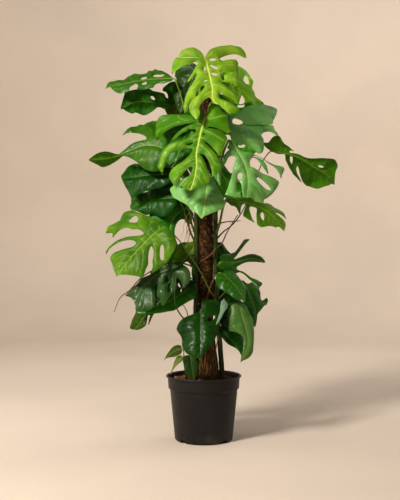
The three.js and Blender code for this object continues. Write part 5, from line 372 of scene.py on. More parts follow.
# each leaf's gain scales its colour: partly the leaf's own tone, partly painted light and shade, raised on leaves
# meant to look lit and lowered on leaves meant to look shaded
LEAVES = [
    {"name": "leaf_01_top_front", "stem": "stem_left", "small": 0, "look": "bright", "tone_and_light_gain": 1.03, "slot": "leaf_light", "at": [4, -86, 1351.2], "along": [0.1918, -0.4776, -0.8574], "across": [0.9773, 0.1735, 0.1219], "face": [0.0905, -0.8613, 0.5], "L": 240.6, "W": 147.7, "fold": -0.1, "droop": 0.1, "side": 0.1, "wave": [7, 70, 3.41, 1.75], "mid": [[0, 0], [36.8, -0.2], [85.3, -0.1], [131.5, -1], [183.6, -4], [196.3, 4.1]], "out": [[0, 0], [-14.5, -2.5], [-28.2, -6.9], [-42, -14.9], [-52, -25.4], [-57.3, -36.9], [-58.4, -49.1], [-57.4, -61.7], [-53.7, -71.3], [-45.3, -79.3], [-35.2, -84.7], [-27.9, -86.7], [-16.3, -49.8], [-5.6, -20.2], [-12.7, -50.5], [-22.6, -84.1], [-26.3, -95.9], [-17.7, -105.1], [-7.7, -111.3], [3.7, -115.5], [18.4, -119.7], [40.1, -122.5], [34.4, -115.2], [28.9, -103.8], [24.1, -90.8], [20, -77.8], [19.1, -63.7], [19.5, -53.3], [18.1, -49.5], [13, -43.2], [13.8, -31.1], [21.4, -29], [29.3, -37.5], [45.6, -49.2], [59.5, -60.4], [72.4, -69.7], [86.8, -78.4], [98.6, -81], [89.7, -71.4], [76.3, -60.1], [65.3, -50.1], [61.4, -41.4], [80.1, -48.8], [99, -61.7], [115.5, -75.7], [131, -87.2], [147.7, -96.2], [169.8, -103.5], [187.8, -108.5], [199.7, -104.5], [202.1, -97.9], [191.9, -92.6], [172.1, -84.6], [160, -73.4], [152.6, -60.4], [162.1, -73.8], [174.7, -83.6], [186, -89.3], [196.8, -91.3], [207.4, -89.1], [222.1, -83.3], [238.3, -77], [240.6, -72.6], [227.9, -62.5], [214.3, -57.5], [199.6, -58.2], [189.9, -52.5], [178.3, -40.9], [170.3, -29.1], [166.5, -18.1], [176.4, -12], [190.6, -8.8], [196.3, 4.1], [200.7, 12], [210.6, 18.9], [220.3, 27.7], [232.6, 37.8], [231.5, 46.9], [224.9, 65.8], [217, 81.8], [209, 72.7], [197, 57.3], [183.6, 42.3], [176.2, 27.6], [170.4, 18.4], [160.3, 18.2], [150.9, 24.7], [157.5, 36.7], [167.6, 52.7], [180.8, 68.3], [192.5, 80.3], [178.3, 85.3], [166.6, 81.6], [155.2, 78.3], [140.7, 65.1], [124.3, 50.6], [108.5, 37.6], [105.4, 54.6], [107.1, 68.9], [115.8, 81.8], [132.9, 83.6], [122.7, 92.6], [112.2, 100.7], [98.1, 100.3], [69.8, 106.7], [49.3, 113.1], [35.3, 114.1], [14.1, 118.8], [-1.2, 116], [-0.9, 99.8], [9.8, 74.4], [12.8, 59.1], [5.7, 52.6], [-1.8, 58.6], [-11.3, 72], [-20.3, 89.2], [-22, 108.1], [-18.6, 126], [-13.6, 140], [-9.4, 152.3], [-12.1, 156], [-23.7, 156.3], [-54.1, 160.4], [-64.2, 154.3], [-69.7, 146.5], [-71.8, 135.5], [-69.8, 111.9], [-60.8, 86.3], [-56.2, 62.9], [-50.9, 43.4], [-41.8, 28.6], [-27.9, 16.5], [-13.6, 7.4]], "holes": [[[42.5, -17.1], [39.5, -10.2], [47, -6.4], [55.4, -11.6], [54.1, -17.6]], [[7.5, 12.9], [3.1, 24.7], [7.7, 38.3], [14.2, 35.6], [15.6, 22.2], [12.6, 13]], [[32.8, 11.4], [35.4, 21.8], [44.1, 36.7], [51.9, 32.8], [48.3, 21.2], [40.1, 12.1]], [[68.4, 7.8], [66.1, 19], [71.5, 30.9], [77.3, 26.2], [78, 13.1]], [[100.1, -25.7], [96.9, -18.8], [97.7, -8.5], [101.5, -14.5], [102.2, -23.3]], [[140.3, -55.9], [128.4, -45.4], [118.4, -32.2], [118.6, -24.3], [128.4, -29.6], [138.3, -41.8], [149.9, -54.4], [148.5, -58.9]], [[62.1, 49.9], [63.4, 63.2], [62.8, 78.2], [62.1, 95.3], [73.1, 96.3], [75, 73.4], [75.7, 55], [95.5, 50.4], [95.6, 44.2]]], "stalk": [[-25.1, -7.8, 1185], [-19.1, -21.6, 1215.5], [-14.4, -29.9, 1245.3], [-10.6, -35.3, 1273.6], [-7.3, -40.5, 1299.3], [-4.1, -48.2, 1321.8], [-0.8, -61.1, 1340.1], [3, -81.9, 1353.3], [6.5, -92.1, 1338.8], [10.3, -101.7, 1321.7]]},
    {"name": "leaf_02_top_left_behind", "stem": "stem_left", "small": 0, "look": "fresh", "tone_and_light_gain": 0.342, "slot": "leaf_mid", "at": [-24.5, 46, 1352.7], "along": [-0.3425, -0.1126, -0.9328], "across": [0.9171, -0.2557, -0.3059], "face": [-0.2041, -0.9602, 0.1908], "L": 183.2, "W": 71.7, "fold": -0.12, "droop": 0.08, "side": 0.16, "wave": [5, 60, 3.24, 3.58], "mid": [[0, 0], [55.6, 0.6], [114.7, -2.1], [176.3, -4.7]], "out": [[0, 0], [-6.6, -14.7], [-5.4, -35.1], [4.5, -52.5], [16.7, -69.5], [31.8, -80], [49.4, -76.9], [65.7, -60.7], [77.7, -65], [93.3, -68.1], [117.6, -54.9], [141.1, -40.7], [162, -24.6], [176.4, -12.8], [183.2, -2.4], [177.4, 11.3], [169.4, 24], [148.3, 31.7], [114.9, 32.7], [77.5, 27.3], [33.3, 19.7]], "holes": [], "stalk": [[-25.8, -4.9, 1120], [-23.1, 20.1, 1161.9], [-18.8, 44.5, 1206.1], [-14.3, 65.2, 1249.5], [-11, 79, 1289.2], [-10.4, 83, 1322.1], [-13.8, 74, 1345.3], [-22.6, 48.9, 1355.9], [-29, 45, 1339.4], [-35.6, 42.8, 1320.7]]},
    {"name": "leaf_03_top_right_behind", "stem": "stem_right", "small": 0, "look": "yellowish", "tone_and_light_gain": 2.856, "slot": "leaf_mid", "at": [74.1, 40, 1336.7], "along": [0.3, -0.251, -0.9203], "across": [0.8177, 0.5646, 0.1126], "face": [0.4913, -0.7863, 0.3746], "L": 136.9, "W": 128.1, "fold": -0.1, "droop": 0.1, "side": 0.12, "wave": [6, 60, 3.75, 4.25], "mid": [[0, 0], [41.3, 7.6], [85, 15.9], [133.8, 10.8]], "out": [[0, 0], [-12.2, 24.3], [-24.1, 63.1], [-25.6, 95.2], [-17.7, 116.8], [-5.2, 134.1], [11.5, 149.7], [47.1, 131.4], [72, 126.2], [95.1, 125.7], [105.7, 146], [117.7, 168.1], [121.4, 145.5], [129.3, 94.5], [126.5, 71], [132.1, 57.5], [136.9, 38], [133.8, 10.8], [117.8, -14.8], [92.3, -31.6], [62.2, -36.8], [27.2, -23.3]], "holes": [[[6.7, 113.6], [25.7, 108.9], [44.6, 112.2], [45.7, 100], [37.3, 89.1], [28.8, 87.7]], [[97.8, 54.8], [113.5, 58.6], [125.8, 55.9], [133, 41.1], [131.7, 28.1], [117.2, 36.1]]], "stalk": [[41, 0.5, 1120], [50.1, 19.7, 1158.4], [53, 38.7, 1197.9], [52.3, 55.1, 1236.5], [51, 66.2, 1272], [51.9, 69.6, 1302.4], [57.8, 62.7, 1325.6], [71.6, 43, 1339.4], [80, 38.5, 1323.9], [88.9, 35.8, 1305.8]]},
    {"name": "leaf_04_second_front", "stem": "stem_left", "small": 0, "look": "bright2", "tone_and_light_gain": 1.039, "slot": "leaf_light", "at": [8.9, -130, 1148.2], "along": [-0.1725, -0.4539, -0.8742], "across": [0.9831, -0.1348, -0.124], "face": [-0.0616, -0.8808, 0.4695], "L": 294.8, "W": 159.2, "fold": -0.08, "droop": 0.1, "side": 0.12, "wave": [8, 75, 2.71, 1.09], "mid": [[0, 0], [34.4, -2.8], [72, -6.8], [120.2, -7.8], [162.8, -7.7], [206.9, 0.4], [250.7, 1], [294.8, -5.1]], "out": [[0, 0], [12.5, -13.6], [22.6, -24.1], [18.1, -35.5], [9.2, -49.6], [3.4, -72.2], [0.6, -101.5], [3.1, -129.8], [7.1, -150.7], [13.4, -164.1], [23.7, -171.7], [37.4, -174.7], [69.3, -168.3], [89, -163.8], [103.2, -156.6], [88, -150.8], [76, -135.2], [65.5, -117.3], [55.2, -97.8], [48.2, -70.7], [41.8, -47.1], [35.2, -27.2], [47.3, -46.2], [58.8, -65.4], [74.6, -85.7], [92.7, -98.3], [112.7, -104.7], [120.9, -105.9], [115.1, -97.8], [104.6, -88.5], [88.7, -75.7], [78.7, -61.7], [76.5, -50.1], [89.2, -42.1], [103.3, -50], [113.3, -69.2], [121.9, -92.3], [132.7, -111.5], [146, -124.1], [162.3, -131.6], [183.3, -134.3], [214.5, -133], [224.1, -124.3], [238.7, -111.8], [221.4, -111.5], [201, -111.5], [174.8, -107.8], [158, -96.8], [151.1, -76.7], [146.9, -56.4], [139.8, -40.1], [147.1, -22.8], [166, -28.5], [181.6, -39.6], [195.3, -54.6], [206.9, -70], [221.3, -83.7], [237.5, -88.6], [256.6, -83.2], [271.2, -72.2], [283.7, -58.4], [274, -53.2], [260, -48], [241.6, -42.9], [223.7, -32.4], [212, -20.6], [211.6, -11.8], [227.9, -12.4], [243.7, -18.6], [260, -27.4], [276.1, -38.4], [287.5, -40.5], [289.7, -26.4], [294, -14.7], [294.8, -5.1], [287.4, 7.1], [277.2, 24.2], [264.7, 38.8], [252.2, 51], [232.1, 46.5], [207.6, 37], [188.3, 26.4], [171.7, 14.9], [159.4, 4], [160.2, 16.4], [171.3, 29], [188.7, 41.3], [211.7, 51.8], [232.2, 57.2], [246.5, 57.5], [236.3, 62.6], [217.7, 71.6], [198, 81.6], [180.9, 76.6], [162.6, 66.3], [141.8, 50.6], [128.7, 34.9], [119, 19], [111, 8.1], [112.5, 19.3], [124.6, 38.3], [140, 55.8], [156.7, 68.7], [168.4, 72.3], [143.5, 75.2], [120.4, 79.8], [102.2, 83.9], [81.4, 85.3], [64.3, 75], [55.5, 57.9], [56.3, 31.9], [59.4, 10.4], [53, 17.6], [50.9, 34.5], [51.8, 56.6], [57, 78], [59, 94.1], [46.4, 88.8], [31.9, 82.5], [9.1, 77.1], [-16.4, 73.3], [-34.6, 63.5], [-53.8, 48.6], [-64.8, 34.6], [-66.4, 20.3], [-58.8, 8.5], [-42.3, 1.5], [-21.7, 0.1]], "holes": [[[71.1, -52.5], [67.9, -44.6], [73.9, -40], [79.9, -44.5]], [[71.3, -35.5], [66.8, -28.6], [73.4, -23.9], [78.7, -30]], [[83.8, 0.8], [79.1, 4.8], [83.3, 8.3], [86.5, 4]], [[125.9, -48.2], [119.4, -36.8], [118.2, -25.1], [127.9, -33.9], [129.6, -43.4]]], "stalk": [[-26.2, -2.2, 940], [-18.6, -22.4, 979.9], [-10.2, -37, 1017.9], [-2.1, -48.9, 1053.2], [5, -61, 1085], [9.9, -75.9, 1112.3], [11.8, -96.6, 1134.4], [9.7, -125.9, 1150.4], [5.4, -135.6, 1135.8], [0.3, -144.5, 1118.5]]},
    {"name": "leaf_05_centre_pointed", "stem": "stem_right", "small": 0, "look": "painted_sheen", "tone_and_light_gain": 1.577, "slot": "leaf_mid", "at": [14.2, -110, 950.4], "along": [-0.1159, -0.5036, -0.8561], "across": [0.9914, -0.0062, -0.1306], "face": [0.0604, -0.8639, 0.5], "L": 187.3, "W": 124.2, "fold": -0.16, "droop": 0.05, "side": 0.1, "wave": [3, 90, 0.93, 1.43], "mid": [[0, 0], [74.7, 3.3], [134.4, 3.4], [187.3, -0.1]], "out": [[0, 0], [5.9, -27.1], [18.9, -56.6], [35.2, -85.7], [52.9, -111], [67.9, -122.8], [84.8, -114.9], [103.9, -102.7], [117.8, -86.6], [130.1, -68], [140.9, -51.7], [158.7, -32.6], [173.1, -15.3], [187.3, -0.1], [178.4, 7], [166.4, 22.8], [153.4, 42], [138.4, 59.7], [119.8, 72.4], [94.9, 67], [72.8, 52.5], [50.6, 37.4], [24.3, 22.4]], "holes": [], "stalk": [[42.5, 1.9, 790], [37.3, -14.8, 821.5], [31.8, -27.8, 850.8], [26.4, -39.1, 877.6], [21.6, -50.6, 901.5], [17.8, -64.3, 922.2], [15.3, -82, 939.4], [14.5, -105.7, 952.5], [13.2, -116.5, 938], [11.7, -126.7, 920.8]]},
    {"name": "leaf_06_right_upper", "stem": "stem_right", "small": 0, "look": "painted_sheen2", "tone_and_light_gain": 1.758, "slot": "leaf_dark", "at": [89.6, -36, 1161.9], "along": [0.5873, -0.2576, -0.7673], "across": [0.7532, 0.5209, 0.4016], "face": [0.2962, -0.8138, 0.5], "L": 177.9, "W": 232.6, "fold": -0.06, "droop": 0.14, "side": 0.1, "wave": [5, 70, 0.53, 2.09], "mid": [[0, 0], [25.9, -23.7], [58.6, -39.7], [93.8, -37.4], [121.5, -12.3], [177.9, 20.1]], "out": [[0, 0], [2.5, 17.9], [4.6, 41.8], [-3.3, 74.5], [-6.3, 108.4], [-3.8, 144.7], [1.7, 174.9], [10.8, 204.3], [22.5, 232.3], [33.6, 241], [48.2, 223.4], [61.6, 202.2], [71.5, 184.8], [89.3, 157.4], [87.5, 122], [73.5, 90], [63.1, 56.2], [52.1, 39], [39.8, 28.2], [30.8, 15.1], [24.1, -1.6], [37.5, -12.3], [46.4, -4.3], [51.6, 8.8], [51.5, 29.2], [64.8, 49.6], [76.3, 82.5], [90.9, 114], [94.6, 151.8], [108.1, 152], [125.6, 150.4], [142.7, 138.9], [130.5, 128], [117, 119.2], [110.7, 102.8], [112.2, 81.1], [118.7, 70.1], [130, 70.5], [144.5, 63.2], [161.8, 48.8], [173.4, 34.6], [177.9, 20.1], [172.2, 9.4], [164.2, 5.3], [148, -7.3], [127.6, -21.4], [123.5, -25.2], [121.9, -38], [107.3, -49.3], [94.1, -55.8], [74.1, -48.7], [54.5, -57.2], [28.3, -48], [8.2, -25.5]], "holes": [], "stalk": [[41.9, 2, 985], [53.7, -5.8, 1016.2], [60.5, -7.7, 1047.3], [64.3, -6.9, 1077.2], [67, -6, 1104.9], [70.3, -8.2, 1129.2], [76.2, -16.1, 1149.2], [86.5, -32.9, 1163.7], [88, -45.7, 1145.6], [88.4, -58.3, 1124.1]]},
    {"name": "leaf_07_right_centre", "stem": "stem_right", "small": 0, "look": "painted_sheen", "tone_and_light_gain": 1.452, "slot": "leaf_dark", "at": [89.8, -130, 1055.2], "along": [0.2403, -0.38, -0.8932], "across": [0.9301, 0.3534, 0.0999], "face": [0.2777, -0.8548, 0.4384], "L": 234.4, "W": 144.9, "fold": -0.08, "droop": 0.1, "side": 0.14, "wave": [6, 70, 0.05, 5.99], "mid": [[0, 0], [37.3, 14.5], [77.2, 25.6], [115.7, 30.7], [167, 24], [213.9, 9.3]], "out": [[0, 0], [15.1, -9.1], [32.9, -10.7], [42.1, -23.7], [57, -39.1], [76, -51.8], [95, -62.1], [116.3, -71.4], [138, -77], [152.6, -72.4], [172.6, -61.6], [153, -64.8], [135.1, -65.4], [110.1, -56.6], [90.7, -45.7], [77.1, -32.4], [61, -20], [57.9, -5.8], [65.1, 2.5], [84.8, -4.4], [108.5, -15.3], [130.3, -25.7], [153, -38], [175, -51.1], [191.4, -60.4], [198.9, -49.5], [205.2, -34.6], [209.1, -19.4], [209.2, -9.6], [190.8, -7.6], [189.1, -20], [168.8, -18.1], [151.1, -10.1], [151, -2.4], [168, 0.5], [189.2, -3.7], [208.1, -7.6], [213.9, 9.3], [215.3, 25.7], [222.6, 35.6], [229.9, 50.4], [234.4, 69.6], [222.2, 74.9], [213.8, 93], [203, 110.7], [184.9, 132], [167.6, 148], [156.8, 151.8], [147.3, 139.6], [137.4, 119.3], [129.9, 100.7], [120.1, 82.9], [109.6, 65.7], [103.4, 49.3], [91.1, 51.2], [79, 56], [66.2, 69.4], [71.2, 81.8], [84.9, 90.1], [96.2, 96.2], [111.2, 103.2], [121.9, 109.9], [130.6, 115], [117.5, 117.2], [95.8, 118.3], [80.4, 109.9], [71.4, 98.1], [65.4, 85.7], [62, 72.1], [58.8, 80.2], [63.5, 93.5], [70.6, 106.4], [78.7, 121], [90.3, 143.7], [103.4, 161.9], [122, 167.7], [143.8, 164.4], [123.2, 180.1], [108.8, 191.7], [100.1, 194.6], [93.8, 184.5], [89.6, 160.2], [79.9, 133], [67.7, 107], [56.9, 85.4], [47.9, 63.9], [43.2, 45.5], [35.2, 28.2], [15.4, 14.6]], "holes": [[[126.4, -2.2], [121.3, 8.3], [127.1, 12.6], [142.7, 6.7], [148.8, -1.8], [139.1, -5.8]], [[141.8, 62.4], [143.5, 77.5], [153.8, 91.4], [169.5, 103.8], [186.7, 111.1], [188.4, 100.2], [177.3, 81.7], [160.6, 66.9]]], "stalk": [[42.5, 2, 880], [49.2, -17, 915.6], [54.7, -32.9, 948.5], [59.6, -47.3, 978.3], [64.7, -62.1, 1004.5], [70.7, -79, 1026.7], [78.3, -99.8, 1044.6], [88.1, -126.3, 1057.7], [98, -132.8, 1043], [110.1, -137.6, 1025.9]]},
    {"name": "leaf_08_far_right", "stem": "stem_right", "small": 0, "look": "under", "tone_and_light_gain": 1.405, "slot": "leaf_mid", "at": [247.6, 22, 1037.2], "along": [0.8745, 0.226, -0.4292], "across": [-0.4324, 0.7643, -0.4785], "face": [0.2198, 0.604, 0.766], "L": 267.6, "W": 102.2, "fold": 0.1, "droop": 0.02, "side": 0.1, "wave": [4, 80, 1.02, 4.74], "mid": [[0, 0], [29.8, -14.3], [66.4, -31.3], [110.7, -35.7], [170.4, -30.2], [213.6, -30.8], [267.6, -4.9]], "out": [[0, 0], [-17.9, -1.6], [-35.1, -6.5], [-45.8, -16.1], [-31.7, -24.9], [-30.8, -36.1], [-32.2, -47.1], [-31.5, -63.3], [-25.4, -74.3], [-14.9, -75.8], [-1.7, -68.9], [10.7, -62.9], [22.3, -59.2], [35.1, -57.1], [49.5, -54.2], [62.6, -49.6], [51, -44.9], [53, -36.3], [71.2, -44.2], [89.3, -49.3], [109.8, -50.6], [126.3, -58.2], [149.4, -75.4], [171.1, -95], [187.1, -110.3], [198.5, -114], [211.4, -104.3], [223.4, -92.3], [230, -77.4], [235.6, -60.3], [244.7, -43], [257.5, -21.3], [267.6, -4.9], [258.2, -3.1], [252.8, 11.8], [243.2, 28.3], [235.7, 43.7], [228.2, 55.5], [216.2, 65.4], [203.3, 70.2], [190.8, 70.7], [173, 61.5], [156.7, 50], [137.3, 29.5], [119.6, 9.7], [111.4, 4.9], [117.5, 22], [134.1, 40.3], [151.3, 52.9], [166.4, 65], [148.7, 63.2], [129.2, 56.8], [104.6, 40.4], [80.9, 22.5], [59.9, 3.4], [43.7, -16.6], [23.8, -2.8]], "holes": [[[65.1, -22.2], [72.3, -22.9], [83.3, -7.3], [90.3, 11.3], [80.2, 4.4]], [[168.9, -48.4], [176.3, -54.4], [188.6, -55.2], [182.2, -45.3], [173.8, -43.6]]], "stalk": [[42.5, 1, 716], [70.5, 27.2, 745.2], [104, 49.5, 771.7], [131.6, 70.7, 805], [153.2, 90.9, 843], [172.1, 103.8, 885.3], [188.5, 94.8, 929.3], [203.1, 74.6, 970.6], [217.8, 47.7, 1007.8], [243.6, 19.5, 1037], [262.6, 19.7, 1034], [284.3, 17.1, 1030.2]]},
    {"name": "leaf_09_left_upper", "stem": "stem_left", "small": 0, "look": "fresh", "tone_and_light_gain": 0.629, "slot": "leaf_dark", "at": [-110.9, 6, 1298.6], "along": [-0.9879, 0.1063, -0.1126], "across": [0.0107, -0.6785, -0.7346], "face": [-0.1545, -0.7269, 0.6691], "L": 258.3, "W": 58.5, "fold": -0.1, "droop": 0.1, "side": 0.1, "wave": [4, 60, 1.47, 0.22], "mid": [[0, 0], [48.1, -9.1], [100.8, -19.3], [161.9, -23.7], [212.6, -27.2], [255, -38.5]], "out": [[0, 0], [11, -23], [23.5, -42.6], [39.3, -61.8], [56.2, -83.9], [80.5, -122.7], [93.3, -105.7], [100.1, -71.6], [112.3, -71.7], [129.6, -83.4], [147.2, -102.4], [158.6, -81.5], [179.6, -83.1], [200.2, -64.8], [224, -65], [245.2, -74.5], [252.1, -57.2], [255.6, -43.9], [258.3, -31.4], [250, -32.4], [240.4, -31.4], [231.9, -18.1], [223.9, -6.7], [211.7, 4], [195.5, 15.9], [177.1, 16], [164.1, 13.9], [163.2, 3.5], [152.3, -3.7], [138.5, -8.5], [129, 6.4], [134.2, 17.9], [116.1, 21.1], [93.1, 23.4], [74.1, 30.4], [68.1, 19.3], [51.9, 12.5], [33.4, 17.8], [18.4, 15.9], [5.1, 13]], "holes": [[[75.8, -43.9], [66.1, -56.6], [46.2, -43.9], [32.2, -29.8], [41.3, -23.1], [60.1, -27.2], [71.5, -34.6]], [[121.9, -31.4], [113.7, -41.8], [100.2, -41.3], [97.6, -30], [106.4, -25.4]], [[117.1, 0.2], [108.2, -7.5], [98.4, -7.8], [99.2, 2.7], [111.9, 3.1]]], "stalk": [[-26, -3.7, 1080], [-45.5, 1.5, 1117], [-59.1, 9.3, 1151.8], [-68.8, 17.3, 1184.5], [-76.4, 23.3, 1215.3], [-83.9, 25.2, 1244.3], [-93.3, 20.7, 1271.6], [-106.5, 7.5, 1297.4], [-124.7, 9.8, 1298.6], [-144.5, 14.4, 1299.1]]},
    {"name": "leaf_10_left_upper_dark", "stem": "stem_left", "small": 0, "look": "deepunder", "tone_and_light_gain": 1.265, "slot": "leaf_dark", "at": [-84.3, 104, 1214.7], "along": [-0.9901, -0.1256, -0.0632], "across": [-0.0351, -0.2145, 0.9761], "face": [-0.1361, 0.9686, 0.2079], "L": 225.3, "W": 89.5, "fold": 0.06, "droop": 0.03, "side": 0.08, "wave": [4, 70, 3.84, 3.09], "mid": [[0, 0], [48.3, 8.9], [107.5, 18.7], [166.7, 23.3], [223.3, 0.2]], "out": [[0, 0], [-11.8, 12.4], [-15.2, 37.9], [-13.9, 67.2], [-3.3, 87.2], [14.8, 92.2], [37.7, 89.5], [51.3, 80.6], [64.1, 70.1], [65.3, 59.2], [54.4, 55.2], [48.1, 45.5], [48, 32.3], [54.5, 35.5], [59.9, 48.1], [68.6, 52.8], [87.1, 57.6], [100.4, 60.6], [119.8, 72.3], [141.9, 70.9], [164.3, 68.9], [186.6, 65.4], [203, 60.3], [211.3, 43.3], [218.4, 21.8], [225.3, -1.9], [216, -0.1], [205.3, -7.9], [194.5, -13.8], [181.8, -18.4], [170.5, -14.8], [157.7, -19.8], [143.1, -26.4], [132, -26.4], [120.6, -20.7], [109.1, -13.8], [97.6, -7], [87.9, 0.3], [74.9, -1], [63.9, -6.6], [48.9, -5.7], [37.6, -2.1], [24.3, 1.4], [11.6, -7.2]], "holes": [[[111.6, 41.4], [104.1, 42.6], [95.1, 29.5], [101.5, 27.9], [109.7, 34.1]], [[27.6, 59.7], [19.9, 63], [12.7, 53.6], [9.1, 42.5], [15.3, 36.9], [24.3, 46]]], "stalk": [[-26.1, -2.5, 1010], [-35, 15.4, 1048], [-41, 28.6, 1084.1], [-45.5, 39.2, 1117.6], [-50.1, 49.6, 1148], [-56.4, 62, 1174.7], [-65.8, 78.7, 1197], [-80, 102, 1214.4], [-98.2, 101.1, 1216.2], [-118.1, 98, 1218.6]]},
    {"name": "leaf_11_left_middle", "stem": "stem_left", "small": 0, "look": "fresh", "tone_and_light_gain": 0.586, "slot": "leaf_mid", "at": [-137, -60, 1036.3], "along": [-0.9695, 0.2273, -0.0916], "across": [-0.029, -0.4775, -0.8782], "face": [-0.2434, -0.8487, 0.4695], "L": 183.6, "W": 111.2, "fold": -0.1, "droop": 0.08, "side": 0.14, "wave": [6, 65, 0.73, 4.14], "mid": [[0, 0], [26.7, -14.4], [57.3, -25], [91.9, -27.5], [130, -17.5], [173.2, -10.5]], "out": [[0, 0], [-9, -26.3], [-8.3, -67.4], [6.8, -118.3], [22.8, -140], [49.1, -157.6], [74.8, -175.1], [82.7, -154.2], [95, -141.5], [122.6, -158.1], [147.7, -158.9], [156.5, -140.8], [168.4, -133.4], [178.3, -128.8], [183.6, -118.7], [173.1, -117], [155.6, -112.4], [138.4, -108.8], [119.8, -107.5], [101.7, -95.7], [84.7, -78.2], [72.4, -60.1], [75.5, -52.9], [86.8, -51.5], [101.9, -49.3], [121.2, -46], [140.8, -40.2], [155.3, -29.4], [168.1, -19.5], [175.7, -11.2], [164.8, -3.5], [148.7, 2.1], [133, 9.7], [117.8, 21.2], [103.5, 36.6], [91.5, 49.6], [73.8, 63], [49, 77], [27.9, 75.4], [6.3, 68.9], [-9.5, 50.7], [-13.5, 25.2]], "holes": [], "stalk": [[-26.2, -2.8, 850], [-44.4, -11.1, 884.6], [-60.1, -16.3, 915.8], [-74.3, -20.3, 944.1], [-87.7, -24.8, 969.8], [-101.3, -31.5, 993.4], [-115.9, -42.3, 1015.1], [-132.4, -58.7, 1035.4], [-150.1, -52.6, 1041.3], [-169.3, -43.6, 1047.7]]},
    {"name": "leaf_12_far_left", "stem": "stem_left", "small": 0, "look": "under", "tone_and_light_gain": 1.438, "slot": "leaf_dark", "at": [-177.3, 102, 1026.3], "along": [-0.9905, -0.1247, -0.0586], "across": [0.036, -0.6444, 0.7638], "face": [-0.133, 0.7544, 0.6428], "L": 248.4, "W": 54, "fold": 0.06, "droop": 0.04, "side": 0.1, "wave": [4, 80, 3.84, 1.06], "mid": [[0, 0], [59.5, 14.1], [96.4, 20.2], [121.6, 17.3], [178, 5.8], [248.4, 6.6]], "out": [[0, 0], [11.2, 27.6], [37.2, 47.9], [66.4, 47], [92.4, 38.7], [111, 30.1], [127.4, 22], [145.8, 22.9], [159.6, 28.7], [173.3, 36.4], [187.8, 40.8], [206.2, 35.1], [222.9, 27.4], [236.1, 18.4], [248.4, 6.6], [231.5, -8.5], [215.9, -19.8], [197.9, -31.7], [179.2, -28.9], [160.3, -17.3], [141.4, -4.3], [121, 11.9], [96.7, 3.8], [71.2, -16.8], [41.3, -44.5], [14.9, -39.9]], "holes": [], "stalk": [[-26.2, -2.5, 905], [-45.6, 10.2, 934.9], [-67.7, 23.5, 955.5], [-91, 37.4, 969.9], [-114.4, 52, 981], [-136.7, 67.3, 991.9], [-156.7, 83.5, 1005.5], [-173, 100.5, 1024.9], [-191, 97.6, 1027.6], [-210.7, 92.3, 1030.2]]},
    {"name": "leaf_13_left_dark", "stem": "stem_left", "small": 0, "look": "deep", "tone_and_light_gain": 0.76, "slot": "leaf_dark", "at": [-112.9, -40, 942.8], "along": [-0.9516, 0.3074, -0.0023], "across": [-0.1789, -0.5599, -0.809], "face": [-0.25, -0.7694, 0.5878], "L": 210.8, "W": 96.2, "fold": -0.14, "droop": 0.1, "side": 0.14, "wave": [6, 60, 2.36, 4.02], "mid": [[0, 0], [47.5, -7.5], [103.3, -10.6], [155.8, -9.1], [206.5, -19.2]], "out": [[0, 0], [10.3, -39.5], [40.8, -63.9], [72.8, -69.5], [114.2, -83.1], [156.3, -105.9], [178.3, -107.3], [185.5, -77.2], [200.6, -60.9], [210.8, -30.6], [198.4, -2.6], [183, 21.6], [168.2, 41.1], [155.2, 62.2], [147.9, 72.8], [131, 66.5], [109.2, 57.3], [79.8, 53.4], [55.2, 42.9], [32.2, 39.8], [9.8, 30.5]], "holes": [], "stalk": [[-26.3, -3.3, 770], [-42.1, -9.3, 800.4], [-54.7, -12.5, 828.2], [-65.1, -14.6, 853.7], [-74.5, -16.8, 877.4], [-84.1, -20.7, 899.6], [-95.1, -27.7, 920.8], [-108.5, -39.2, 941.3], [-125.7, -33.9, 944.2], [-144.1, -26, 946.7]]},
    {"name": "leaf_14_left_dark_low", "stem": "stem_left", "small": 0, "look": "deep", "tone_and_light_gain": 0.943, "slot": "leaf_dark", "at": [-99.3, -20, 865.9], "along": [-0.95, 0.2312, -0.2098], "across": [0.032, -0.5964, -0.802], "face": [-0.3106, -0.7687, 0.5592], "L": 192.9, "W": 82.5, "fold": -0.14, "droop": 0.1, "side": 0.16, "wave": [5, 60, 5.35, 0.46], "mid": [[0, 0], [42.1, -11.2], [89.5, -20.4], [134.4, -19], [182.4, -17]], "out": [[0, 0], [-4.1, -32.7], [17.6, -71.8], [42.8, -78.9], [79.8, -98], [107.8, -87.1], [147.3, -89.5], [192.9, -98.5], [182.7, -50], [183.3, -18.3], [161.9, 1.9], [139, 18.3], [113.3, 31.2], [92.6, 32.6], [72.8, 48.7], [52.1, 57.3], [32.7, 49.9], [11.9, 39.3], [-1.8, 24.9]], "holes": [], "stalk": [[-26.5, -3.8, 700], [-41.3, -5.7, 728.8], [-51.7, -4.9, 756.1], [-59.2, -3.1, 781.7], [-65.6, -1.8, 805.6], [-72.5, -2.9, 827.6], [-81.7, -8.1, 847.5], [-94.7, -18.9, 865.3], [-112.5, -14, 865.6], [-131.7, -6.1, 865.6]]},
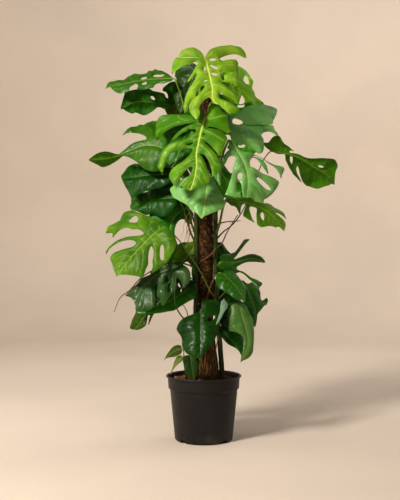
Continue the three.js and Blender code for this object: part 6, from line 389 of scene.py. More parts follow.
    {"name": "leaf_15_left_bright", "stem": "stem_right", "small": 0, "look": "bright3", "tone_and_light_gain": 0.774, "slot": "leaf_light", "at": [-140.9, -90, 760.3], "along": [-0.6503, -0.2621, -0.713], "across": [0.7302, -0.4745, -0.4916], "face": [-0.2095, -0.8403, 0.5], "L": 237.9, "W": 157.6, "fold": -0.1, "droop": 0.1, "side": 0.1, "wave": [6, 70, 0.95, 5.46], "mid": [[0, 0], [35.4, -8.9], [68.4, -12.8], [108.3, -15.6], [159.6, -18.2], [237.1, -14.7]], "out": [[0, 0], [-7.6, -25.4], [-8.7, -52.4], [-6.7, -76.8], [-2.5, -99.6], [0.6, -137.4], [1.5, -181.3], [12.3, -193], [34, -185.4], [48, -183.8], [57.2, -182.4], [73.5, -196.7], [93.9, -200.2], [110.3, -194], [126.8, -189.7], [121, -177.4], [115.6, -165], [126.1, -151.7], [105.3, -145.8], [86.4, -134.8], [72.8, -115.1], [68.2, -92.3], [58.3, -75.1], [55.8, -56.4], [60, -42.3], [72, -51.3], [86.5, -74.8], [101.9, -98.2], [116.8, -110.5], [134.8, -118.4], [151.5, -123.9], [169.8, -130], [181.1, -128], [193.6, -116.1], [182.8, -119.4], [169.5, -119.1], [155.7, -114.7], [137.2, -104.5], [121.1, -93.5], [108.7, -79], [100.7, -59.8], [101.5, -43.9], [109.5, -37.6], [120.2, -40.4], [136, -57.1], [152.2, -74], [170.5, -89], [188, -92.7], [196.6, -89.2], [209.6, -66.1], [224.1, -40.9], [230.9, -25.7], [237.9, -14], [229.7, -14.4], [216, 2.8], [202.5, 23.9], [192.7, 43.7], [186, 61.8], [171.2, 60], [154, 52], [137.9, 47.4], [117, 31.4], [95.5, 18.2], [80.5, 13.4], [85.1, 25.9], [100.6, 42.3], [119.3, 52.6], [132.1, 64], [162.3, 76.8], [147.1, 79.5], [133.9, 86], [118.9, 89.1], [101.1, 89], [82.4, 91], [66.1, 92], [44.5, 87.8], [24, 79.5], [11.3, 65.9], [-0.4, 45], [-6.8, 24.7], [-9.1, 8.6]], "holes": [[[47.5, -139.9], [31, -138.1], [17.3, -128.8], [22.4, -111.9], [36.5, -108.1], [43.8, -120.4]], [[60.2, 39.1], [52.1, 40.5], [58.8, 53.2], [77.7, 68.7], [92.3, 77.1], [97.4, 72]]], "stalk": [[45.3, -3.2, 512], [31.2, -36.1, 521.8], [13.4, -48.7, 552.3], [-2, -56.7, 585.7], [-20.9, -62.5, 617.8], [-41.3, -69.3, 648.8], [-61.1, -76.4, 680.1], [-83.2, -81.8, 710.1], [-109.3, -84.5, 737.2], [-137.8, -86.8, 761.8], [-152.5, -91.4, 751.7], [-169.1, -94.3, 739.9]]},
    {"name": "leaf_16_left_grey", "stem": "stem_left", "small": 0, "look": "grey", "tone_and_light_gain": 0.722, "slot": "leaf_dark", "at": [-90.6, -80, 624], "along": [-0.7662, -0.1871, -0.6148], "across": [0.5893, -0.5859, -0.5562], "face": [-0.2562, -0.7885, 0.5592], "L": 211, "W": 115.3, "fold": -0.1, "droop": 0.1, "side": 0.1, "wave": [5, 60, 1.23, 4.41], "mid": [[0, 0], [41.2, -18.4], [87.6, -30.7], [139.3, -30.8], [188.4, -12.3]], "out": [[0, 0], [3.2, -34.4], [24.1, -50.7], [53.9, -52.7], [86.5, -52.3], [107.4, -62.7], [123.2, -67.8], [141.8, -61.8], [162.8, -59.2], [179.8, -63], [194.5, -64.4], [203.2, -63.7], [196.4, -47.1], [193.8, -29.3], [197, -11.1], [202.3, 4.7], [211, 16], [203.9, 33.6], [182.6, 46.2], [166, 55.6], [150.1, 52.9], [128.2, 27.5], [108.5, 1.4], [96.2, -9], [105.2, 9.9], [128.1, 36.9], [142.3, 53.2], [122.4, 42.2], [130.9, 60.5], [129.9, 70.5], [111.5, 71.5], [97.4, 66.1], [79.9, 61], [60.9, 58], [46.1, 49.5], [31.7, 31.5], [28.8, 47.4], [37.4, 75.9], [23.6, 76.8], [4.1, 73.4], [-12.8, 55.1], [-19.7, 32.2], [-16.3, 10.6]], "holes": [[[57.7, -2.1], [52.5, 2.9], [61.2, 20.1], [66.4, 16.5]], [[73.5, 31.7], [60.8, 28.3], [75.9, 48.2], [85.7, 52.6]]], "stalk": [[-30.4, -7.9, 420], [-53.3, -30.6, 424.5], [-70.9, -54.4, 437.8], [-84.3, -77.2, 456.7], [-95.5, -96.5, 480.3], [-101.1, -112.3, 508.1], [-101.1, -119.9, 539.4], [-98.2, -110.3, 570.2], [-93, -95, 598.4], [-86.8, -77.2, 625], [-104.8, -78.4, 618.4], [-125.4, -76.9, 611.1]]},
    {"name": "leaf_17_left_low", "stem": "stem_left", "small": 0, "look": "deep", "tone_and_light_gain": 1.565, "slot": "leaf_mid", "at": [-34.9, -30, 558.8], "along": [-0.8823, -0.1312, -0.452], "across": [0.447, -0.5341, -0.7176], "face": [-0.1473, -0.8352, 0.5299], "L": 227.9, "W": 46.4, "fold": -0.14, "droop": 0.06, "side": 0.1, "wave": [4, 60, 2.36, 2.19], "mid": [[0, 0], [50.2, 11.8], [104.2, 15.1], [161.3, 7.7], [223.2, -7.7]], "out": [[0, 0], [10.7, -19.8], [31.2, -20.9], [45.1, -11.5], [52.5, 3.2], [60.1, 2.2], [61.8, -11.6], [80, -20.3], [104.5, -21.9], [133.1, -10.1], [162.8, -17.2], [192.1, -23.1], [217, -26.7], [227.9, -21.2], [223.7, -6.7], [200.4, 12], [181.3, 23.1], [155.5, 34.8], [128.6, 46.8], [111.4, 51.1], [91.5, 51.1], [66.8, 51.4], [41.3, 46.8], [22.8, 47.7], [5.1, 28.5]], "holes": [], "stalk": [[-29.8, -7.7, 440], [-29.4, -16.1, 460.1], [-27.5, -18.6, 480], [-25.2, -17.6, 499.4], [-23.3, -15.5, 517.6], [-23, -14.9, 534], [-25.2, -18, 548.1], [-31, -27.3, 559.3], [-45.7, -33, 549.8], [-61.2, -38.3, 537.5]]},
    {"name": "leaf_18_left_low_tip", "stem": "stem_left", "small": 0, "look": "olive", "tone_and_light_gain": 0.531, "slot": "leaf_dark", "at": [-164.7, 0, 514.4], "along": [-0.5713, -0.015, -0.8206], "across": [0.6729, -0.581, -0.4579], "face": [-0.4698, -0.8138, 0.342], "L": 155.1, "W": 50.5, "fold": 0.1, "droop": 0.06, "side": 0.1, "wave": [4, 60, 2.83, 1.88], "mid": [[0, 0], [44, -0.7], [90.9, 0], [148.3, -6.2]], "out": [[0, 0], [12.3, -26.8], [36.8, -48], [65.2, -51.1], [94.8, -45.8], [115.3, -41.1], [133.5, -34.2], [155.1, -27.6], [152, -12.4], [143.9, 4], [131.7, 17.6], [112.8, 28.3], [95.1, 21.5], [76.9, 12], [72.4, 19.8], [87.8, 26.2], [104.7, 34.7], [83.3, 33.7], [57.3, 32.9], [37.1, 31.7], [11.8, 24.6]], "holes": [], "stalk": [[-31.6, -8.4, 378], [-40.8, -2.4, 398.5], [-49.8, 3.1, 419.3], [-56.8, 6.1, 441.3], [-63.3, 7.5, 463.6], [-76.5, 8.4, 482.6], [-95.2, 8.6, 496.4], [-116.1, 7.6, 506.7], [-138.5, 5.1, 512.4], [-161.2, 2.2, 516.8], [-172.5, 0.5, 502.8], [-184.2, 0.3, 486.5]]},
    {"name": "leaf_19_right_low_under", "stem": "stem_right", "small": 0, "look": "olive", "tone_and_light_gain": 2.562, "slot": "leaf_mid", "at": [86.3, -30, 861.7], "along": [0.8144, -0.3376, -0.4719], "across": [0.5084, 0.8071, 0.3], "face": [0.2796, -0.4843, 0.829], "L": 223.6, "W": 124.9, "fold": -0.06, "droop": 0.12, "side": 0.08, "wave": [4, 60, 5.92, 3.64], "mid": [[0, 0], [35.4, 28.8], [71, 59], [110.3, 76], [161.5, 72.8], [221.6, 49.3]], "out": [[0, 0], [-12.6, 54], [-17.5, 137.1], [22.3, 139.9], [58, 126.7], [82.2, 123.4], [84.6, 156.4], [99.8, 160.5], [121, 152], [138.1, 166.2], [154.4, 172.5], [175.3, 150], [186.7, 134.4], [169.3, 131.9], [153.3, 127.5], [150.6, 105.6], [170.6, 108.1], [188.8, 109.9], [206.3, 92.5], [217.5, 63.8], [223.6, 44], [210.6, 44.7], [199.4, 45.6], [194.4, 31.2], [184.4, 17.5], [169.4, 0.1], [156.5, -22.3], [146.6, -24.7], [131.7, -4.8], [112.1, 24.7], [94.1, 53.1], [81, 46.6], [75.4, 35.3], [88.1, 16.7], [106.1, 0.2], [131.3, -20.3], [116.8, -20.2], [102.6, -26.5], [90.6, -34.9], [80, -18.6], [67.7, 12.4], [57.5, 36.4], [50.8, 26.8], [59.2, -2.7], [76.2, -37], [61.1, -25.9], [48.3, -17.1], [37.2, -16.4], [29.8, -25.6], [18.4, -25], [4.3, -28.2]], "holes": [[[120, 42.4], [118.3, 57.5], [129.2, 52.7], [140.8, 35.7], [143.6, 23.1], [132.8, 27.2]]], "stalk": [[42.5, 1.2, 738], [51.5, -4.9, 759.1], [57.5, -8.4, 778.9], [61.6, -10.5, 797.4], [65, -12.3, 814.8], [68.9, -15, 831.2], [74.2, -19.6, 846.7], [82.3, -27.4, 861.5], [103.3, -25.2, 858], [127.8, -18.8, 853.3]]},
    {"name": "leaf_20_right_fingers", "stem": "stem_right", "small": 0, "look": "mid", "tone_and_light_gain": 0.698, "slot": "leaf_light", "at": [64.1, -60, 637.7], "along": [0.9041, 0.4269, -0.0187], "across": [-0.2248, 0.5123, 0.8288], "face": [0.3634, -0.7451, 0.5592], "L": 185, "W": 118.5, "fold": -0.06, "droop": 0.08, "side": 0.12, "wave": [4, 50, 5.32, 3.13], "mid": [[0, 0], [31.6, -1], [61.1, 2], [88.9, 11.4], [140, 23.6], [185, 10.4]], "out": [[0, 0], [-6.2, 19.3], [14.6, 34], [35.2, 36.8], [51.9, 41.8], [66.3, 46.8], [83.4, 63.2], [106.5, 87.6], [127.7, 110.6], [142.1, 117.8], [153.4, 115.8], [135.8, 98.6], [110.8, 74.2], [89.7, 52.3], [71, 33.1], [50.5, 13], [61.4, 16.2], [79.9, 22.8], [104.7, 33.8], [128.8, 42.3], [156.6, 44.3], [179.6, 39.7], [184.4, 26.6], [185, 10.4], [162, 8.4], [135.4, 7.9], [108.4, 4.6], [85, -2.6], [65.8, -12], [50.4, -19.8], [61.8, -27.8], [78, -32.4], [96.7, -44.3], [114.7, -57], [134.8, -66.3], [153.4, -70.3], [140.6, -87.6], [126.8, -84.6], [110.7, -70], [91.1, -52.2], [75.9, -41.1], [62.1, -36.6], [50.3, -41.1], [34.7, -40.2], [15.8, -34.1], [-6.7, -28.2], [-18, -16.3]], "holes": [], "stalk": [[43.4, -1, 600], [44.9, -8.7, 609.7], [45.9, -17.8, 616.2], [46.9, -27.5, 620.4], [48.4, -37.1, 623.5], [50.7, -46.2, 626.5], [54.2, -53.9, 630.4], [59.5, -59.8, 636.3], [76.6, -53.7, 636.7], [94.8, -45.3, 636]]},
    {"name": "leaf_21_right_glossy", "stem": "stem_right", "small": 0, "look": "gloss2", "tone_and_light_gain": 0.781, "slot": "leaf_mid", "at": [59.4, -105, 600.1], "along": [0.6139, -0.3308, -0.7168], "across": [0.7393, 0.5592, 0.3752], "face": [0.2767, -0.7602, 0.5878], "L": 135.4, "W": 51.8, "fold": -0.12, "droop": 0.1, "side": 0.14, "wave": [4, 50, 4.26, 3.22], "mid": [[0, 0], [35.3, 8.3], [75.4, 13.2], [128.1, 8.6]], "out": [[0, 0], [-6.3, -15.2], [3.4, -31.7], [24.4, -35.4], [46.3, -35.3], [65.3, -29.7], [83.6, -23.4], [101, -20.7], [112.2, -8.1], [119.8, 1.3], [135.4, 3.8], [120.5, 19.7], [101.7, 37], [84.5, 49.7], [66.9, 57], [49.1, 52.8], [26, 61], [9.8, 43.6], [0.2, 25.4]], "holes": [], "stalk": [[44.6, -2.4, 545], [45.3, -14.7, 561], [45.1, -28.5, 572.1], [44.8, -43.2, 579.6], [45, -58.4, 584.9], [46.6, -73.5, 589.5], [50.1, -88.1, 594.5], [56.3, -101.7, 601.5], [70.2, -107.2, 590.9], [85.9, -111, 578.1]]},
    {"name": "leaf_22_right_dark", "stem": "stem_right", "small": 0, "look": "deep", "tone_and_light_gain": 1.111, "slot": "leaf_dark", "at": [144.4, -10, 565.2], "along": [0.1988, -0.3597, -0.9116], "across": [0.8026, 0.5936, -0.0592], "face": [0.5624, -0.7199, 0.4067], "L": 169.5, "W": 76.5, "fold": -0.1, "droop": 0.06, "side": 0.14, "wave": [4, 60, 0.7, 1.32], "mid": [[0, 0], [45.5, 15.5], [97.9, 25.7], [167.3, 8.8]], "out": [[0, 0], [4.9, 18.5], [-4.2, 46.5], [1.2, 70.1], [4.7, 93.7], [26.8, 76.8], [43.7, 74.2], [60.1, 80.5], [57.9, 95], [51.6, 104.2], [52.4, 114.3], [60.6, 118.1], [72.6, 111.6], [86.2, 78], [102.8, 57], [121.3, 33.3], [138.1, 26.5], [158.1, 17.4], [169.5, 8.3], [149, 3], [124.8, -2], [100, -9.1], [78.3, -18.5], [47.8, -19], [22.7, -15.5]], "holes": [], "stalk": [[45.8, -3.8, 490], [59, -2.4, 508.6], [73.3, 1.1, 524.1], [88.1, 5.2, 536.7], [103, 8.2, 547], [117.3, 8.4, 555.3], [130.5, 4, 562.1], [142.1, -6.7, 567.8], [150.6, -11.7, 551.9], [160.1, -14.9, 533.3]]},
    {"name": "leaf_23_right_hanging", "stem": "stem_right", "small": 0, "look": "grey2", "tone_and_light_gain": 1.493, "slot": "leaf_dark", "at": [118.7, -100, 492.1], "along": [0.0338, -0.3454, -0.9378], "across": [0.9653, 0.2545, -0.059], "face": [0.259, -0.9033, 0.342], "L": 204.9, "W": 61.9, "fold": -0.16, "droop": 0.06, "side": 0.14, "wave": [4, 60, 0.99, 4.41], "mid": [[0, 0], [39.1, 11.2], [84.6, 23.7], [133.2, 30.7], [202.2, 3.9]], "out": [[0, 0], [0.1, -11.9], [5.3, -24.1], [16.7, -30.7], [38, -32.8], [62.7, -32.5], [91.7, -30.9], [96.2, -15.7], [104.1, 0.3], [117.9, 13.8], [143.7, 14.9], [168, 10.4], [185.1, 5.1], [204.9, 2.8], [197.5, 11.2], [191.8, 24.4], [180.4, 39.9], [166.6, 48.9], [145.5, 50.4], [121.1, 52.8], [95.9, 56], [75, 54.8], [53.3, 57.2], [40, 50.7], [22.1, 39.3], [5.1, 30.7], [-3, 17.8]], "holes": [], "stalk": [[48.6, -4.2, 450], [57.4, -14.5, 467], [68.1, -25.5, 478], [79.8, -37.3, 484.7], [91.6, -50.2, 488.3], [102.6, -64.2, 490.3], [111.6, -79.5, 492], [117.9, -96.3, 495], [122.9, -103.2, 478.6], [129.1, -108.8, 459.5]]},
    {"name": "leaf_24_right_low_dark", "stem": "stem_right", "small": 0, "look": "deep", "tone_and_light_gain": 0.787, "slot": "leaf_dark", "at": [56.8, -70, 412.8], "along": [0.5688, -0.325, -0.7555], "across": [0.8025, 0.4205, 0.4233], "face": [0.1801, -0.8471, 0.5], "L": 129.2, "W": 45.4, "fold": -0.14, "droop": 0.08, "side": 0.14, "wave": [3, 60, 4.37, 1.8], "mid": [[0, 0], [38.8, -1.5], [77.4, 6.3], [124.1, 4.2]], "out": [[0, 0], [6.5, -15], [23.4, -18], [42.2, -18.2], [61.4, -15.4], [77.6, -9.3], [91.4, -0.9], [105.9, 3.8], [119.2, 4.1], [129.2, 3.3], [116.3, 26.9], [95.6, 48.4], [71.9, 57.6], [47.5, 52], [28.1, 38.8], [10, 23.4]], "holes": [], "stalk": [[57.6, -5, 345], [56.4, -13.8, 359.4], [54.3, -21.9, 372.1], [51.9, -29.7, 383.2], [50.1, -37.7, 392.9], [49.4, -46.2, 401.2], [50.5, -55.7, 408.4], [54.1, -66.5, 414.6], [64.2, -74.2, 401.7], [74.9, -80.8, 386.2]]},
    {"name": "leaf_25_bottom_front", "stem": "stem_left", "small": 0, "look": "gloss", "tone_and_light_gain": 0.476, "slot": "leaf_mid", "at": [-11.4, -130, 470], "along": [-0.0058, -0.5305, -0.8476], "across": [0.9982, -0.0532, 0.0265], "face": [-0.0592, -0.846, 0.5299], "L": 177.4, "W": 80.9, "fold": -0.14, "droop": 0.1, "side": 0.18, "wave": [4, 80, 0.67, 4.68], "mid": [[0, 0], [45.6, -0.5], [96.6, -1.1], [176.1, -1]], "out": [[0, 0], [5.7, -16], [10.4, -33.5], [14.4, -49.8], [19.5, -63.3], [28.4, -74.4], [39.2, -81.1], [53, -84.2], [68.9, -77.8], [84.9, -67.8], [98.7, -64.4], [113.1, -65], [132.1, -59], [147.4, -49.1], [158.9, -36.1], [167.8, -21.7], [171.8, -6.1], [177.4, -1], [162.5, 5.4], [146.3, 18.1], [129.6, 31.6], [115.2, 41.7], [95.7, 50.2], [79.3, 55.9], [64.4, 61.5], [47.5, 61.1], [23.8, 63.9], [-9.3, 68.1], [-32.1, 67.8], [-45.4, 56.2], [-47.6, 35.6], [-45.1, 17], [-35.5, 3.2]], "holes": [[[35.7, 19.9], [23.8, 28.7], [16.5, 38.9], [12.9, 47.7], [21.2, 49.1], [31.7, 40.9], [38.7, 28.7]]], "stalk": [[-31.5, -8.4, 380], [-28.4, -23.3, 402.2], [-24.4, -38.4, 419.8], [-20.2, -54, 433.8], [-16.2, -70.3, 445.1], [-13, -87.4, 454.7], [-11.2, -105.8, 463.3], [-11.3, -125.7, 472], [-11.6, -136.8, 457.8], [-12, -147.3, 440.7]]},
    {"name": "leaf_26_right_narrow", "stem": "stem_right", "small": 0, "look": "pale", "tone_and_light_gain": 1.265, "slot": "leaf_mid", "at": [69.4, -120, 507.3], "along": [-0.2754, -0.5314, -0.8011], "across": [0.9443, 0.0065, -0.329], "face": [0.1801, -0.8471, 0.5], "L": 101.2, "W": 17, "fold": -0.1, "droop": 0.05, "side": 0.1, "wave": [2, 40, 3.18, 0.36], "mid": [[0, 0], [35, 4.6], [99.3, 0.3]], "out": [[0, 0], [5.4, -7.9], [22.3, -6], [49.3, -1.4], [75.2, -1.8], [101.2, -0.9], [83.9, 5.9], [62.5, 10.5], [41.4, 13.9], [16.6, 20], [4.3, 12.5]], "holes": [], "stalk": [[52.4, -4.5, 405], [55, -19.3, 428.2], [57.9, -33.5, 447.7], [60.9, -47.7, 464.1], [63.7, -62.4, 477.9], [66.3, -78.3, 489.6], [68.5, -95.9, 499.9], [70, -115.7, 509.2], [67.2, -126.8, 495.1], [64.2, -137.4, 478.2]]},
    {"name": "leaf_27_small_upper", "stem": "offshoot", "small": 1, "look": "young", "tone_and_light_gain": 0.44, "slot": "leaf_light", "at": [-76.7, -75, 332.6], "along": [-0.8264, -0.2283, -0.5148], "across": [0.5065, -0.7007, -0.5024], "face": [-0.246, -0.676, 0.6947], "L": 76, "W": 26.1, "fold": 0.14, "droop": 0.1, "side": 0.05, "wave": [1, 40, 0.66, 0.8], "mid": [[0, 0], [24.5, -9], [51.5, -11.7], [76, -6.4]], "out": [[0, 0], [-3.8, -16.2], [3.7, -26.3], [15.9, -29.5], [29.9, -28.6], [46.9, -21.9], [62.4, -14.8], [76, -6.4], [64, -8.6], [56.2, -3.8], [42.6, 7.5], [26, 16.1], [13.1, 16]], "holes": [], "stalk": [[-62.5, -76, 270], [-67.3, -74.5, 280.5], [-69.6, -72.2, 290.7], [-70.4, -69.9, 300.6], [-70.4, -68.3, 309.9], [-70.6, -68, 318.5], [-71.9, -69.7, 326.1], [-75.3, -74.1, 332.7], [-81.6, -74.7, 330.8], [-88.6, -74.4, 328.4]]},
    {"name": "leaf_28_small_middle", "stem": "offshoot", "small": 1, "look": "young", "tone_and_light_gain": 0.747, "slot": "leaf_light", "at": [-74.2, -90, 306.5], "along": [-0.5493, -0.3768, -0.7459], "across": [0.7885, -0.5292, -0.3133], "face": [-0.2767, -0.7602, 0.5878], "L": 73.6, "W": 17.5, "fold": 0.14, "droop": 0.1, "side": 0.05, "wave": [1, 40, 3.29, 0.25], "mid": [[0, 0], [28.8, -6.6], [73.6, -4.3]], "out": [[0, 0], [-1, -12.4], [9.7, -18.7], [25.8, -17.6], [44, -12.3], [58.6, -9.2], [73.6, -4.3], [56.6, -3], [39.9, -1.6], [25.1, 4], [12.4, 7.1]], "holes": [], "stalk": [[-62.3, -75.2, 262], [-64.8, -78, 269.9], [-66.3, -79.5, 277.6], [-67.3, -80.2, 284.9], [-68.1, -80.8, 291.7], [-69.1, -82, 297.8], [-70.7, -84.4, 302.9], [-73.2, -88.8, 307], [-77.8, -91.1, 303], [-82.8, -92.7, 298.2]]},
    {"name": "leaf_29_small_front", "stem": "offshoot", "small": 1, "look": "young2", "tone_and_light_gain": 0.4, "slot": "leaf_light", "at": [-46.1, -105, 314], "along": [0.1438, -0.3854, -0.9115], "across": [0.9848, -0.0345, 0.17], "face": [-0.0969, -0.9221, 0.3746], "L": 87.3, "W": 29.3, "fold": 0.12, "droop": 0.06, "side": 0.1, "wave": [1, 40, 5.44, 1.65], "mid": [[0, 0], [37.6, -1.9], [87.3, -0.3]], "out": [[0, 0], [-2.3, -18], [5.9, -29], [25.8, -28.7], [47.5, -28.2], [65.7, -22.2], [78, -11.8], [87.3, -0.3], [77.4, 6.1], [61.7, 15.2], [41.8, 23.4], [21.4, 28.3], [6, 18.2]], "holes": [], "stalk": [[-62.6, -76.5, 275], [-59.7, -80.3, 283.1], [-56.6, -83.3, 290.7], [-53.4, -86, 297.5], [-50.5, -88.9, 303.4], [-48.2, -92.5, 308.4], [-46.7, -97.2, 312.3], [-46.3, -103.6, 314.9], [-45.7, -106.7, 309.4], [-45, -109.3, 302.9]]},
    {"name": "leaf_30_inner_left", "stem": "stem_back", "small": 0, "look": "deep", "tone_and_light_gain": 0.95, "slot": "leaf_dark", "at": [-61, 45, 892], "along": [-0.8029, -0.1579, -0.5749], "across": [0.5826, -0.4118, -0.7007], "face": [-0.1261, -0.8975, 0.4226], "L": 137.9, "W": 82.5, "fold": -0.12, "droop": 0.08, "side": 0.12, "wave": [4, 50, 3.58, 1.68], "mid": [[0, 0], [43.1, -9.7], [92.8, -10.8], [133.5, -5.5]], "out": [[0, 0], [1.1, -31.4], [13, -69], [33.1, -93.4], [57.6, -107.4], [86.6, -91.9], [110.3, -68.3], [129.5, -37.4], [137.9, -9.8], [134, 13.9], [118.2, 23.3], [98, 27.3], [85.3, 39.9], [63.5, 42.1], [40, 38.4], [15.5, 26.8]], "holes": [], "stalk": [[7.5, 41.1, 730], [-7.8, 45.5, 759], [-19, 53.1, 787.5], [-27.5, 61.5, 814.6], [-34.4, 67.7, 839.6], [-40.9, 69.4, 861.6], [-48.2, 63.7, 879.7], [-57.5, 48, 893.2], [-74, 44.7, 885.8], [-92.7, 43.6, 877.4]]},
    {"name": "leaf_31_inner_left_low", "stem": "stem_back", "small": 0, "look": "olive", "tone_and_light_gain": 1.44, "slot": "leaf_dark", "at": [-24.5, 56, 716.7], "along": [-0.5642, -0.2427, -0.7892], "across": [0.8155, -0.3132, -0.4867], "face": [-0.129, -0.9182, 0.3746], "L": 176.8, "W": 108.5, "fold": -0.12, "droop": 0.06, "side": 0.1, "wave": [4, 50, 0.89, 1.96], "mid": [[0, 0], [50.5, 8], [89.3, 3.4], [146, -2.5]], "out": [[0, 0], [19.5, -18.4], [32, -39.5], [49.4, -53.8], [80.2, -47], [110.9, -44.3], [141.3, -52.9], [166.5, -48.4], [176.8, -27.1], [169, -0.2], [152.3, 15], [126.1, 15], [103.3, 6.7], [88.3, 16], [94.6, 39.3], [116.7, 54.8], [138.3, 81.2], [141.7, 100.2], [111.2, 86.9], [70.2, 58.8], [27.9, 27.9]], "holes": [], "stalk": [[9.1, 41.4, 620], [1.3, 48, 637.6], [-4.3, 56.1, 655.3], [-8.3, 64, 672.4], [-11.3, 70, 688], [-14.2, 72.4, 701.5], [-17.5, 69.4, 712], [-21.9, 59.4, 718.9], [-30.5, 52.5, 704.3], [-39.2, 46.6, 687]]},
    {"name": "leaf_32_inner_right", "stem": "stem_right", "small": 0, "look": "deep", "tone_and_light_gain": 0.95, "slot": "leaf_dark", "at": [48.3, 30, 698.2], "along": [0.491, -0.2373, -0.8382], "across": [0.8142, 0.4673, 0.3446], "face": [0.31, -0.8517, 0.4226], "L": 121.9, "W": 55.6, "fold": -0.12, "droop": 0.06, "side": 0.12, "wave": [4, 50, 4.08, 5.95], "mid": [[0, 0], [38.3, -0.9], [77.6, 2.8], [114.8, 3.7]], "out": [[0, 0], [-7.7, 4.8], [-2.9, 23.7], [15.7, 29.2], [36.4, 31.4], [57.2, 38.7], [80.8, 40.9], [104.6, 29.6], [121.8, 11.6], [121.9, -13.5], [109.8, -34.7], [86.1, -48.5], [53.5, -36.1], [21, -20.2]], "holes": [], "stalk": [[42.5, 0, 640], [42.6, 8, 651.3], [41.8, 17.1, 662.2], [40.9, 26.1, 672.5], [40.2, 33.6, 681.7], [40.4, 38.2, 689.7], [42, 38.5, 696], [45.5, 33.2, 700.4], [54.7, 27.1, 686], [64.1, 22.2, 669.1]]},
    {"name": "leaf_33_inner_upper_left", "stem": "stem_left", "small": 0, "look": "mid", "tone_and_light_gain": 0.8, "slot": "leaf_dark", "at": [-17, -62, 1187.6], "along": [-0.3579, -0.2815, -0.8903], "across": [0.9064, -0.3338, -0.2589], "face": [-0.2243, -0.8996, 0.3746], "L": 248.4, "W": 100.9, "fold": -0.12, "droop": 0.06, "side": 0.1, "wave": [5, 60, 4.9, 2.39], "mid": [[0, 0], [62.6, -2.6], [131.7, -6.6], [216.7, -5]], "out": [[0, 0], [9.2, -17.8], [33.1, -39.3], [51.3, -61.1], [60.9, -91.8], [73.5, -120.4], [110.2, -117.2], [153.2, -93.8], [188.3, -69.6], [222.7, -43.4], [242.4, -18.8], [248.4, 10.3], [230.3, 37.3], [198.3, 54.2], [156.4, 57.4], [106, 49.4], [48.6, 29.8]], "holes": [], "stalk": [[-26.1, -2.9, 1035], [-22.1, -15.2, 1062.8], [-17.2, -21.4, 1090.8], [-12.4, -24.3, 1117.9], [-8.8, -26.7, 1142.7], [-7.4, -31.3, 1163.8], [-9.1, -41, 1180.1], [-15, -58.5, 1190.2], [-22.4, -65.2, 1175], [-30.4, -70.7, 1157.5]]},
    {"name": "leaf_34_inner_right", "stem": "stem_right", "small": 0, "look": "mid", "tone_and_light_gain": 2.169, "slot": "leaf_dark", "at": [32.2, -70, 992.8], "along": [0.5753, -0.2183, -0.7883], "across": [0.7875, 0.4082, 0.4617], "face": [0.221, -0.8864, 0.4067], "L": 171, "W": 50.6, "fold": -0.12, "droop": 0.06, "side": 0.12, "wave": [4, 50, 2.63, 0.81], "mid": [[0, 0], [57.7, -2.1], [111.1, -0.6], [165.3, 5.2]], "out": [[0, 0], [17.5, 14.8], [41.1, 20.1], [59.8, 21.7], [69.5, 32], [74.9, 44.8], [86.2, 48.1], [105.3, 34.1], [111.9, 41.6], [129.5, 47.3], [154.5, 37.2], [171, 18.1], [164.7, -7.6], [146.1, -28.1], [129.1, -44.8], [97.3, -45.1], [59.8, -39.1], [25.8, -24.4]], "holes": [], "stalk": [[42.5, 2, 820], [37.7, -12.5, 851.4], [31.5, -20.8, 882.6], [25.3, -25.6, 912.5], [20.5, -29.8, 939.9], [18.6, -36.2, 963.5], [21.1, -47.6, 982.3], [29.3, -66.8, 994.9], [39.7, -72.7, 981.3], [50.7, -77.4, 965.2]]},
    {"name": "leaf_35_inner_right_low", "stem": "stem_right", "small": 0, "look": "deep", "tone_and_light_gain": 0.8, "slot": "leaf_dark", "at": [66.6, 32, 538.1], "along": [0.3911, -0.01, -0.9203], "across": [0.9098, 0.155, 0.3849], "face": [0.1388, -0.9879, 0.0698], "L": 163.6, "W": 58.6, "fold": -0.12, "droop": 0.06, "side": 0.12, "wave": [4, 50, 5.1, 2.81], "mid": [[0, 0], [48.8, 3.2], [101.1, 5.3], [158.9, 1.5]], "out": [[0, 0], [33, 18.2], [60.1, 44.7], [88.7, 59.5], [122, 53.6], [150.8, 28.4], [163.6, -0.4], [154, -28.1], [138.7, -49.5], [104.3, -51.8], [62.7, -37.9], [22.5, -21.1]], "holes": [], "stalk": [[45.1, -3, 520], [47.6, 3, 527], [50.4, 11.6, 532.3], [53.4, 21, 536.3], [56.5, 29.6, 539], [59.5, 35.8, 540.6], [62.3, 38, 541.5], [64.6, 34.6, 541.6], [72.8, 32.7, 525.5], [81.8, 32.6, 507.6]]},
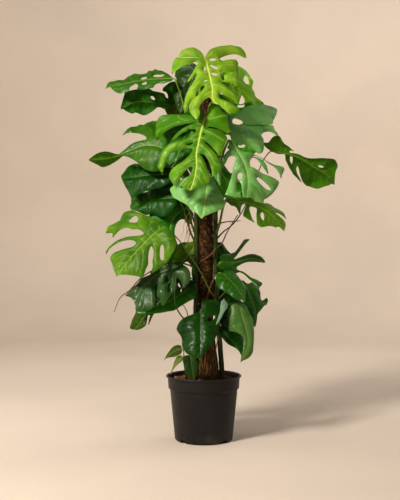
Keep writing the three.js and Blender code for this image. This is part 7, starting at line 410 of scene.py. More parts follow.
    {"name": "leaf_43_inner_upper_right", "stem": "stem_right", "small": 0, "look": "mid", "tone_and_light_gain": 3.672, "slot": "leaf_dark", "at": [89.9, 78, 1245.3], "along": [0.3693, -0.1124, -0.9225], "across": [0.9192, 0.1906, 0.3447], "face": [0.1371, -0.9752, 0.1736], "L": 232.8, "W": 130.4, "fold": -0.1, "droop": 0.06, "side": 0.1, "wave": [4, 60, 4.15, 2.06], "mid": [[0, 0], [40.6, -12.5], [76.4, -25.3], [128.9, -23.7], [179.3, -3.3], [232.8, 4.2]], "out": [[0, 0], [-16.4, -17.3], [-30.7, -31.3], [-26.4, -46.4], [-4.9, -53.2], [19.7, -55.5], [44.8, -53.6], [72.5, -57], [100.8, -65.5], [124.3, -70.8], [130.4, -59.9], [136.8, -48.9], [151, -47.9], [163.6, -54.8], [172.9, -69.8], [186.7, -65], [197.1, -53.5], [204.3, -36.5], [218.9, -18.3], [232.8, 4.2], [227.5, 27], [226.8, 48.3], [214.4, 62.4], [195.5, 63.9], [167.2, 65.2], [147.9, 81.8], [149.3, 107.1], [135.6, 124.4], [117.4, 114.2], [91.2, 97.5], [63.9, 93], [38.5, 84], [15.9, 75.4], [-3.4, 64], [-10.9, 46], [-8.9, 24.3]], "holes": [[[4.8, 43.7], [10.5, 64.1], [41.1, 52.7], [53, 44.1], [46.6, 20.6], [33, 30.5]], [[85.1, -15.8], [94.9, 17.7], [110.3, 14.4], [115.1, -1.6], [107.3, -21.6]], [[179.3, -28.7], [187.1, -7.9], [196.6, -11.5], [188.9, -32.3]]], "stalk": [[41, 1.2, 1090], [49.6, 20.6, 1120.7], [56.8, 44, 1151.4], [63.1, 67.6, 1180.4], [68.9, 87.1, 1206.2], [74.8, 98.6, 1227.2], [81, 97.9, 1241.9], [88.1, 81, 1248.5], [91.1, 76.2, 1230.8], [92.8, 72.7, 1210.2]]},
    {"name": "leaf_44_inner_left_middle", "stem": "stem_left", "small": 0, "look": "deep", "tone_and_light_gain": 2.45, "slot": "leaf_dark", "at": [-60.6, 17, 832.1], "along": [-0.318, -0.154, -0.9355], "across": [0.9456, 0.0204, -0.3248], "face": [0.0691, -0.9879, 0.1392], "L": 212.1, "W": 87.7, "fold": -0.02, "droop": 0.06, "side": 0.04, "wave": [4, 60, 0.96, 0.93], "mid": [[0, 0], [31.7, -23.7], [74.7, -36.4], [129.7, -18.2], [210.8, -0.1]], "out": [[0, 0], [-6, -21.1], [-4.8, -43.6], [6.7, -66.4], [21.8, -91.8], [41.3, -111.9], [60.6, -120.5], [81.5, -114.8], [99, -95.8], [105.4, -70.7], [113.4, -49], [134.6, -32.5], [169, -22.2], [196.4, -13.5], [212.1, 0.3], [204.8, 10.7], [182.8, 15.3], [156.4, 14.6], [139.9, 11.9], [126.3, 2.7], [110.8, -8], [94.2, -15.2], [75.9, -17.7], [58.6, -14.5], [46.1, -5.7], [42.9, 5.5], [45.4, 17.8], [53.8, 26.1], [46.2, 33.4], [22.4, 25.2], [6.4, 15.2]], "holes": [], "stalk": [[-26.4, -3.6, 730], [-34.9, 4.7, 749.4], [-41.9, 14.8, 769.6], [-47.7, 24.7, 789.2], [-52.1, 32.3, 806.9], [-55.5, 35.4, 821.4], [-58, 32.1, 831.4], [-59.5, 20.2, 835.4], [-74.9, 15.3, 822.3], [-94.4, 11.8, 808.1]]},
    {"name": "leaf_45_inner_left_low", "stem": "stem_left", "small": 0, "look": "deep", "tone_and_light_gain": 0.441, "slot": "leaf_dark", "at": [-77.1, -54, 635.8], "along": [-0.4711, -0.3939, -0.7892], "across": [0.8738, -0.3307, -0.3565], "face": [-0.1205, -0.8576, 0.5], "L": 183.6, "W": 87.6, "fold": -0.1, "droop": 0.06, "side": 0.1, "wave": [4, 60, 5.93, 0.56], "mid": [[0, 0], [38.7, -3], [83.2, -6.8], [131.5, -12.5], [182.9, -4.3]], "out": [[0, 0], [4.8, -22.2], [24.1, -44.7], [51.5, -63.2], [81.9, -80.1], [112.2, -87.1], [138.6, -85.4], [165, -60.5], [182.1, -29.6], [183.6, -3.9], [165.4, 10], [143.9, 20.5], [122.2, 25.8], [105.1, 28.8], [85.8, 24.9], [76.1, 26.7], [73.7, 37.8], [80.8, 48.5], [79.9, 61.7], [68, 75.3], [48.7, 78.8], [19.8, 67.8], [-3.2, 50.7], [-7.6, 38.1], [13.5, 50.2], [40.9, 62.7], [41.3, 54.8], [25.2, 43.7], [20.4, 27.8], [11, 14]], "holes": [], "stalk": [[-26.6, -4.1, 655], [-32.7, -9.1, 661.9], [-40.2, -14.4, 661.5], [-48.5, -20.3, 656.3], [-56.8, -26.7, 648.8], [-64.5, -33.8, 641.6], [-70.8, -41.6, 637], [-74.9, -50.2, 637.7], [-84.6, -58.6, 624.8], [-95.4, -66, 609.6]]},
    {"name": "leaf_36_back_upper", "stem": "stem_back", "small": 0, "look": "mid", "tone_and_light_gain": 0.95, "slot": "leaf_dark", "at": [22, 186, 1180], "along": [-0.0608, 0.5677, -0.821], "across": [-0.9915, 0.0608, 0.1154], "face": [0.1154, 0.821, 0.5592], "L": 241.8, "W": 130.5, "fold": -0.08, "droop": 0.12, "side": 0.12, "wave": [8, 61.5, 1.09, 2.71], "mid": [[0, 0], [28.2, 2.3], [59.1, 5.5], [98.5, 6.4], [133.5, 6.3], [169.6, -0.4], [205.6, -0.8], [241.8, 4.2]], "out": [[0, 0], [10.2, 11.2], [18.5, 19.8], [14.9, 29.1], [7.6, 40.6], [2.8, 59.2], [0.5, 83.3], [2.5, 106.4], [5.8, 123.6], [11, 134.6], [19.4, 140.8], [30.6, 143.2], [56.8, 138], [72.9, 134.3], [84.7, 128.4], [72.1, 123.7], [62.3, 110.8], [53.7, 96.2], [45.3, 80.2], [39.5, 58], [34.3, 38.7], [28.8, 22.3], [38.8, 37.9], [48.2, 53.6], [61.1, 70.2], [76, 80.6], [92.4, 85.9], [99.1, 86.8], [94.4, 80.2], [85.8, 72.6], [72.7, 62.1], [64.5, 50.6], [62.7, 41.1], [73.1, 34.5], [84.7, 41], [92.9, 56.8], [100, 75.6], [108.8, 91.4], [119.7, 101.8], [133.1, 107.9], [150.3, 110.1], [175.9, 109], [183.8, 102], [195.7, 91.6], [181.5, 91.5], [164.9, 91.4], [143.3, 88.4], [129.5, 79.3], [123.9, 62.9], [120.5, 46.2], [114.6, 32.9], [120.6, 18.7], [136.1, 23.4], [148.9, 32.5], [160.1, 44.8], [169.6, 57.4], [181.5, 68.6], [194.8, 72.6], [210.4, 68.2], [222.4, 59.2], [232.6, 47.9], [224.7, 43.6], [213.2, 39.3], [198.1, 35.2], [183.4, 26.5], [173.9, 16.9], [173.5, 9.6], [186.9, 10.1], [199.9, 15.2], [213.2, 22.5], [226.4, 31.5], [235.7, 33.2], [237.5, 21.6], [241.1, 12.1], [241.8, 4.2], [235.7, -5.8], [227.3, -19.8], [217.1, -31.9], [206.8, -41.8], [190.4, -38.1], [170.2, -30.4], [154.4, -21.7], [140.8, -12.2], [130.7, -3.2], [131.4, -13.4], [140.5, -23.8], [154.7, -33.9], [173.6, -42.5], [190.4, -46.9], [202.1, -47.1], [193.8, -51.3], [178.5, -58.7], [162.4, -66.9], [148.4, -62.8], [133.3, -54.3], [116.2, -41.5], [105.6, -28.6], [97.5, -15.6], [91, -6.6], [92.3, -15.8], [102.1, -31.4], [114.8, -45.7], [128.5, -56.3], [138.1, -59.3], [117.7, -61.7], [98.7, -65.5], [83.8, -68.8], [66.7, -69.9], [52.7, -61.5], [45.5, -47.4], [46.2, -26.2], [48.7, -8.6], [43.5, -14.5], [41.7, -28.3], [42.5, -46.4], [46.7, -63.9], [48.4, -77.2], [38.1, -72.8], [26.1, -67.6], [7.5, -63.3], [-13.5, -60.1], [-28.3, -52.1], [-44.1, -39.9], [-53.2, -28.4], [-54.5, -16.6], [-48.2, -7], [-34.6, -1.2], [-17.8, -0.1]], "holes": [[[58.3, 43], [55.7, 36.6], [60.6, 32.8], [65.6, 36.5]], [[58.4, 29.1], [54.8, 23.5], [60.2, 19.6], [64.5, 24.6]], [[68.7, -0.6], [64.9, -3.9], [68.3, -6.8], [70.9, -3.3]], [[103.3, 39.5], [97.9, 30.1], [96.9, 20.6], [104.8, 27.8], [106.3, 35.5]]], "stalk": [[6, 40.3, 1110], [8, 57.2, 1132], [10.3, 75.8, 1146.8], [12.7, 95.7, 1156.4], [15.2, 116.6, 1162.7], [17.7, 138.2, 1167.8], [20, 159.9, 1173.5], [21.9, 181.6, 1181.8], [19.9, 193.4, 1168.2], [17, 204.8, 1152]]},
    {"name": "leaf_37_back_middle", "stem": "stem_back", "small": 0, "look": "fresh", "tone_and_light_gain": 0.95, "slot": "leaf_dark", "at": [30, 165, 1040], "along": [0.4521, 0.2992, -0.8403], "across": [-0.7798, 0.5899, -0.2095], "face": [0.433, 0.75, 0.5], "L": 182.8, "W": 113, "fold": -0.08, "droop": 0.12, "side": 0.14, "wave": [6, 54.6, 0.05, 5.99], "mid": [[0, 0], [29.1, 11.3], [60.2, 20], [90.2, 23.9], [130.3, 18.7], [166.8, 7.3]], "out": [[0, 0], [11.7, -7.1], [25.7, -8.3], [32.8, -18.5], [44.5, -30.5], [59.3, -40.4], [74.1, -48.5], [90.7, -55.7], [107.6, -60], [119, -56.5], [134.6, -48], [119.4, -50.6], [105.3, -51], [85.9, -44.1], [70.8, -35.7], [60.1, -25.3], [47.6, -15.6], [45.1, -4.5], [50.8, 2], [66.1, -3.4], [84.6, -11.9], [101.6, -20.1], [119.3, -29.6], [136.5, -39.8], [149.3, -47.1], [155.2, -38.6], [160, -27], [163.1, -15.1], [163.2, -7.5], [148.8, -5.9], [147.5, -15.6], [131.7, -14.1], [117.9, -7.9], [117.8, -1.9], [131, 0.4], [147.6, -2.9], [162.3, -5.9], [166.8, 7.3], [168, 20], [173.6, 27.8], [179.3, 39.3], [182.8, 54.3], [173.3, 58.4], [166.7, 72.5], [158.3, 86.4], [144.2, 103], [130.8, 115.5], [122.3, 118.4], [114.9, 108.9], [107.2, 93.1], [101.4, 78.5], [93.6, 64.6], [85.5, 51.2], [80.6, 38.5], [71, 39.9], [61.6, 43.7], [51.7, 54.1], [55.5, 63.8], [66.2, 70.3], [75.1, 75], [86.7, 80.5], [95.1, 85.7], [101.9, 89.7], [91.6, 91.4], [74.7, 92.3], [62.7, 85.8], [55.7, 76.5], [51, 66.9], [48.3, 56.3], [45.9, 62.5], [49.5, 72.9], [55, 83], [61.4, 94.4], [70.4, 112.1], [80.6, 126.3], [95.2, 130.8], [112.2, 128.2], [96.1, 140.5], [84.9, 149.5], [78.1, 151.8], [73.2, 143.9], [69.9, 124.9], [62.3, 103.7], [52.8, 83.5], [44.4, 66.6], [37.4, 49.8], [33.7, 35.5], [27.5, 22], [12, 11.4]], "holes": [[[98.6, -1.7], [94.6, 6.4], [99.1, 9.8], [111.3, 5.2], [116.1, -1.4], [108.5, -4.5]], [[110.6, 48.7], [111.9, 60.4], [120, 71.3], [132.2, 80.9], [145.6, 86.7], [146.9, 78.2], [138.3, 63.7], [125.2, 52.2]]], "stalk": [[7, 40.6, 900], [8.5, 58.4, 929.3], [7.9, 75, 955.3], [6.8, 91, 978.3], [6.6, 107.1, 998.4], [8.9, 123.8, 1015.6], [15.2, 141.9, 1030.1], [27.1, 161.9, 1042.1], [31.8, 171.9, 1026.7], [35.1, 181.9, 1008.3]]},
    {"name": "leaf_38_back_left", "stem": "stem_back", "small": 0, "look": "deep", "tone_and_light_gain": 0.95, "slot": "leaf_dark", "at": [-88, 190, 1004], "along": [-0.5845, 0.3449, -0.7344], "across": [-0.792, -0.4392, 0.424], "face": [-0.1763, 0.8295, 0.5299], "L": 171.3, "W": 113.5, "fold": -0.1, "droop": 0.12, "side": 0.1, "wave": [6, 50.4, 5.46, 0.95], "mid": [[0, 0], [25.5, 6.4], [49.3, 9.2], [78, 11.2], [114.9, 13.1], [170.7, 10.6]], "out": [[0, 0], [-5.5, 18.3], [-6.3, 37.8], [-4.8, 55.3], [-1.8, 71.7], [0.5, 98.9], [1, 130.6], [8.9, 139], [24.5, 133.5], [34.6, 132.3], [41.2, 131.3], [52.9, 141.6], [67.6, 144.1], [79.4, 139.6], [91.3, 136.6], [87.1, 127.7], [83.3, 118.8], [90.8, 109.2], [75.8, 105], [62.2, 97], [52.4, 82.8], [49.1, 66.5], [42, 54.1], [40.2, 40.6], [43.2, 30.5], [51.8, 37], [62.3, 53.9], [73.4, 70.7], [84.1, 79.5], [97.1, 85.3], [109.1, 89.2], [122.3, 93.6], [130.4, 92.2], [139.4, 83.6], [131.6, 85.9], [122.1, 85.7], [112.1, 82.6], [98.8, 75.2], [87.2, 67.3], [78.3, 56.9], [72.5, 43.1], [73.1, 31.6], [78.9, 27.1], [86.6, 29.1], [97.9, 41.1], [109.6, 53.3], [122.8, 64.1], [135.4, 66.8], [141.5, 64.2], [150.9, 47.6], [161.4, 29.4], [166.2, 18.5], [171.3, 10.1], [165.4, 10.3], [155.5, -2], [145.8, -17.2], [138.7, -31.5], [133.9, -44.5], [123.3, -43.2], [110.9, -37.5], [99.3, -34.1], [84.2, -22.6], [68.8, -13.1], [58, -9.6], [61.3, -18.7], [72.4, -30.4], [85.9, -37.9], [95.1, -46], [116.9, -55.3], [105.9, -57.3], [96.4, -61.9], [85.6, -64.1], [72.8, -64.1], [59.4, -65.5], [47.6, -66.3], [32, -63.2], [17.3, -57.3], [8.1, -47.4], [-0.3, -32.4], [-4.9, -17.8], [-6.6, -6.2]], "holes": [[[34.2, 100.7], [22.3, 99.5], [12.4, 92.8], [16.1, 80.5], [26.3, 77.8], [31.5, 86.7]], [[43.4, -28.1], [37.5, -29.2], [42.4, -38.3], [56, -49.5], [66.5, -55.5], [70.1, -51.8]]], "stalk": [[6.9, 40.4, 960], [-4.1, 57, 982.7], [-17.2, 75.9, 994.2], [-31.6, 96.6, 998.1], [-46.5, 118.6, 997.7], [-61, 141.2, 996.6], [-74.1, 164, 998], [-85.2, 186.5, 1005.6], [-98.8, 192.7, 994.8], [-113.6, 197.6, 981.6]]},
    {"name": "leaf_39_back_low", "stem": "stem_back", "small": 0, "look": "deep", "tone_and_light_gain": 0.95, "slot": "leaf_dark", "at": [44, 150, 560], "along": [0.2832, 0.4219, -0.8613], "across": [-0.9025, 0.421, -0.0905], "face": [0.3244, 0.803, 0.5], "L": 152.6, "W": 69.6, "fold": -0.14, "droop": 0.12, "side": 0.18, "wave": [4, 68.8, 0.67, 4.68], "mid": [[0, 0], [39.2, -0.4], [83.1, -1], [151.4, -0.9]], "out": [[0, 0], [4.9, -13.7], [9, -28.8], [12.3, -42.8], [16.8, -54.4], [24.4, -63.9], [33.7, -69.7], [45.6, -72.4], [59.3, -66.9], [73, -58.3], [84.8, -55.4], [97.3, -55.9], [113.6, -50.7], [126.7, -42.2], [136.6, -31], [144.3, -18.7], [147.7, -5.2], [152.6, -0.9], [139.8, 4.6], [125.8, 15.6], [111.4, 27.1], [99, 35.9], [82.3, 43.2], [68.2, 48.1], [55.4, 52.9], [40.9, 52.5], [20.5, 55], [-8, 58.6], [-27.6, 58.3], [-39, 48.3], [-40.9, 30.6], [-38.8, 14.6], [-30.5, 2.8]], "holes": [[[30.7, 17.1], [20.5, 24.7], [14.1, 33.5], [11.1, 41], [18.3, 42.2], [27.3, 35.2], [33.3, 24.7]]], "stalk": [[7.6, 42.4, 440], [12.2, 57.1, 465.5], [15.9, 70.5, 488], [19.3, 83.3, 507.8], [23, 96.5, 524.9], [27.7, 110.8, 539.6], [33.8, 127.1, 551.9], [42, 146.2, 562.1], [47.9, 155.2, 547.6], [53.6, 163.3, 530.2]]},
    {"name": "leaf_40_back_top", "stem": "stem_back", "small": 0, "look": "fresh", "tone_and_light_gain": 0.95, "slot": "leaf_dark", "at": [-66, 118, 1292], "along": [-0.3605, 0.2464, -0.8996], "across": [-0.8657, -0.4475, 0.2243], "face": [-0.3473, 0.8597, 0.3746], "L": 149.8, "W": 99.4, "fold": -0.16, "droop": 0.06, "side": 0.1, "wave": [3, 72.0, 0.93, 1.43], "mid": [[0, 0], [59.7, 2.6], [107.6, 2.7], [149.8, -0.1]], "out": [[0, 0], [4.7, -21.6], [15.2, -45.3], [28.2, -68.5], [42.3, -88.8], [54.3, -98.3], [67.8, -91.9], [83.1, -82.2], [94.2, -69.3], [104, -54.4], [112.7, -41.3], [126.9, -26], [138.5, -12.2], [149.8, -0.1], [142.7, 5.6], [133.1, 18.2], [122.7, 33.6], [110.7, 47.8], [95.8, 57.9], [76, 53.6], [58.3, 42], [40.5, 29.9], [19.4, 17.9]], "holes": [], "stalk": [[6, 40.9, 1160], [-5, 51.4, 1187], [-15.1, 59.3, 1212.3], [-24.5, 66.2, 1235.3], [-33.7, 73.6, 1255.6], [-43.1, 83.1, 1272.6], [-52.9, 96.3, 1285.7], [-63.7, 114.8, 1294.6], [-71.3, 120.6, 1279.3], [-79.3, 125.1, 1261.5]]},
    {"name": "leaf_41_back_side", "stem": "stem_back", "small": 0, "look": "deep", "tone_and_light_gain": 0.95, "slot": "leaf_dark", "at": [-128, 192, 884], "along": [-0.2035, 0.593, -0.779], "across": [-0.7292, -0.6227, -0.2835], "face": [-0.6533, 0.5104, 0.5592], "L": 128.5, "W": 77.9, "fold": -0.1, "droop": 0.096, "side": 0.14, "wave": [6, 45.5, 0.73, 4.14], "mid": [[0, 0], [18.7, -10.1], [40.1, -17.5], [64.3, -19.2], [91, -12.2], [121.2, -7.4]], "out": [[0, 0], [-6.3, -18.4], [-5.8, -47.1], [4.8, -82.8], [16, -98], [34.4, -110.4], [52.4, -122.6], [57.9, -107.9], [66.5, -99.1], [85.8, -110.6], [103.4, -111.3], [109.6, -98.6], [117.9, -93.4], [124.8, -90.1], [128.5, -83.1], [121.2, -81.9], [108.9, -78.7], [96.9, -76.2], [83.9, -75.3], [71.2, -67], [59.3, -54.7], [50.7, -42], [52.8, -37], [60.8, -36], [71.3, -34.5], [84.8, -32.2], [98.6, -28.2], [108.7, -20.6], [117.6, -13.7], [123, -7.8], [115.4, -2.5], [104.1, 1.5], [93.1, 6.8], [82.5, 14.9], [72.4, 25.6], [64.1, 34.7], [51.6, 44.1], [34.3, 53.9], [19.5, 52.8], [4.4, 48.3], [-6.6, 35.5], [-9.4, 17.7]], "holes": [], "stalk": [[7, 40.8, 830], [-8.2, 57.9, 856.3], [-25.5, 77.6, 870], [-44.6, 99.3, 875], [-64.7, 122.1, 875.2], [-85.3, 145, 874.4], [-105.7, 167.4, 876.6], [-125.5, 188.3, 885.7], [-124.8, 204.6, 874.8], [-123, 221.2, 861.3]]},
    {"name": "leaf_42_back_left_low", "stem": "stem_back", "small": 0, "look": "deep", "tone_and_light_gain": 0.95, "slot": "leaf_dark", "at": [-92, 105, 596], "along": [-0.4685, 0.2882, -0.8352], "across": [-0.6953, -0.7035, 0.1473], "face": [-0.5451, 0.6496, 0.5299], "L": 139.3, "W": 76.1, "fold": -0.1, "droop": 0.12, "side": 0.1, "wave": [5, 39.6, 4.41, 1.23], "mid": [[0, 0], [27.2, 12.1], [57.8, 20.3], [91.9, 20.3], [124.3, 8.1]], "out": [[0, 0], [2.1, 22.7], [15.9, 33.5], [35.6, 34.8], [57.1, 34.5], [70.9, 41.4], [81.3, 44.7], [93.6, 40.8], [107.4, 39.1], [118.7, 41.6], [128.4, 42.5], [134.1, 42.1], [129.6, 31.1], [127.9, 19.3], [130, 7.3], [133.5, -3.1], [139.3, -10.5], [134.6, -22.2], [120.5, -30.5], [109.6, -36.7], [99.1, -34.9], [84.6, -18.1], [71.6, -0.9], [63.5, 6], [69.4, -6.6], [84.5, -24.3], [93.9, -35.1], [80.8, -27.9], [86.4, -39.9], [85.7, -46.5], [73.6, -47.2], [64.3, -43.6], [52.8, -40.3], [40.2, -38.3], [30.4, -32.7], [20.9, -20.8], [19, -31.3], [24.7, -50.1], [15.6, -50.7], [2.7, -48.4], [-8.5, -36.3], [-13, -21.3], [-10.7, -7]], "holes": [[[38.1, 1.4], [34.7, -1.9], [40.4, -13.3], [43.8, -10.9]], [[48.5, -20.9], [40.1, -18.7], [50.1, -31.8], [56.5, -34.7]]], "stalk": [[9.2, 41.8, 520], [-3.3, 48.9, 540.1], [-16.9, 55.7, 555.3], [-31.3, 62.7, 566.9], [-45.9, 70.4, 575.8], [-60.6, 79.2, 583.2], [-75, 89.6, 590.3], [-88.7, 102.2, 598], [-102.5, 104.1, 584.8], [-117, 104.2, 569]]},
]

STEMS = [
    {"name": "stem_left", "path": [[-40, -6, 120, 9], [-38, -6, 205, 9.5], [-33, -9, 330, 9.5], [-28, -7, 500, 8.6], [-26.6, -4, 660, 8.4], [-26.2, -3, 820, 8.2], [-26.2, -2, 980, 8], [-26, -4, 1100, 7.5], [-25, -8, 1190, 6.5], [-22, -18, 1250, 4]]},
    {"name": "stem_right", "path": [[72, 2, 120, 9], [68, 0, 205, 9.5], [58, -5, 340, 9], [46, -4, 480, 8.5], [42.5, 0, 640, 8], [42.5, 2, 800, 8], [42.5, 2, 940, 7.5], [41, 2, 1060, 7], [41, 0, 1140, 6], [45, -8, 1195, 4]]},
    {"name": "stem_back", "path": [[2, 52, 120, 9], [3, 48, 205, 9.5], [6, 43, 360, 9], [10, 41.5, 560, 8.5], [7, 41, 760, 8], [7, 40.5, 940, 7.5], [6, 40, 1080, 6.5], [6, 41, 1170, 5], [5, 46, 1215, 3.5]]},
    {"name": "offshoot", "path": [[-58, -62, 140, 4], [-60, -68, 205, 5], [-62, -74, 250, 4.6], [-63, -78, 290, 3.6]]},
]

ROOTS = [
    dict(name='root_clasp_upper', pole=True, radii=[3.2, 3, 2.6, 1.4], path=[[43, 2, 690], [40, -12, 678], [29, -19.5, 667], [11, -23, 652], [-8, -20, 640], [-19, -9, 631]]),
    dict(name='root_clasp_middle', pole=True, radii=[4, 4, 3.6, 2.6, 1.4], path=[[43, 1, 600], [41, -12, 585], [31, -19, 566], [15, -23.5, 520], [2, -23.8, 470], [-8, -20.5, 432]]),
    dict(name='root_clasp_low', pole=True, radii=[4, 4, 3.8, 3, 2], path=[[52, -4, 420], [44, -17, 396], [32, -20, 352], [22, -23, 300], [17, -24, 254], [20, -23, 219]]),
    dict(name='root_clasp_left', pole=True, radii=[3.6, 3.4, 3, 2.4, 1.8], path=[[-30, -8, 452], [-22, -20, 440], [-12, -22.8, 412], [-6, -23.4, 370], [-5, -23.4, 320], [-9, -22.5, 270], [-14, -21.5, 219]]),
    dict(name='root_hanging_left', pole=False, radii=[2.6, 2.4, 2, 1.6, 1], path=[[-30, -8, 618], [-90, -24, 634], [-160, -36, 617], [-223, -40, 581], [-262, -40, 538], [-297, -40, 510], [-319, -40, 459]]),
    dict(name='root_right_upper', pole=False, radii=[2.4, 2, 1.8, 1.2], path=[[43, 2, 768], [58, 8, 776], [84, 2, 782], [110, -6, 783], [132, -10, 785]]),
    dict(name='root_right_lower', pole=False, radii=[2.4, 2, 1.8, 1.2], path=[[43, 2, 686], [62, -6, 700], [84, -8, 744], [104, -10, 778], [122, -12, 806]]),
]

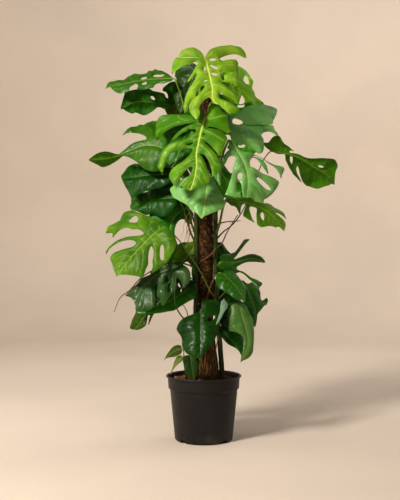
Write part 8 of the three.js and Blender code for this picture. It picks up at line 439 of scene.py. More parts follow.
# how the leaves look: a and b are the two greens of the upper side, low the lower side
LOOKS = {
    "bright": dict(a=(0.118, 0.290, 0.004), b=(0.255, 0.450, 0.026), vein=(0.44, 0.58, 0.11), rib=(0.60, 0.72, 0.14), rib_w=1.35, rib_s=1.0, low=(0.16, 0.27, 0.05), lowvein=(0.36, 0.46, 0.14), through=(0.34, 0.60, 0.008), stalk=(0.15, 0.24, 0.03), bend=(0.40, 0.50, 0.09), rough=0.34, quilt=1.15, vein_s=0.55, halo=0.22, dry=0.2, spec=0.2),
    "bright2": dict(a=(0.058, 0.205, 0.002), b=(0.178, 0.380, 0.014), vein=(0.36, 0.52, 0.08), rib=(0.54, 0.68, 0.12), rib_w=1.35, rib_s=1.0, low=(0.13, 0.23, 0.04), lowvein=(0.32, 0.42, 0.12), through=(0.24, 0.56, 0.005), stalk=(0.060, 0.105, 0.010), bend=(0.38, 0.48, 0.08), rough=0.33, quilt=1.1, vein_s=0.5, halo=0.2, dry=0.2, spec=0.2),
    "bright3": dict(a=(0.050, 0.185, 0.002), b=(0.165, 0.355, 0.016), vein=(0.36, 0.52, 0.08), rib=(0.36, 0.54, 0.07), rib_w=0.85, rib_s=0.85, low=(0.13, 0.23, 0.04), lowvein=(0.32, 0.42, 0.12), through=(0.24, 0.56, 0.005), stalk=(0.060, 0.105, 0.010), bend=(0.38, 0.48, 0.08), rough=0.33, quilt=1.1, vein_s=0.5, halo=0.12, dry=0.2, spec=0.2),
    "fresh": dict(a=(0.038, 0.185, 0.001), b=(0.085, 0.27, 0.002), vein=(0.17, 0.36, 0.016), rib=(0.34, 0.47, 0.10), low=(0.10, 0.18, 0.035), lowvein=(0.26, 0.35, 0.10), through=(0.16, 0.50, 0.004), stalk=(0.11, 0.19, 0.025), bend=(0.36, 0.47, 0.08), rough=0.33, quilt=0.85, vein_s=0.42, halo=0.16, dry=0.3, spec=0.3, wobble=4.4),
    "mid": dict(a=(0.018, 0.140, 0.001), b=(0.046, 0.215, 0.002), vein=(0.09, 0.27, 0.010), rib=(0.25, 0.38, 0.09), low=(0.08, 0.155, 0.035), lowvein=(0.21, 0.30, 0.09), through=(0.08, 0.44, 0.004), stalk=(0.050, 0.095, 0.010), bend=(0.16, 0.26, 0.03), rough=0.29, quilt=0.85, vein_s=0.36, halo=0.13, dry=0.5, coat=0, spec=0.24, wobble=3.4, rib_s=0.6),
    "gloss2": dict(a=(0.018, 0.140, 0.001), b=(0.046, 0.215, 0.002), vein=(0.09, 0.27, 0.010), rib=(0.25, 0.38, 0.09), low=(0.08, 0.155, 0.035), lowvein=(0.21, 0.30, 0.09), through=(0.08, 0.44, 0.004), stalk=(0.050, 0.095, 0.010), bend=(0.16, 0.26, 0.03), rough=0.22, quilt=1.5, vein_s=0.36, halo=0.07, dry=0.5, coat=0, spec=0.5, wobble=5.5, rib_s=0.4),
    "deep": dict(a=(0.007, 0.076, 0.0006), b=(0.020, 0.130, 0.0015), vein=(0.042, 0.18, 0.006), rib=(0.17, 0.29, 0.07), low=(0.030, 0.078, 0.008), lowvein=(0.085, 0.16, 0.03), through=(0.05, 0.36, 0.003), stalk=(0.030, 0.062, 0.008), bend=(0.09, 0.16, 0.02), rough=0.3, quilt=0.85, vein_s=0.3, halo=0.1, dry=0.6, coat=0, spec=0.22, wobble=3.4, rib_s=0.55),
    "grey": dict(a=(0.022, 0.095, 0.009), b=(0.050, 0.145, 0.022), vein=(0.10, 0.21, 0.045), rib=(0.20, 0.30, 0.09), low=(0.035, 0.080, 0.014), lowvein=(0.09, 0.16, 0.04), through=(0.06, 0.34, 0.006), stalk=(0.030, 0.058, 0.010), bend=(0.05, 0.09, 0.02), rough=0.34, quilt=0.85, vein_s=0.32, halo=0.07, dry=0.7, coat=0, spec=0.45, wobble=3.4),
    "grey2": dict(a=(0.045, 0.115, 0.014), b=(0.085, 0.160, 0.040), vein=(0.09, 0.19, 0.04), rib=(0.14, 0.24, 0.06), low=(0.06, 0.12, 0.03), lowvein=(0.17, 0.25, 0.08), through=(0.06, 0.34, 0.006), stalk=(0.030, 0.058, 0.010), bend=(0.05, 0.09, 0.02), rough=0.34, quilt=0.85, vein_s=0.32, halo=0.04, dry=0.7, coat=0, spec=0.45, wobble=3.4, rib_s=0.6),
    # in these two sheen looks b is a bluish grey that paints sheen into the colour, and the wide spread from a to b
    # paints lit and shaded patches; their spec gives real gloss as well
    "painted_sheen": dict(a=(0.048, 0.180, 0.014), b=(0.130, 0.300, 0.082), vein=(0.22, 0.37, 0.09), rib=(0.28, 0.43, 0.11), low=(0.08, 0.155, 0.035), lowvein=(0.21, 0.30, 0.09), through=(0.12, 0.44, 0.006), stalk=(0.050, 0.095, 0.010), bend=(0.30, 0.42, 0.07), rough=0.36, quilt=0.9, vein_s=0.36, halo=0.09, dry=0.4, coat=0.05, spec=0.5, wobble=3.4),
    "painted_sheen2": dict(a=(0.024, 0.125, 0.008), b=(0.135, 0.330, 0.085), vein=(0.15, 0.28, 0.08), rib=(0.20, 0.33, 0.09), low=(0.07, 0.14, 0.03), lowvein=(0.19, 0.27, 0.08), through=(0.10, 0.40, 0.010), stalk=(0.040, 0.08, 0.010), bend=(0.26, 0.38, 0.06), rough=0.40, quilt=1.1, vein_s=0.3, halo=0.07, dry=0.5, coat=0.05, spec=0.45, wobble=3.6),
    "gloss": dict(a=(0.006, 0.078, 0.0006), b=(0.020, 0.140, 0.0012), vein=(0.045, 0.20, 0.004), rib=(0.15, 0.30, 0.05), low=(0.030, 0.078, 0.008), lowvein=(0.085, 0.16, 0.03), through=(0.05, 0.40, 0.003), stalk=(0.030, 0.062, 0.008), bend=(0.26, 0.40, 0.06), rough=0.27, quilt=0.5, vein_s=0.28, halo=0.07, dry=0.5, coat=0, spec=0.24, rib_s=0.3),
    # the blue-grey of the pale look is painted sheen, set into the base colour
    "pale": dict(a=(0.090, 0.180, 0.105), b=(0.140, 0.255, 0.180), vein=(0.25, 0.36, 0.18), rib=(0.36, 0.46, 0.22), low=(0.12, 0.18, 0.07), lowvein=(0.28, 0.34, 0.14), through=(0.30, 0.46, 0.10), stalk=(0.15, 0.19, 0.05), bend=(0.30, 0.36, 0.10), rough=0.40, quilt=0.6, vein_s=0.22, halo=0.09, vein_w=0.9, rib_w=0.5, coat=0.1, spec=0.5),
    "olive": dict(a=(0.052, 0.135, 0.001), b=(0.10, 0.200, 0.004), vein=(0.16, 0.27, 0.025), rib=(0.28, 0.36, 0.08), low=(0.09, 0.145, 0.03), lowvein=(0.22, 0.29, 0.08), through=(0.14, 0.40, 0.003), stalk=(0.11, 0.16, 0.025), bend=(0.30, 0.38, 0.06), rough=0.34, quilt=0.85, vein_s=0.36, halo=0.09, dry=0.8, wobble=3.4),
    "under": dict(a=(0.040, 0.14, 0.004), b=(0.075, 0.20, 0.010), vein=(0.18, 0.31, 0.06), rib=(0.26, 0.38, 0.09), low=(0.042, 0.135, 0.001), lowvein=(0.12, 0.24, 0.02), through=(0.10, 0.40, 0.003), stalk=(0.055, 0.095, 0.010), bend=(0.30, 0.40, 0.06), rough=0.32, quilt=0.85, vein_s=0.25, halo=0.09, dry=0.4, wobble=3.4),
    "deepunder": dict(a=(0.018, 0.085, 0.003), b=(0.040, 0.135, 0.008), vein=(0.11, 0.22, 0.045), rib=(0.18, 0.30, 0.07), low=(0.012, 0.080, 0.0005), lowvein=(0.06, 0.15, 0.015), through=(0.05, 0.30, 0.003), stalk=(0.040, 0.075, 0.010), bend=(0.24, 0.35, 0.06), rough=0.31, quilt=0.85, vein_s=0.22, halo=0.07, dry=0.4, wobble=3.4),
    "yellowish": dict(a=(0.080, 0.200, 0.001), b=(0.155, 0.290, 0.004), vein=(0.24, 0.38, 0.02), rib=(0.36, 0.46, 0.08), low=(0.10, 0.18, 0.03), lowvein=(0.26, 0.35, 0.08), through=(0.22, 0.48, 0.003), stalk=(0.11, 0.18, 0.022), bend=(0.34, 0.44, 0.07), rough=0.33, quilt=1.0, vein_s=0.4, halo=0.11, dry=0.4),
    "young": dict(a=(0.105, 0.180, 0.006), b=(0.16, 0.24, 0.020), vein=(0.30, 0.36, 0.11), rib=(0.38, 0.43, 0.14), low=(0.14, 0.18, 0.05), lowvein=(0.30, 0.34, 0.12), through=(0.34, 0.46, 0.05), stalk=(0.15, 0.18, 0.04), bend=(0.30, 0.34, 0.09), rough=0.36, quilt=0.6, vein_s=0.22, halo=0.09, vein_w=0.9, rib_w=0.5, spec=0.12),
    "young2": dict(a=(0.022, 0.100, 0.001), b=(0.060, 0.165, 0.004), vein=(0.20, 0.29, 0.08), rib=(0.30, 0.38, 0.11), low=(0.09, 0.15, 0.04), lowvein=(0.24, 0.31, 0.10), through=(0.24, 0.42, 0.03), stalk=(0.13, 0.17, 0.035), bend=(0.28, 0.34, 0.08), rough=0.32, quilt=0.6, vein_s=0.22, halo=0.09, vein_w=0.9, rib_w=0.5, spec=0.1),
}


# ------------------------------------------------------------------ leaf blades
def even_odd(loops, X):
    c = np.zeros(len(X), bool)
    x, y = X[:, 0], X[:, 1]
    for P in loops:
        Q = np.roll(P, -1, 0)
        for (ax, ay), (bx, by) in zip(P, Q):
            if ay == by:
                continue
            hit = (ay > y) != (by > y)
            if hit.any():
                c ^= hit & (x < (bx - ax) * (y - ay) / (by - ay) + ax)
    return c


def seg_dist(X, A, B, chunk=1500):
    """Distance of every point to the nearest of the segments A-B."""
    out = np.full(len(X), 1e9)
    d = B - A
    l2 = (d * d).sum(1) + 1e-12
    for i in range(0, len(X), chunk):
        p = X[i : i + chunk][:, None, :] - A[None]
        t = np.clip((p * d[None]).sum(2) / l2, 0, 1)
        q = p - t[..., None] * d[None]
        out[i : i + chunk] = np.sqrt((q * q).sum(2).min(1))
    return out


class Blade:
    """The flat layout of one blade: its margin, midrib, the way its veins run, and its triangles."""

    def __init__(self, lf, seed, H):
        self.lf, self.H = lf, H
        r = np.random.RandomState(seed)
        self.L, self.W = lf["L"], lf["W"]
        m = np.array(lf["mid"], float)
        keep = [0]
        for i in range(1, len(m)):
            if m[i, 0] > m[keep[-1], 0] + 2:
                keep.append(i)
        m = m[keep]
        self.m = m
        slope = np.gradient(m[:, 1], m[:, 0]) if len(m) > 2 else np.full(len(m), (m[-1, 1] - m[0, 1]) / (m[-1, 0] - m[0, 0]))
        self.slope = slope
        out = np.array(lf["out"], float)
        tip = np.array(lf["mid"][-1], float)
        self.out = curve_points(out, H, True)
        self.holes = []
        for h in lf["holes"]:
            h = np.array(h, float)
            ring = np.linalg.norm(h - np.roll(h, -1, 0), axis=1).sum()
            self.holes.append(curve_points(h, min(H * 0.8, ring / 12), True))
        i = int(np.argmin(np.hypot(*(self.out - tip).T)))
        self.out[i] = tip
        loops = [self.out] + self.holes
        A = np.vstack(loops)
        B = np.vstack([np.roll(P, -1, 0) for P in loops])
        self.A, self.B, self.loops = A, B, loops
        self.field()
        self.grids()
        self.layout(r, tip)

    def vm(self, u):
        m, s = self.m, self.slope
        u = np.asarray(u, float)
        i = np.clip(np.searchsorted(m[:, 0], u) - 1, 0, len(m) - 2)
        h = m[i + 1, 0] - m[i, 0]
        t = np.clip((u - m[i, 0]) / h, 0, 1)
        return (2 * t**3 - 3 * t**2 + 1) * m[i, 1] + (t**3 - 2 * t**2 + t) * h * s[i] + (3 * t**2 - 2 * t**3) * m[i + 1, 1] + (t**3 - t**2) * h * s[i + 1]

    def field(self):
        """A potential that is 0 on the midrib and 1 on the outer margin, and runs along the sides of the splits."""
        c = self.cell = 4.0 if self.L > 90 else 1.6
        lo = self.out.min(0) - 3 * c
        n = np.ceil((self.out.max(0) + 3 * c - lo) / c).astype(int)
        self.lo, self.n = lo, n
        gx, gy = np.meshgrid(lo[0] + (np.arange(n[0]) + 0.5) * c, lo[1] + (np.arange(n[1]) + 0.5) * c, indexing="ij")
        X = np.c_[gx.ravel(), gy.ravel()]
        M = even_odd(self.loops, X).reshape(n)
        k = 6
        offs = [(i, j) for i in range(-k, k + 1) for j in range(-k, k + 1) if i * i + j * j <= k * k]
        pad = np.pad(M, k)
        D = np.zeros(M.shape, bool)
        for i, j in offs:
            D |= pad[k + i : k + i + n[0], k + j : k + j + n[1]]
        pad = np.pad(~D, k, constant_values=True)
        E = np.zeros(M.shape, bool)
        for i, j in offs:
            E |= pad[k + i : k + i + n[0], k + j : k + j + n[1]]
        closed = ~E
        far = np.pad(~closed, 1, constant_values=True)
        outer = M & (far[:-2, 1:-1] | far[2:, 1:-1] | far[1:-1, :-2] | far[1:-1, 2:])
        mu = np.arange(0, self.m[-1, 0], c / 2)
        mp = np.c_[mu, self.vm(mu)]
        ij = np.floor((mp - lo) / c).astype(int)
        rib = np.zeros(M.shape, bool)
        ok = (ij >= 0).all(1) & (ij < n).all(1)
        rib[ij[ok, 0], ij[ok, 1]] = True
        rib &= M
        outer &= ~rib
        phi = np.where(outer, 1.0, 0.0)
        U = M & ~rib & ~outer

        def lap(x):
            r = np.zeros_like(x)
            for ax in (0, 1):
                d = np.diff(x, axis=ax)
                w = (M[1:] & M[:-1]) if ax == 0 else (M[:, 1:] & M[:, :-1])
                d = d * w
                if ax == 0:
                    r[:-1] -= d
                    r[1:] += d
                else:
                    r[:, :-1] -= d
                    r[:, 1:] += d
            return r

        b = -lap(phi) * U
        x = np.zeros_like(phi)
        res = b - lap(x) * U
        p = res.copy()
        rr = (res * res).sum()
        for _ in range(260):
            if rr < 1e-8:
                break
            Ap = lap(p) * U
            al = rr / ((p * Ap).sum() + 1e-30)
            x += al * p
            res -= al * Ap
            r2 = (res * res).sum()
            p = res + (r2 / rr) * p
            rr = r2
        phi = phi + x
        known = M.copy()
        for _ in range(6):
            P2 = np.pad(phi * known, 1)
            K2 = np.pad(known.astype(float), 1)
            s = P2[:-2, 1:-1] + P2[2:, 1:-1] + P2[1:-1, :-2] + P2[1:-1, 2:]
            w = K2[:-2, 1:-1] + K2[2:, 1:-1] + K2[1:-1, :-2] + K2[1:-1, 2:]
            new = ~known & (w > 0)
            phi[new] = (s / np.maximum(w, 1))[new]
            known |= new
        self.GX, self.GY = np.gradient(phi, c)
        self.cells = M
        self.outer = lo + (np.argwhere(outer) + 0.5) * c

    def grids(self):
        """The way a vein leaves the midrib, and the distance from it, at every cell and for either side."""
        nx, ny = self.n
        gx, gy = np.meshgrid(self.lo[0] + (np.arange(nx) + 0.5) * self.cell, self.lo[1] + (np.arange(ny) + 0.5) * self.cell, indexing="ij")
        d = gy - self.vm(gx)
        e = np.abs(d)
        l = np.hypot(self.GX, self.GY) + 1e-9
        near = np.exp(-((e / (self.cell * 1.2)) ** 2))
        lean = 0.62 * np.exp(-e / (0.26 * self.W)) * smooth01(gx, -4, 0.16 * self.L)
        self.D = {}
        for sd in (-1.0, 1.0):
            x = self.GX / l * (1 - near) + lean
            y = self.GY / l * (1 - near) + sd * near
            n = np.hypot(x, y) + 1e-9
            self.D[sd] = np.stack([x / n, y / n, d], 2).reshape(-1, 3)

    def at(self, p, sd):
        """Direction x, y and the signed distance from the midrib at p."""
        q = (p - self.lo) / self.cell - 0.5
        i = q.astype(int)
        np.maximum(i, 0, out=i)
        np.minimum(i, self.n - 2, out=i)
        f = np.minimum(np.maximum(q - i, 0), 1)
        k = i[:, 0] * self.n[1] + i[:, 1]
        fx, fy = f[:, :1], f[:, 1:]
        G = self.D[sd]
        return (G[k] * (1 - fx) + G[k + self.n[1]] * fx) * (1 - fy) + (G[k + 1] * (1 - fx) + G[k + self.n[1] + 1] * fx) * fy

    def label(self, X):
        """Where on the midrib the vein through each point starts; below 0 for those that fan out of the base."""
        rho, r0 = self.L * 0.14, self.cell * 2
        e0 = X[:, 1] - self.vm(X[:, 0])
        s = np.empty(len(X))
        h = self.cell * 0.75
        for sd in (-1.0, 1.0):
            idx = np.where((e0 > 0) == (sd > 0))[0]
            p = X[idx].copy()
            for _ in range(int(2.2 * (self.L + self.W) / h)):
                if not len(idx):
                    break
                g = self.at(p, sd)
                e = g[:, 2] * sd
                behind = p[:, 0] <= 0
                base = behind & (p[:, 0] ** 2 + p[:, 1] ** 2 < r0 * r0)
                hit = ~behind & (e < h)
                lost = behind & ~base & (e < h * 0.6)
                if base.any():
                    s[idx[base]] = -np.maximum(0, np.arctan2(np.abs(p[base, 1]), p[base, 0]) - np.pi / 2) * rho
                s[idx[hit]] = p[hit, 0] - 0.62 * e[hit]
                s[idx[lost]] = -np.pi / 2 * rho
                go = ~(base | hit | lost)
                idx, p = idx[go], p[go] - h * g[go, :2]
            s[idx] = p[:, 0]
        return s

    def vein_starts(self, sd, um):
        """Where the veins of one side leave the midrib, so that each lobe has its own along its middle."""
        P = self.out
        e = P[:, 1] - self.vm(P[:, 0])
        d = np.full(len(P), 1e9)
        for i in range(0, len(self.outer), 400):
            o = self.outer[i : i + 400]
            d = np.minimum(d, np.hypot(P[:, None, 0] - o[None, :, 0], P[:, None, 1] - o[None, :, 1]).min(1))
        good = (d < 1.5 * self.cell) & (e * sd > 0)
        s = self.label(P)
        runs, cur = [], []
        for i in range(len(P)):
            if good[i]:
                cur.append(i)
            elif cur:
                runs.append(cur)
                cur = []
        if cur:
            runs.append(cur)
        starts = []
        for run in runs:
            ln = np.linalg.norm(np.diff(P[run], axis=0), axis=1).sum() if len(run) > 1 else 0
            if ln < 7 and self.L > 90:
                continue
            a, b = np.percentile(s[run], (6, 94))
            n = max(1, int(round(max((b - a) / self.spacing, ln / (2.0 * self.spacing)))))
            starts += [a + (k + 0.5) / n * (b - a) for k in range(n)]
        lowest = -np.pi / 2 * self.rho * 0.94
        starts = sorted(x for x in starts if lowest < x < 0.96 * um)
        out = []
        for x in starts:
            if out and x - out[-1] < 0.36 * self.spacing:
                continue
            while out and x - out[-1] > 1.75 * self.spacing:
                out.append(out[-1] + max(self.spacing, (x - out[-1]) / round((x - out[-1]) / self.spacing)))
                if x - out[-1] < 0.36 * self.spacing:
                    out.pop()
                    break
            out.append(x)
        if len(out) < 2:
            out = list(np.arange(0.2, 0.95, self.spacing / um) * um)
        return np.array(out)

    def count(self, s, sd):
        """The running number of the vein through s on one side: whole on a vein."""
        v = self.starts[sd]
        k = np.arange(len(v), dtype=float)
        q = np.interp(s, v, k)
        q = np.where(s < v[0], (s - v[0]) / self.spacing, q)
        return np.where(s > v[-1], k[-1] + (s - v[-1]) / self.spacing, q)

    def layout(self, r, tip):
        H, L, W = self.H, self.L, self.W
        self.spacing = float(np.clip(L / 9.0, 9 if L > 90 else 6, 27))
        self.rho = L * 0.14
        # midrib and the two lines beside it
        um = self.m[-1, 0]
        mu = np.linspace(0, um, max(4, int(um / H)))
        rib = np.c_[mu, self.vm(mu)]
        rib[0] = self.out[0]
        rib[-1] = tip
        self.ribw = 2.4 if L > 90 else 1.1
        lines = [("rib", rib)]
        for sd in (-1, 1):
            k = (mu > 5) & (mu < um - 7)
            wdt = self.ribw * (1 - 0.6 * mu[k] / um)
            lines.append(("beside", np.c_[mu[k], self.vm(mu[k]) + sd * wdt]))
        # side veins, grown outwards
        self.starts = {sd: self.vein_starts(sd, um) for sd in (-1.0, 1.0)}
        self.veins = []
        for sd in (-1.0, 1.0):
            seeds = []
            for s in self.starts[sd]:
                if s > 4:
                    seeds.append((s, self.vm(s) + sd * self.ribw * 0.9))
                else:
                    t = np.pi / 2 - min(s, 0) / self.rho
                    rr = self.cell * 1.6
                    seeds.append((rr * math.cos(t), rr * math.sin(t) * sd))
            p = np.array(seeds, float)
            paths = [p]
            for _ in range(int(1.5 * (L + W) / H)):
                q = p + H * self.at(p, sd)[:, :2]
                p = p + H * 0.5 * (self.at(p, sd)[:, :2] + self.at(q, sd)[:, :2])
                paths.append(p)
            paths = np.array(paths).transpose(1, 0, 2)
            flat = paths.reshape(-1, 2)
            lo, hi = self.out.min(0), self.out.max(0)
            near = ((flat > lo) & (flat < hi)).all(1)
            ok = np.zeros(len(flat), bool)
            ok[near] = even_odd(self.loops, flat[near])
            ok[ok] = seg_dist(flat[ok], self.A, self.B) > 1.6
            ok = ok.reshape(paths.shape[:2])
            for k, path in enumerate(paths):
                n = len(path) if ok[k].all() else int(np.argmin(ok[k]))
                if n >= 4:
                    self.veins.append((sd, k, path[:n]))
        # veins that run close together are thinned out
        kept = []
        for sd, kq, path in sorted(self.veins, key=lambda v: -len(v[2])):
            if kept:
                A = np.vstack([k[2][:-1] for k in kept])
                B = np.vstack([k[2][1:] for k in kept])
                d = seg_dist(path, A, B)
                near = np.where(d < H * 0.9)[0]
                if len(near):
                    first = near[near > 1]
                    path = path[: first[0]] if len(first) else path
                if near.size and near[0] <= 1 or len(path) < 4:
                    continue
            kept.append((sd, kq, path))
        self.veins = kept
        for sd, kq, path in kept:
            lines.append(("vein", path))
        # points
        pts, edges, tag = [], [], []
        for P in self.loops:
            b = len(pts)
            pts += P.tolist()
            tag += [(0, 0, 0)] * len(P)
            edges += [(b + i, b + (i + 1) % len(P)) for i in range(len(P))]
        for kind, P in lines:
            b = len(pts)
            pts += P.tolist()
            edges += [(b + i, b + i + 1) for i in range(len(P) - 1)]
        for kind, P in lines[:3]:
            tag += [(1 if kind == "rib" else 2, 0, 0)] * len(P)
        for sd, kq, P in kept:
            tag += [(3, sd, kq)] * len(P)
        lo, hi = self.out.min(0), self.out.max(0)
        nx, ny = int((hi[0] - lo[0]) / H) + 2, int((hi[1] - lo[1]) / (H * 0.866)) + 2
        gi, gj = np.meshgrid(np.arange(nx), np.arange(ny), indexing="ij")
        X = np.c_[(lo[0] + (gi + 0.5 * (gj % 2)) * H).ravel(), (lo[1] + gj * H * 0.866).ravel()]
        X += r.uniform(-0.14, 0.14, X.shape) * H
        X = X[even_odd(self.loops, X)]
        LA = np.vstack([self.A] + [P[:-1] for _, P in lines])
        LB = np.vstack([self.B] + [P[1:] for _, P in lines])
        X = X[seg_dist(X, LA, LB) > H * 0.5]
        tag += [(4, 0, 0)] * len(X)
        pts += X.tolist()
        vs, _, fs, ov, _, _ = delaunay_2d_cdt([Vector(p) for p in pts], edges, [], 0, 1e-4, True)
        V = np.array([(v[0], v[1]) for v in vs])
        F = np.array([f for f in fs if len(f) == 3])
        F = F[even_odd(self.loops, V[F].mean(1))]
        a, b, c = V[F[:, 0]], V[F[:, 1]], V[F[:, 2]]
        area2 = (b[:, 0] - a[:, 0]) * (c[:, 1] - a[:, 1]) - (b[:, 1] - a[:, 1]) * (c[:, 0] - a[:, 0])
        F = np.where((area2 < 0)[:, None], F[:, ::-1], F)
        F = F[np.abs(area2) > 1e-4]
        used = np.unique(F)
        back = np.full(len(V), -1)
        back[used] = np.arange(len(used))
        src = [ov[i][0] if len(ov[i]) else -1 for i in used]
        V, F = V[used], back[F]
        self.V, self.F = V, F
        kind = np.array([tag[i][0] if i >= 0 else 4 for i in src])
        # the loop edges that only one triangle uses
        E = np.sort(np.vstack([F[:, [0, 1]], F[:, [1, 2]], F[:, [2, 0]]]), 1)
        key = E[:, 0].astype(np.int64) * (len(V) + 1) + E[:, 1]
        uniq, idx, cnt = np.unique(key, return_index=True, return_counts=True)
        self.rim = E[idx[cnt == 1]]
        self.onrim = np.zeros(len(V), bool)
        self.onrim[self.rim.ravel()] = True
        self.edge = seg_dist(V, self.A, self.B)
        self.edge[self.onrim] = 0
        self.e = V[:, 1] - self.vm(V[:, 0])
        self.e[kind == 1] = 0
        s = self.label(V)
        q = np.where(self.e > 0, self.count(s, 1.0), self.count(s, -1.0))
        on = np.zeros(len(V))
        for i, k in enumerate(src):
            if k >= 0 and tag[k][0] == 3:
                q[i] = tag[k][2]
                on[i] = 1
        mids = kind == 1
        q[mids] = 0.5 * (self.count(V[mids, 0], 1.0) + self.count(V[mids, 0], -1.0))
        self.q, self.on = q, on
        # how many millimetres lie between two veins at each vertex
        p0, p1, p2 = (V[F[:, i]] for i in range(3))
        q0, q1, q2 = (q[F[:, i]] for i in range(3))
        e1, e2 = p1 - p0, p2 - p0
        det = e1[:, 0] * e2[:, 1] - e1[:, 1] * e2[:, 0]
        g = np.c_[((q1 - q0) * e2[:, 1] - (q2 - q0) * e1[:, 1]) / det, ((q2 - q0) * e1[:, 0] - (q1 - q0) * e2[:, 0]) / det]
        g = np.clip(np.hypot(*g.T), 0.25 / self.spacing, 8 / self.spacing)
        acc, cn = np.zeros(len(V)), np.zeros(len(V))
        for i in range(3):
            np.add.at(acc, F[:, i], g)
            np.add.at(cn, F[:, i], 1)
        acc /= np.maximum(cn, 1)
        for _ in range(3):
            a2, c2 = np.zeros(len(V)), np.zeros(len(V))
            m = acc[F].mean(1)
            for i in range(3):
                np.add.at(a2, F[:, i], m)
                np.add.at(c2, F[:, i], 1)
            acc = a2 / np.maximum(c2, 1)
        self.gap = 1 / acc


def blade_mesh(lf, seed, H, look):
    B = Blade(lf, seed, H)
    V, F, e, edge, q, gap = B.V, B.F, B.e, B.edge, B.q, B.gap
    L, W = B.L, B.W
    u, v = V.T
    d = np.abs(e)
    a, lam, pr, pl = lf["wave"]
    w = lf["fold"] * (np.sqrt(d * d + 36) - 6) - lf["droop"] * u * u / L - lf["side"] * d * d / W
    w += a * (d / W) ** 1.5 * np.sin(2 * np.pi * (u - 0.45 * d) / lam + np.where(e > 0, pr, pl))
    k = min(1.0, W / 90)
    f = np.where(B.on > 0, 0.0, q % 1.0)
    puff = np.sin(np.pi * f) ** 0.8
    amp = np.clip(0.075 * gap, 0.2, 1.7) * look.get("quilt", 1.0) * k**0.5
    rel = amp * puff * smooth01(d, 1.5, 10) * (0.3 + 0.7 * smooth01(edge, 0, 9))
    # lobes arch between their edges, and the margin turns down a little
    rel += look.get("arch", 4.2) * k * (1 - np.exp(-edge / (10 * k))) * smooth01(d, 0, 24 * k)
    # and each half swells between the midrib and the margin
    span = d + edge
    rel += look.get("swell", 3.5) * k * np.clip(span / 60, 0.1, 1) * np.sin(np.pi * d / np.maximum(span, 1e-6))
    P3 = np.c_[u, v, np.full(len(u), 97.0 * seed)]
    rel += look.get("wobble", 2.2) * k * waves(seed, 9, 110, 38)(P3) * smooth01(d, 2, 30)
    taper = 1 - 0.72 * np.clip(u / B.m[-1, 0], 0, 1)
    groove = np.exp(-((d / (B.ribw * 0.75)) ** 2)) * taper
    top_rel = rel - 1.0 * k * groove
    O, eu, ev, n = (np.array(lf[x], float) for x in ("at", "along", "across", "face"))
    P = O + u[:, None] * eu + v[:, None] * ev + (w + top_rel)[:, None] * n
    fn = np.cross(P[F[:, 1]] - P[F[:, 0]], P[F[:, 2]] - P[F[:, 0]])
    N = np.zeros_like(P)
    for i in range(3):
        np.add.at(N, F[:, i], fn)
    N /= np.linalg.norm(N, axis=1)[:, None] + 1e-12
    half = 0.42 * (0.6 if L < 90 else 1) * np.sqrt(np.clip(edge / 3.0, 0, 1))
    ridge = 2.9 * k * groove * smooth01(edge, 0, 5) + 0.55 * k * B.on * (1 - np.clip(d / W, 0, 1)) * smooth01(edge, 1, 8)
    top = P + N * half[:, None]
    bot = P - N * (half + ridge)[:, None]
    inner = ~B.onrim
    nb = len(V)
    idx = np.arange(nb)
    low = idx.copy()
    low[inner] = nb + np.arange(inner.sum())
    verts = np.vstack([top, bot[inner]])
    faces = np.vstack([F, low[F][:, ::-1]])
    att = {}
    for key, val in (("q", q), ("rib", d), ("sd", np.sign(e)), ("edge", edge), ("gap", gap), ("out", np.clip(d / W, 0, 1)), ("len", u / L)):
        att[key] = np.r_[val, val[inner]]
    return verts, faces, att, np.r_[np.ones(len(F)), np.zeros(len(F))], B.rim, B


# dry patches: leaf, then x, z and size in millimetres
DRY = {"leaf_25": [(-96, 392, 13), (-92, 372, 8)], "leaf_03": [(238, 815, 7)], "leaf_18": [(-196, 475, 6)], "leaf_15": [(-95, 722, 9)]}


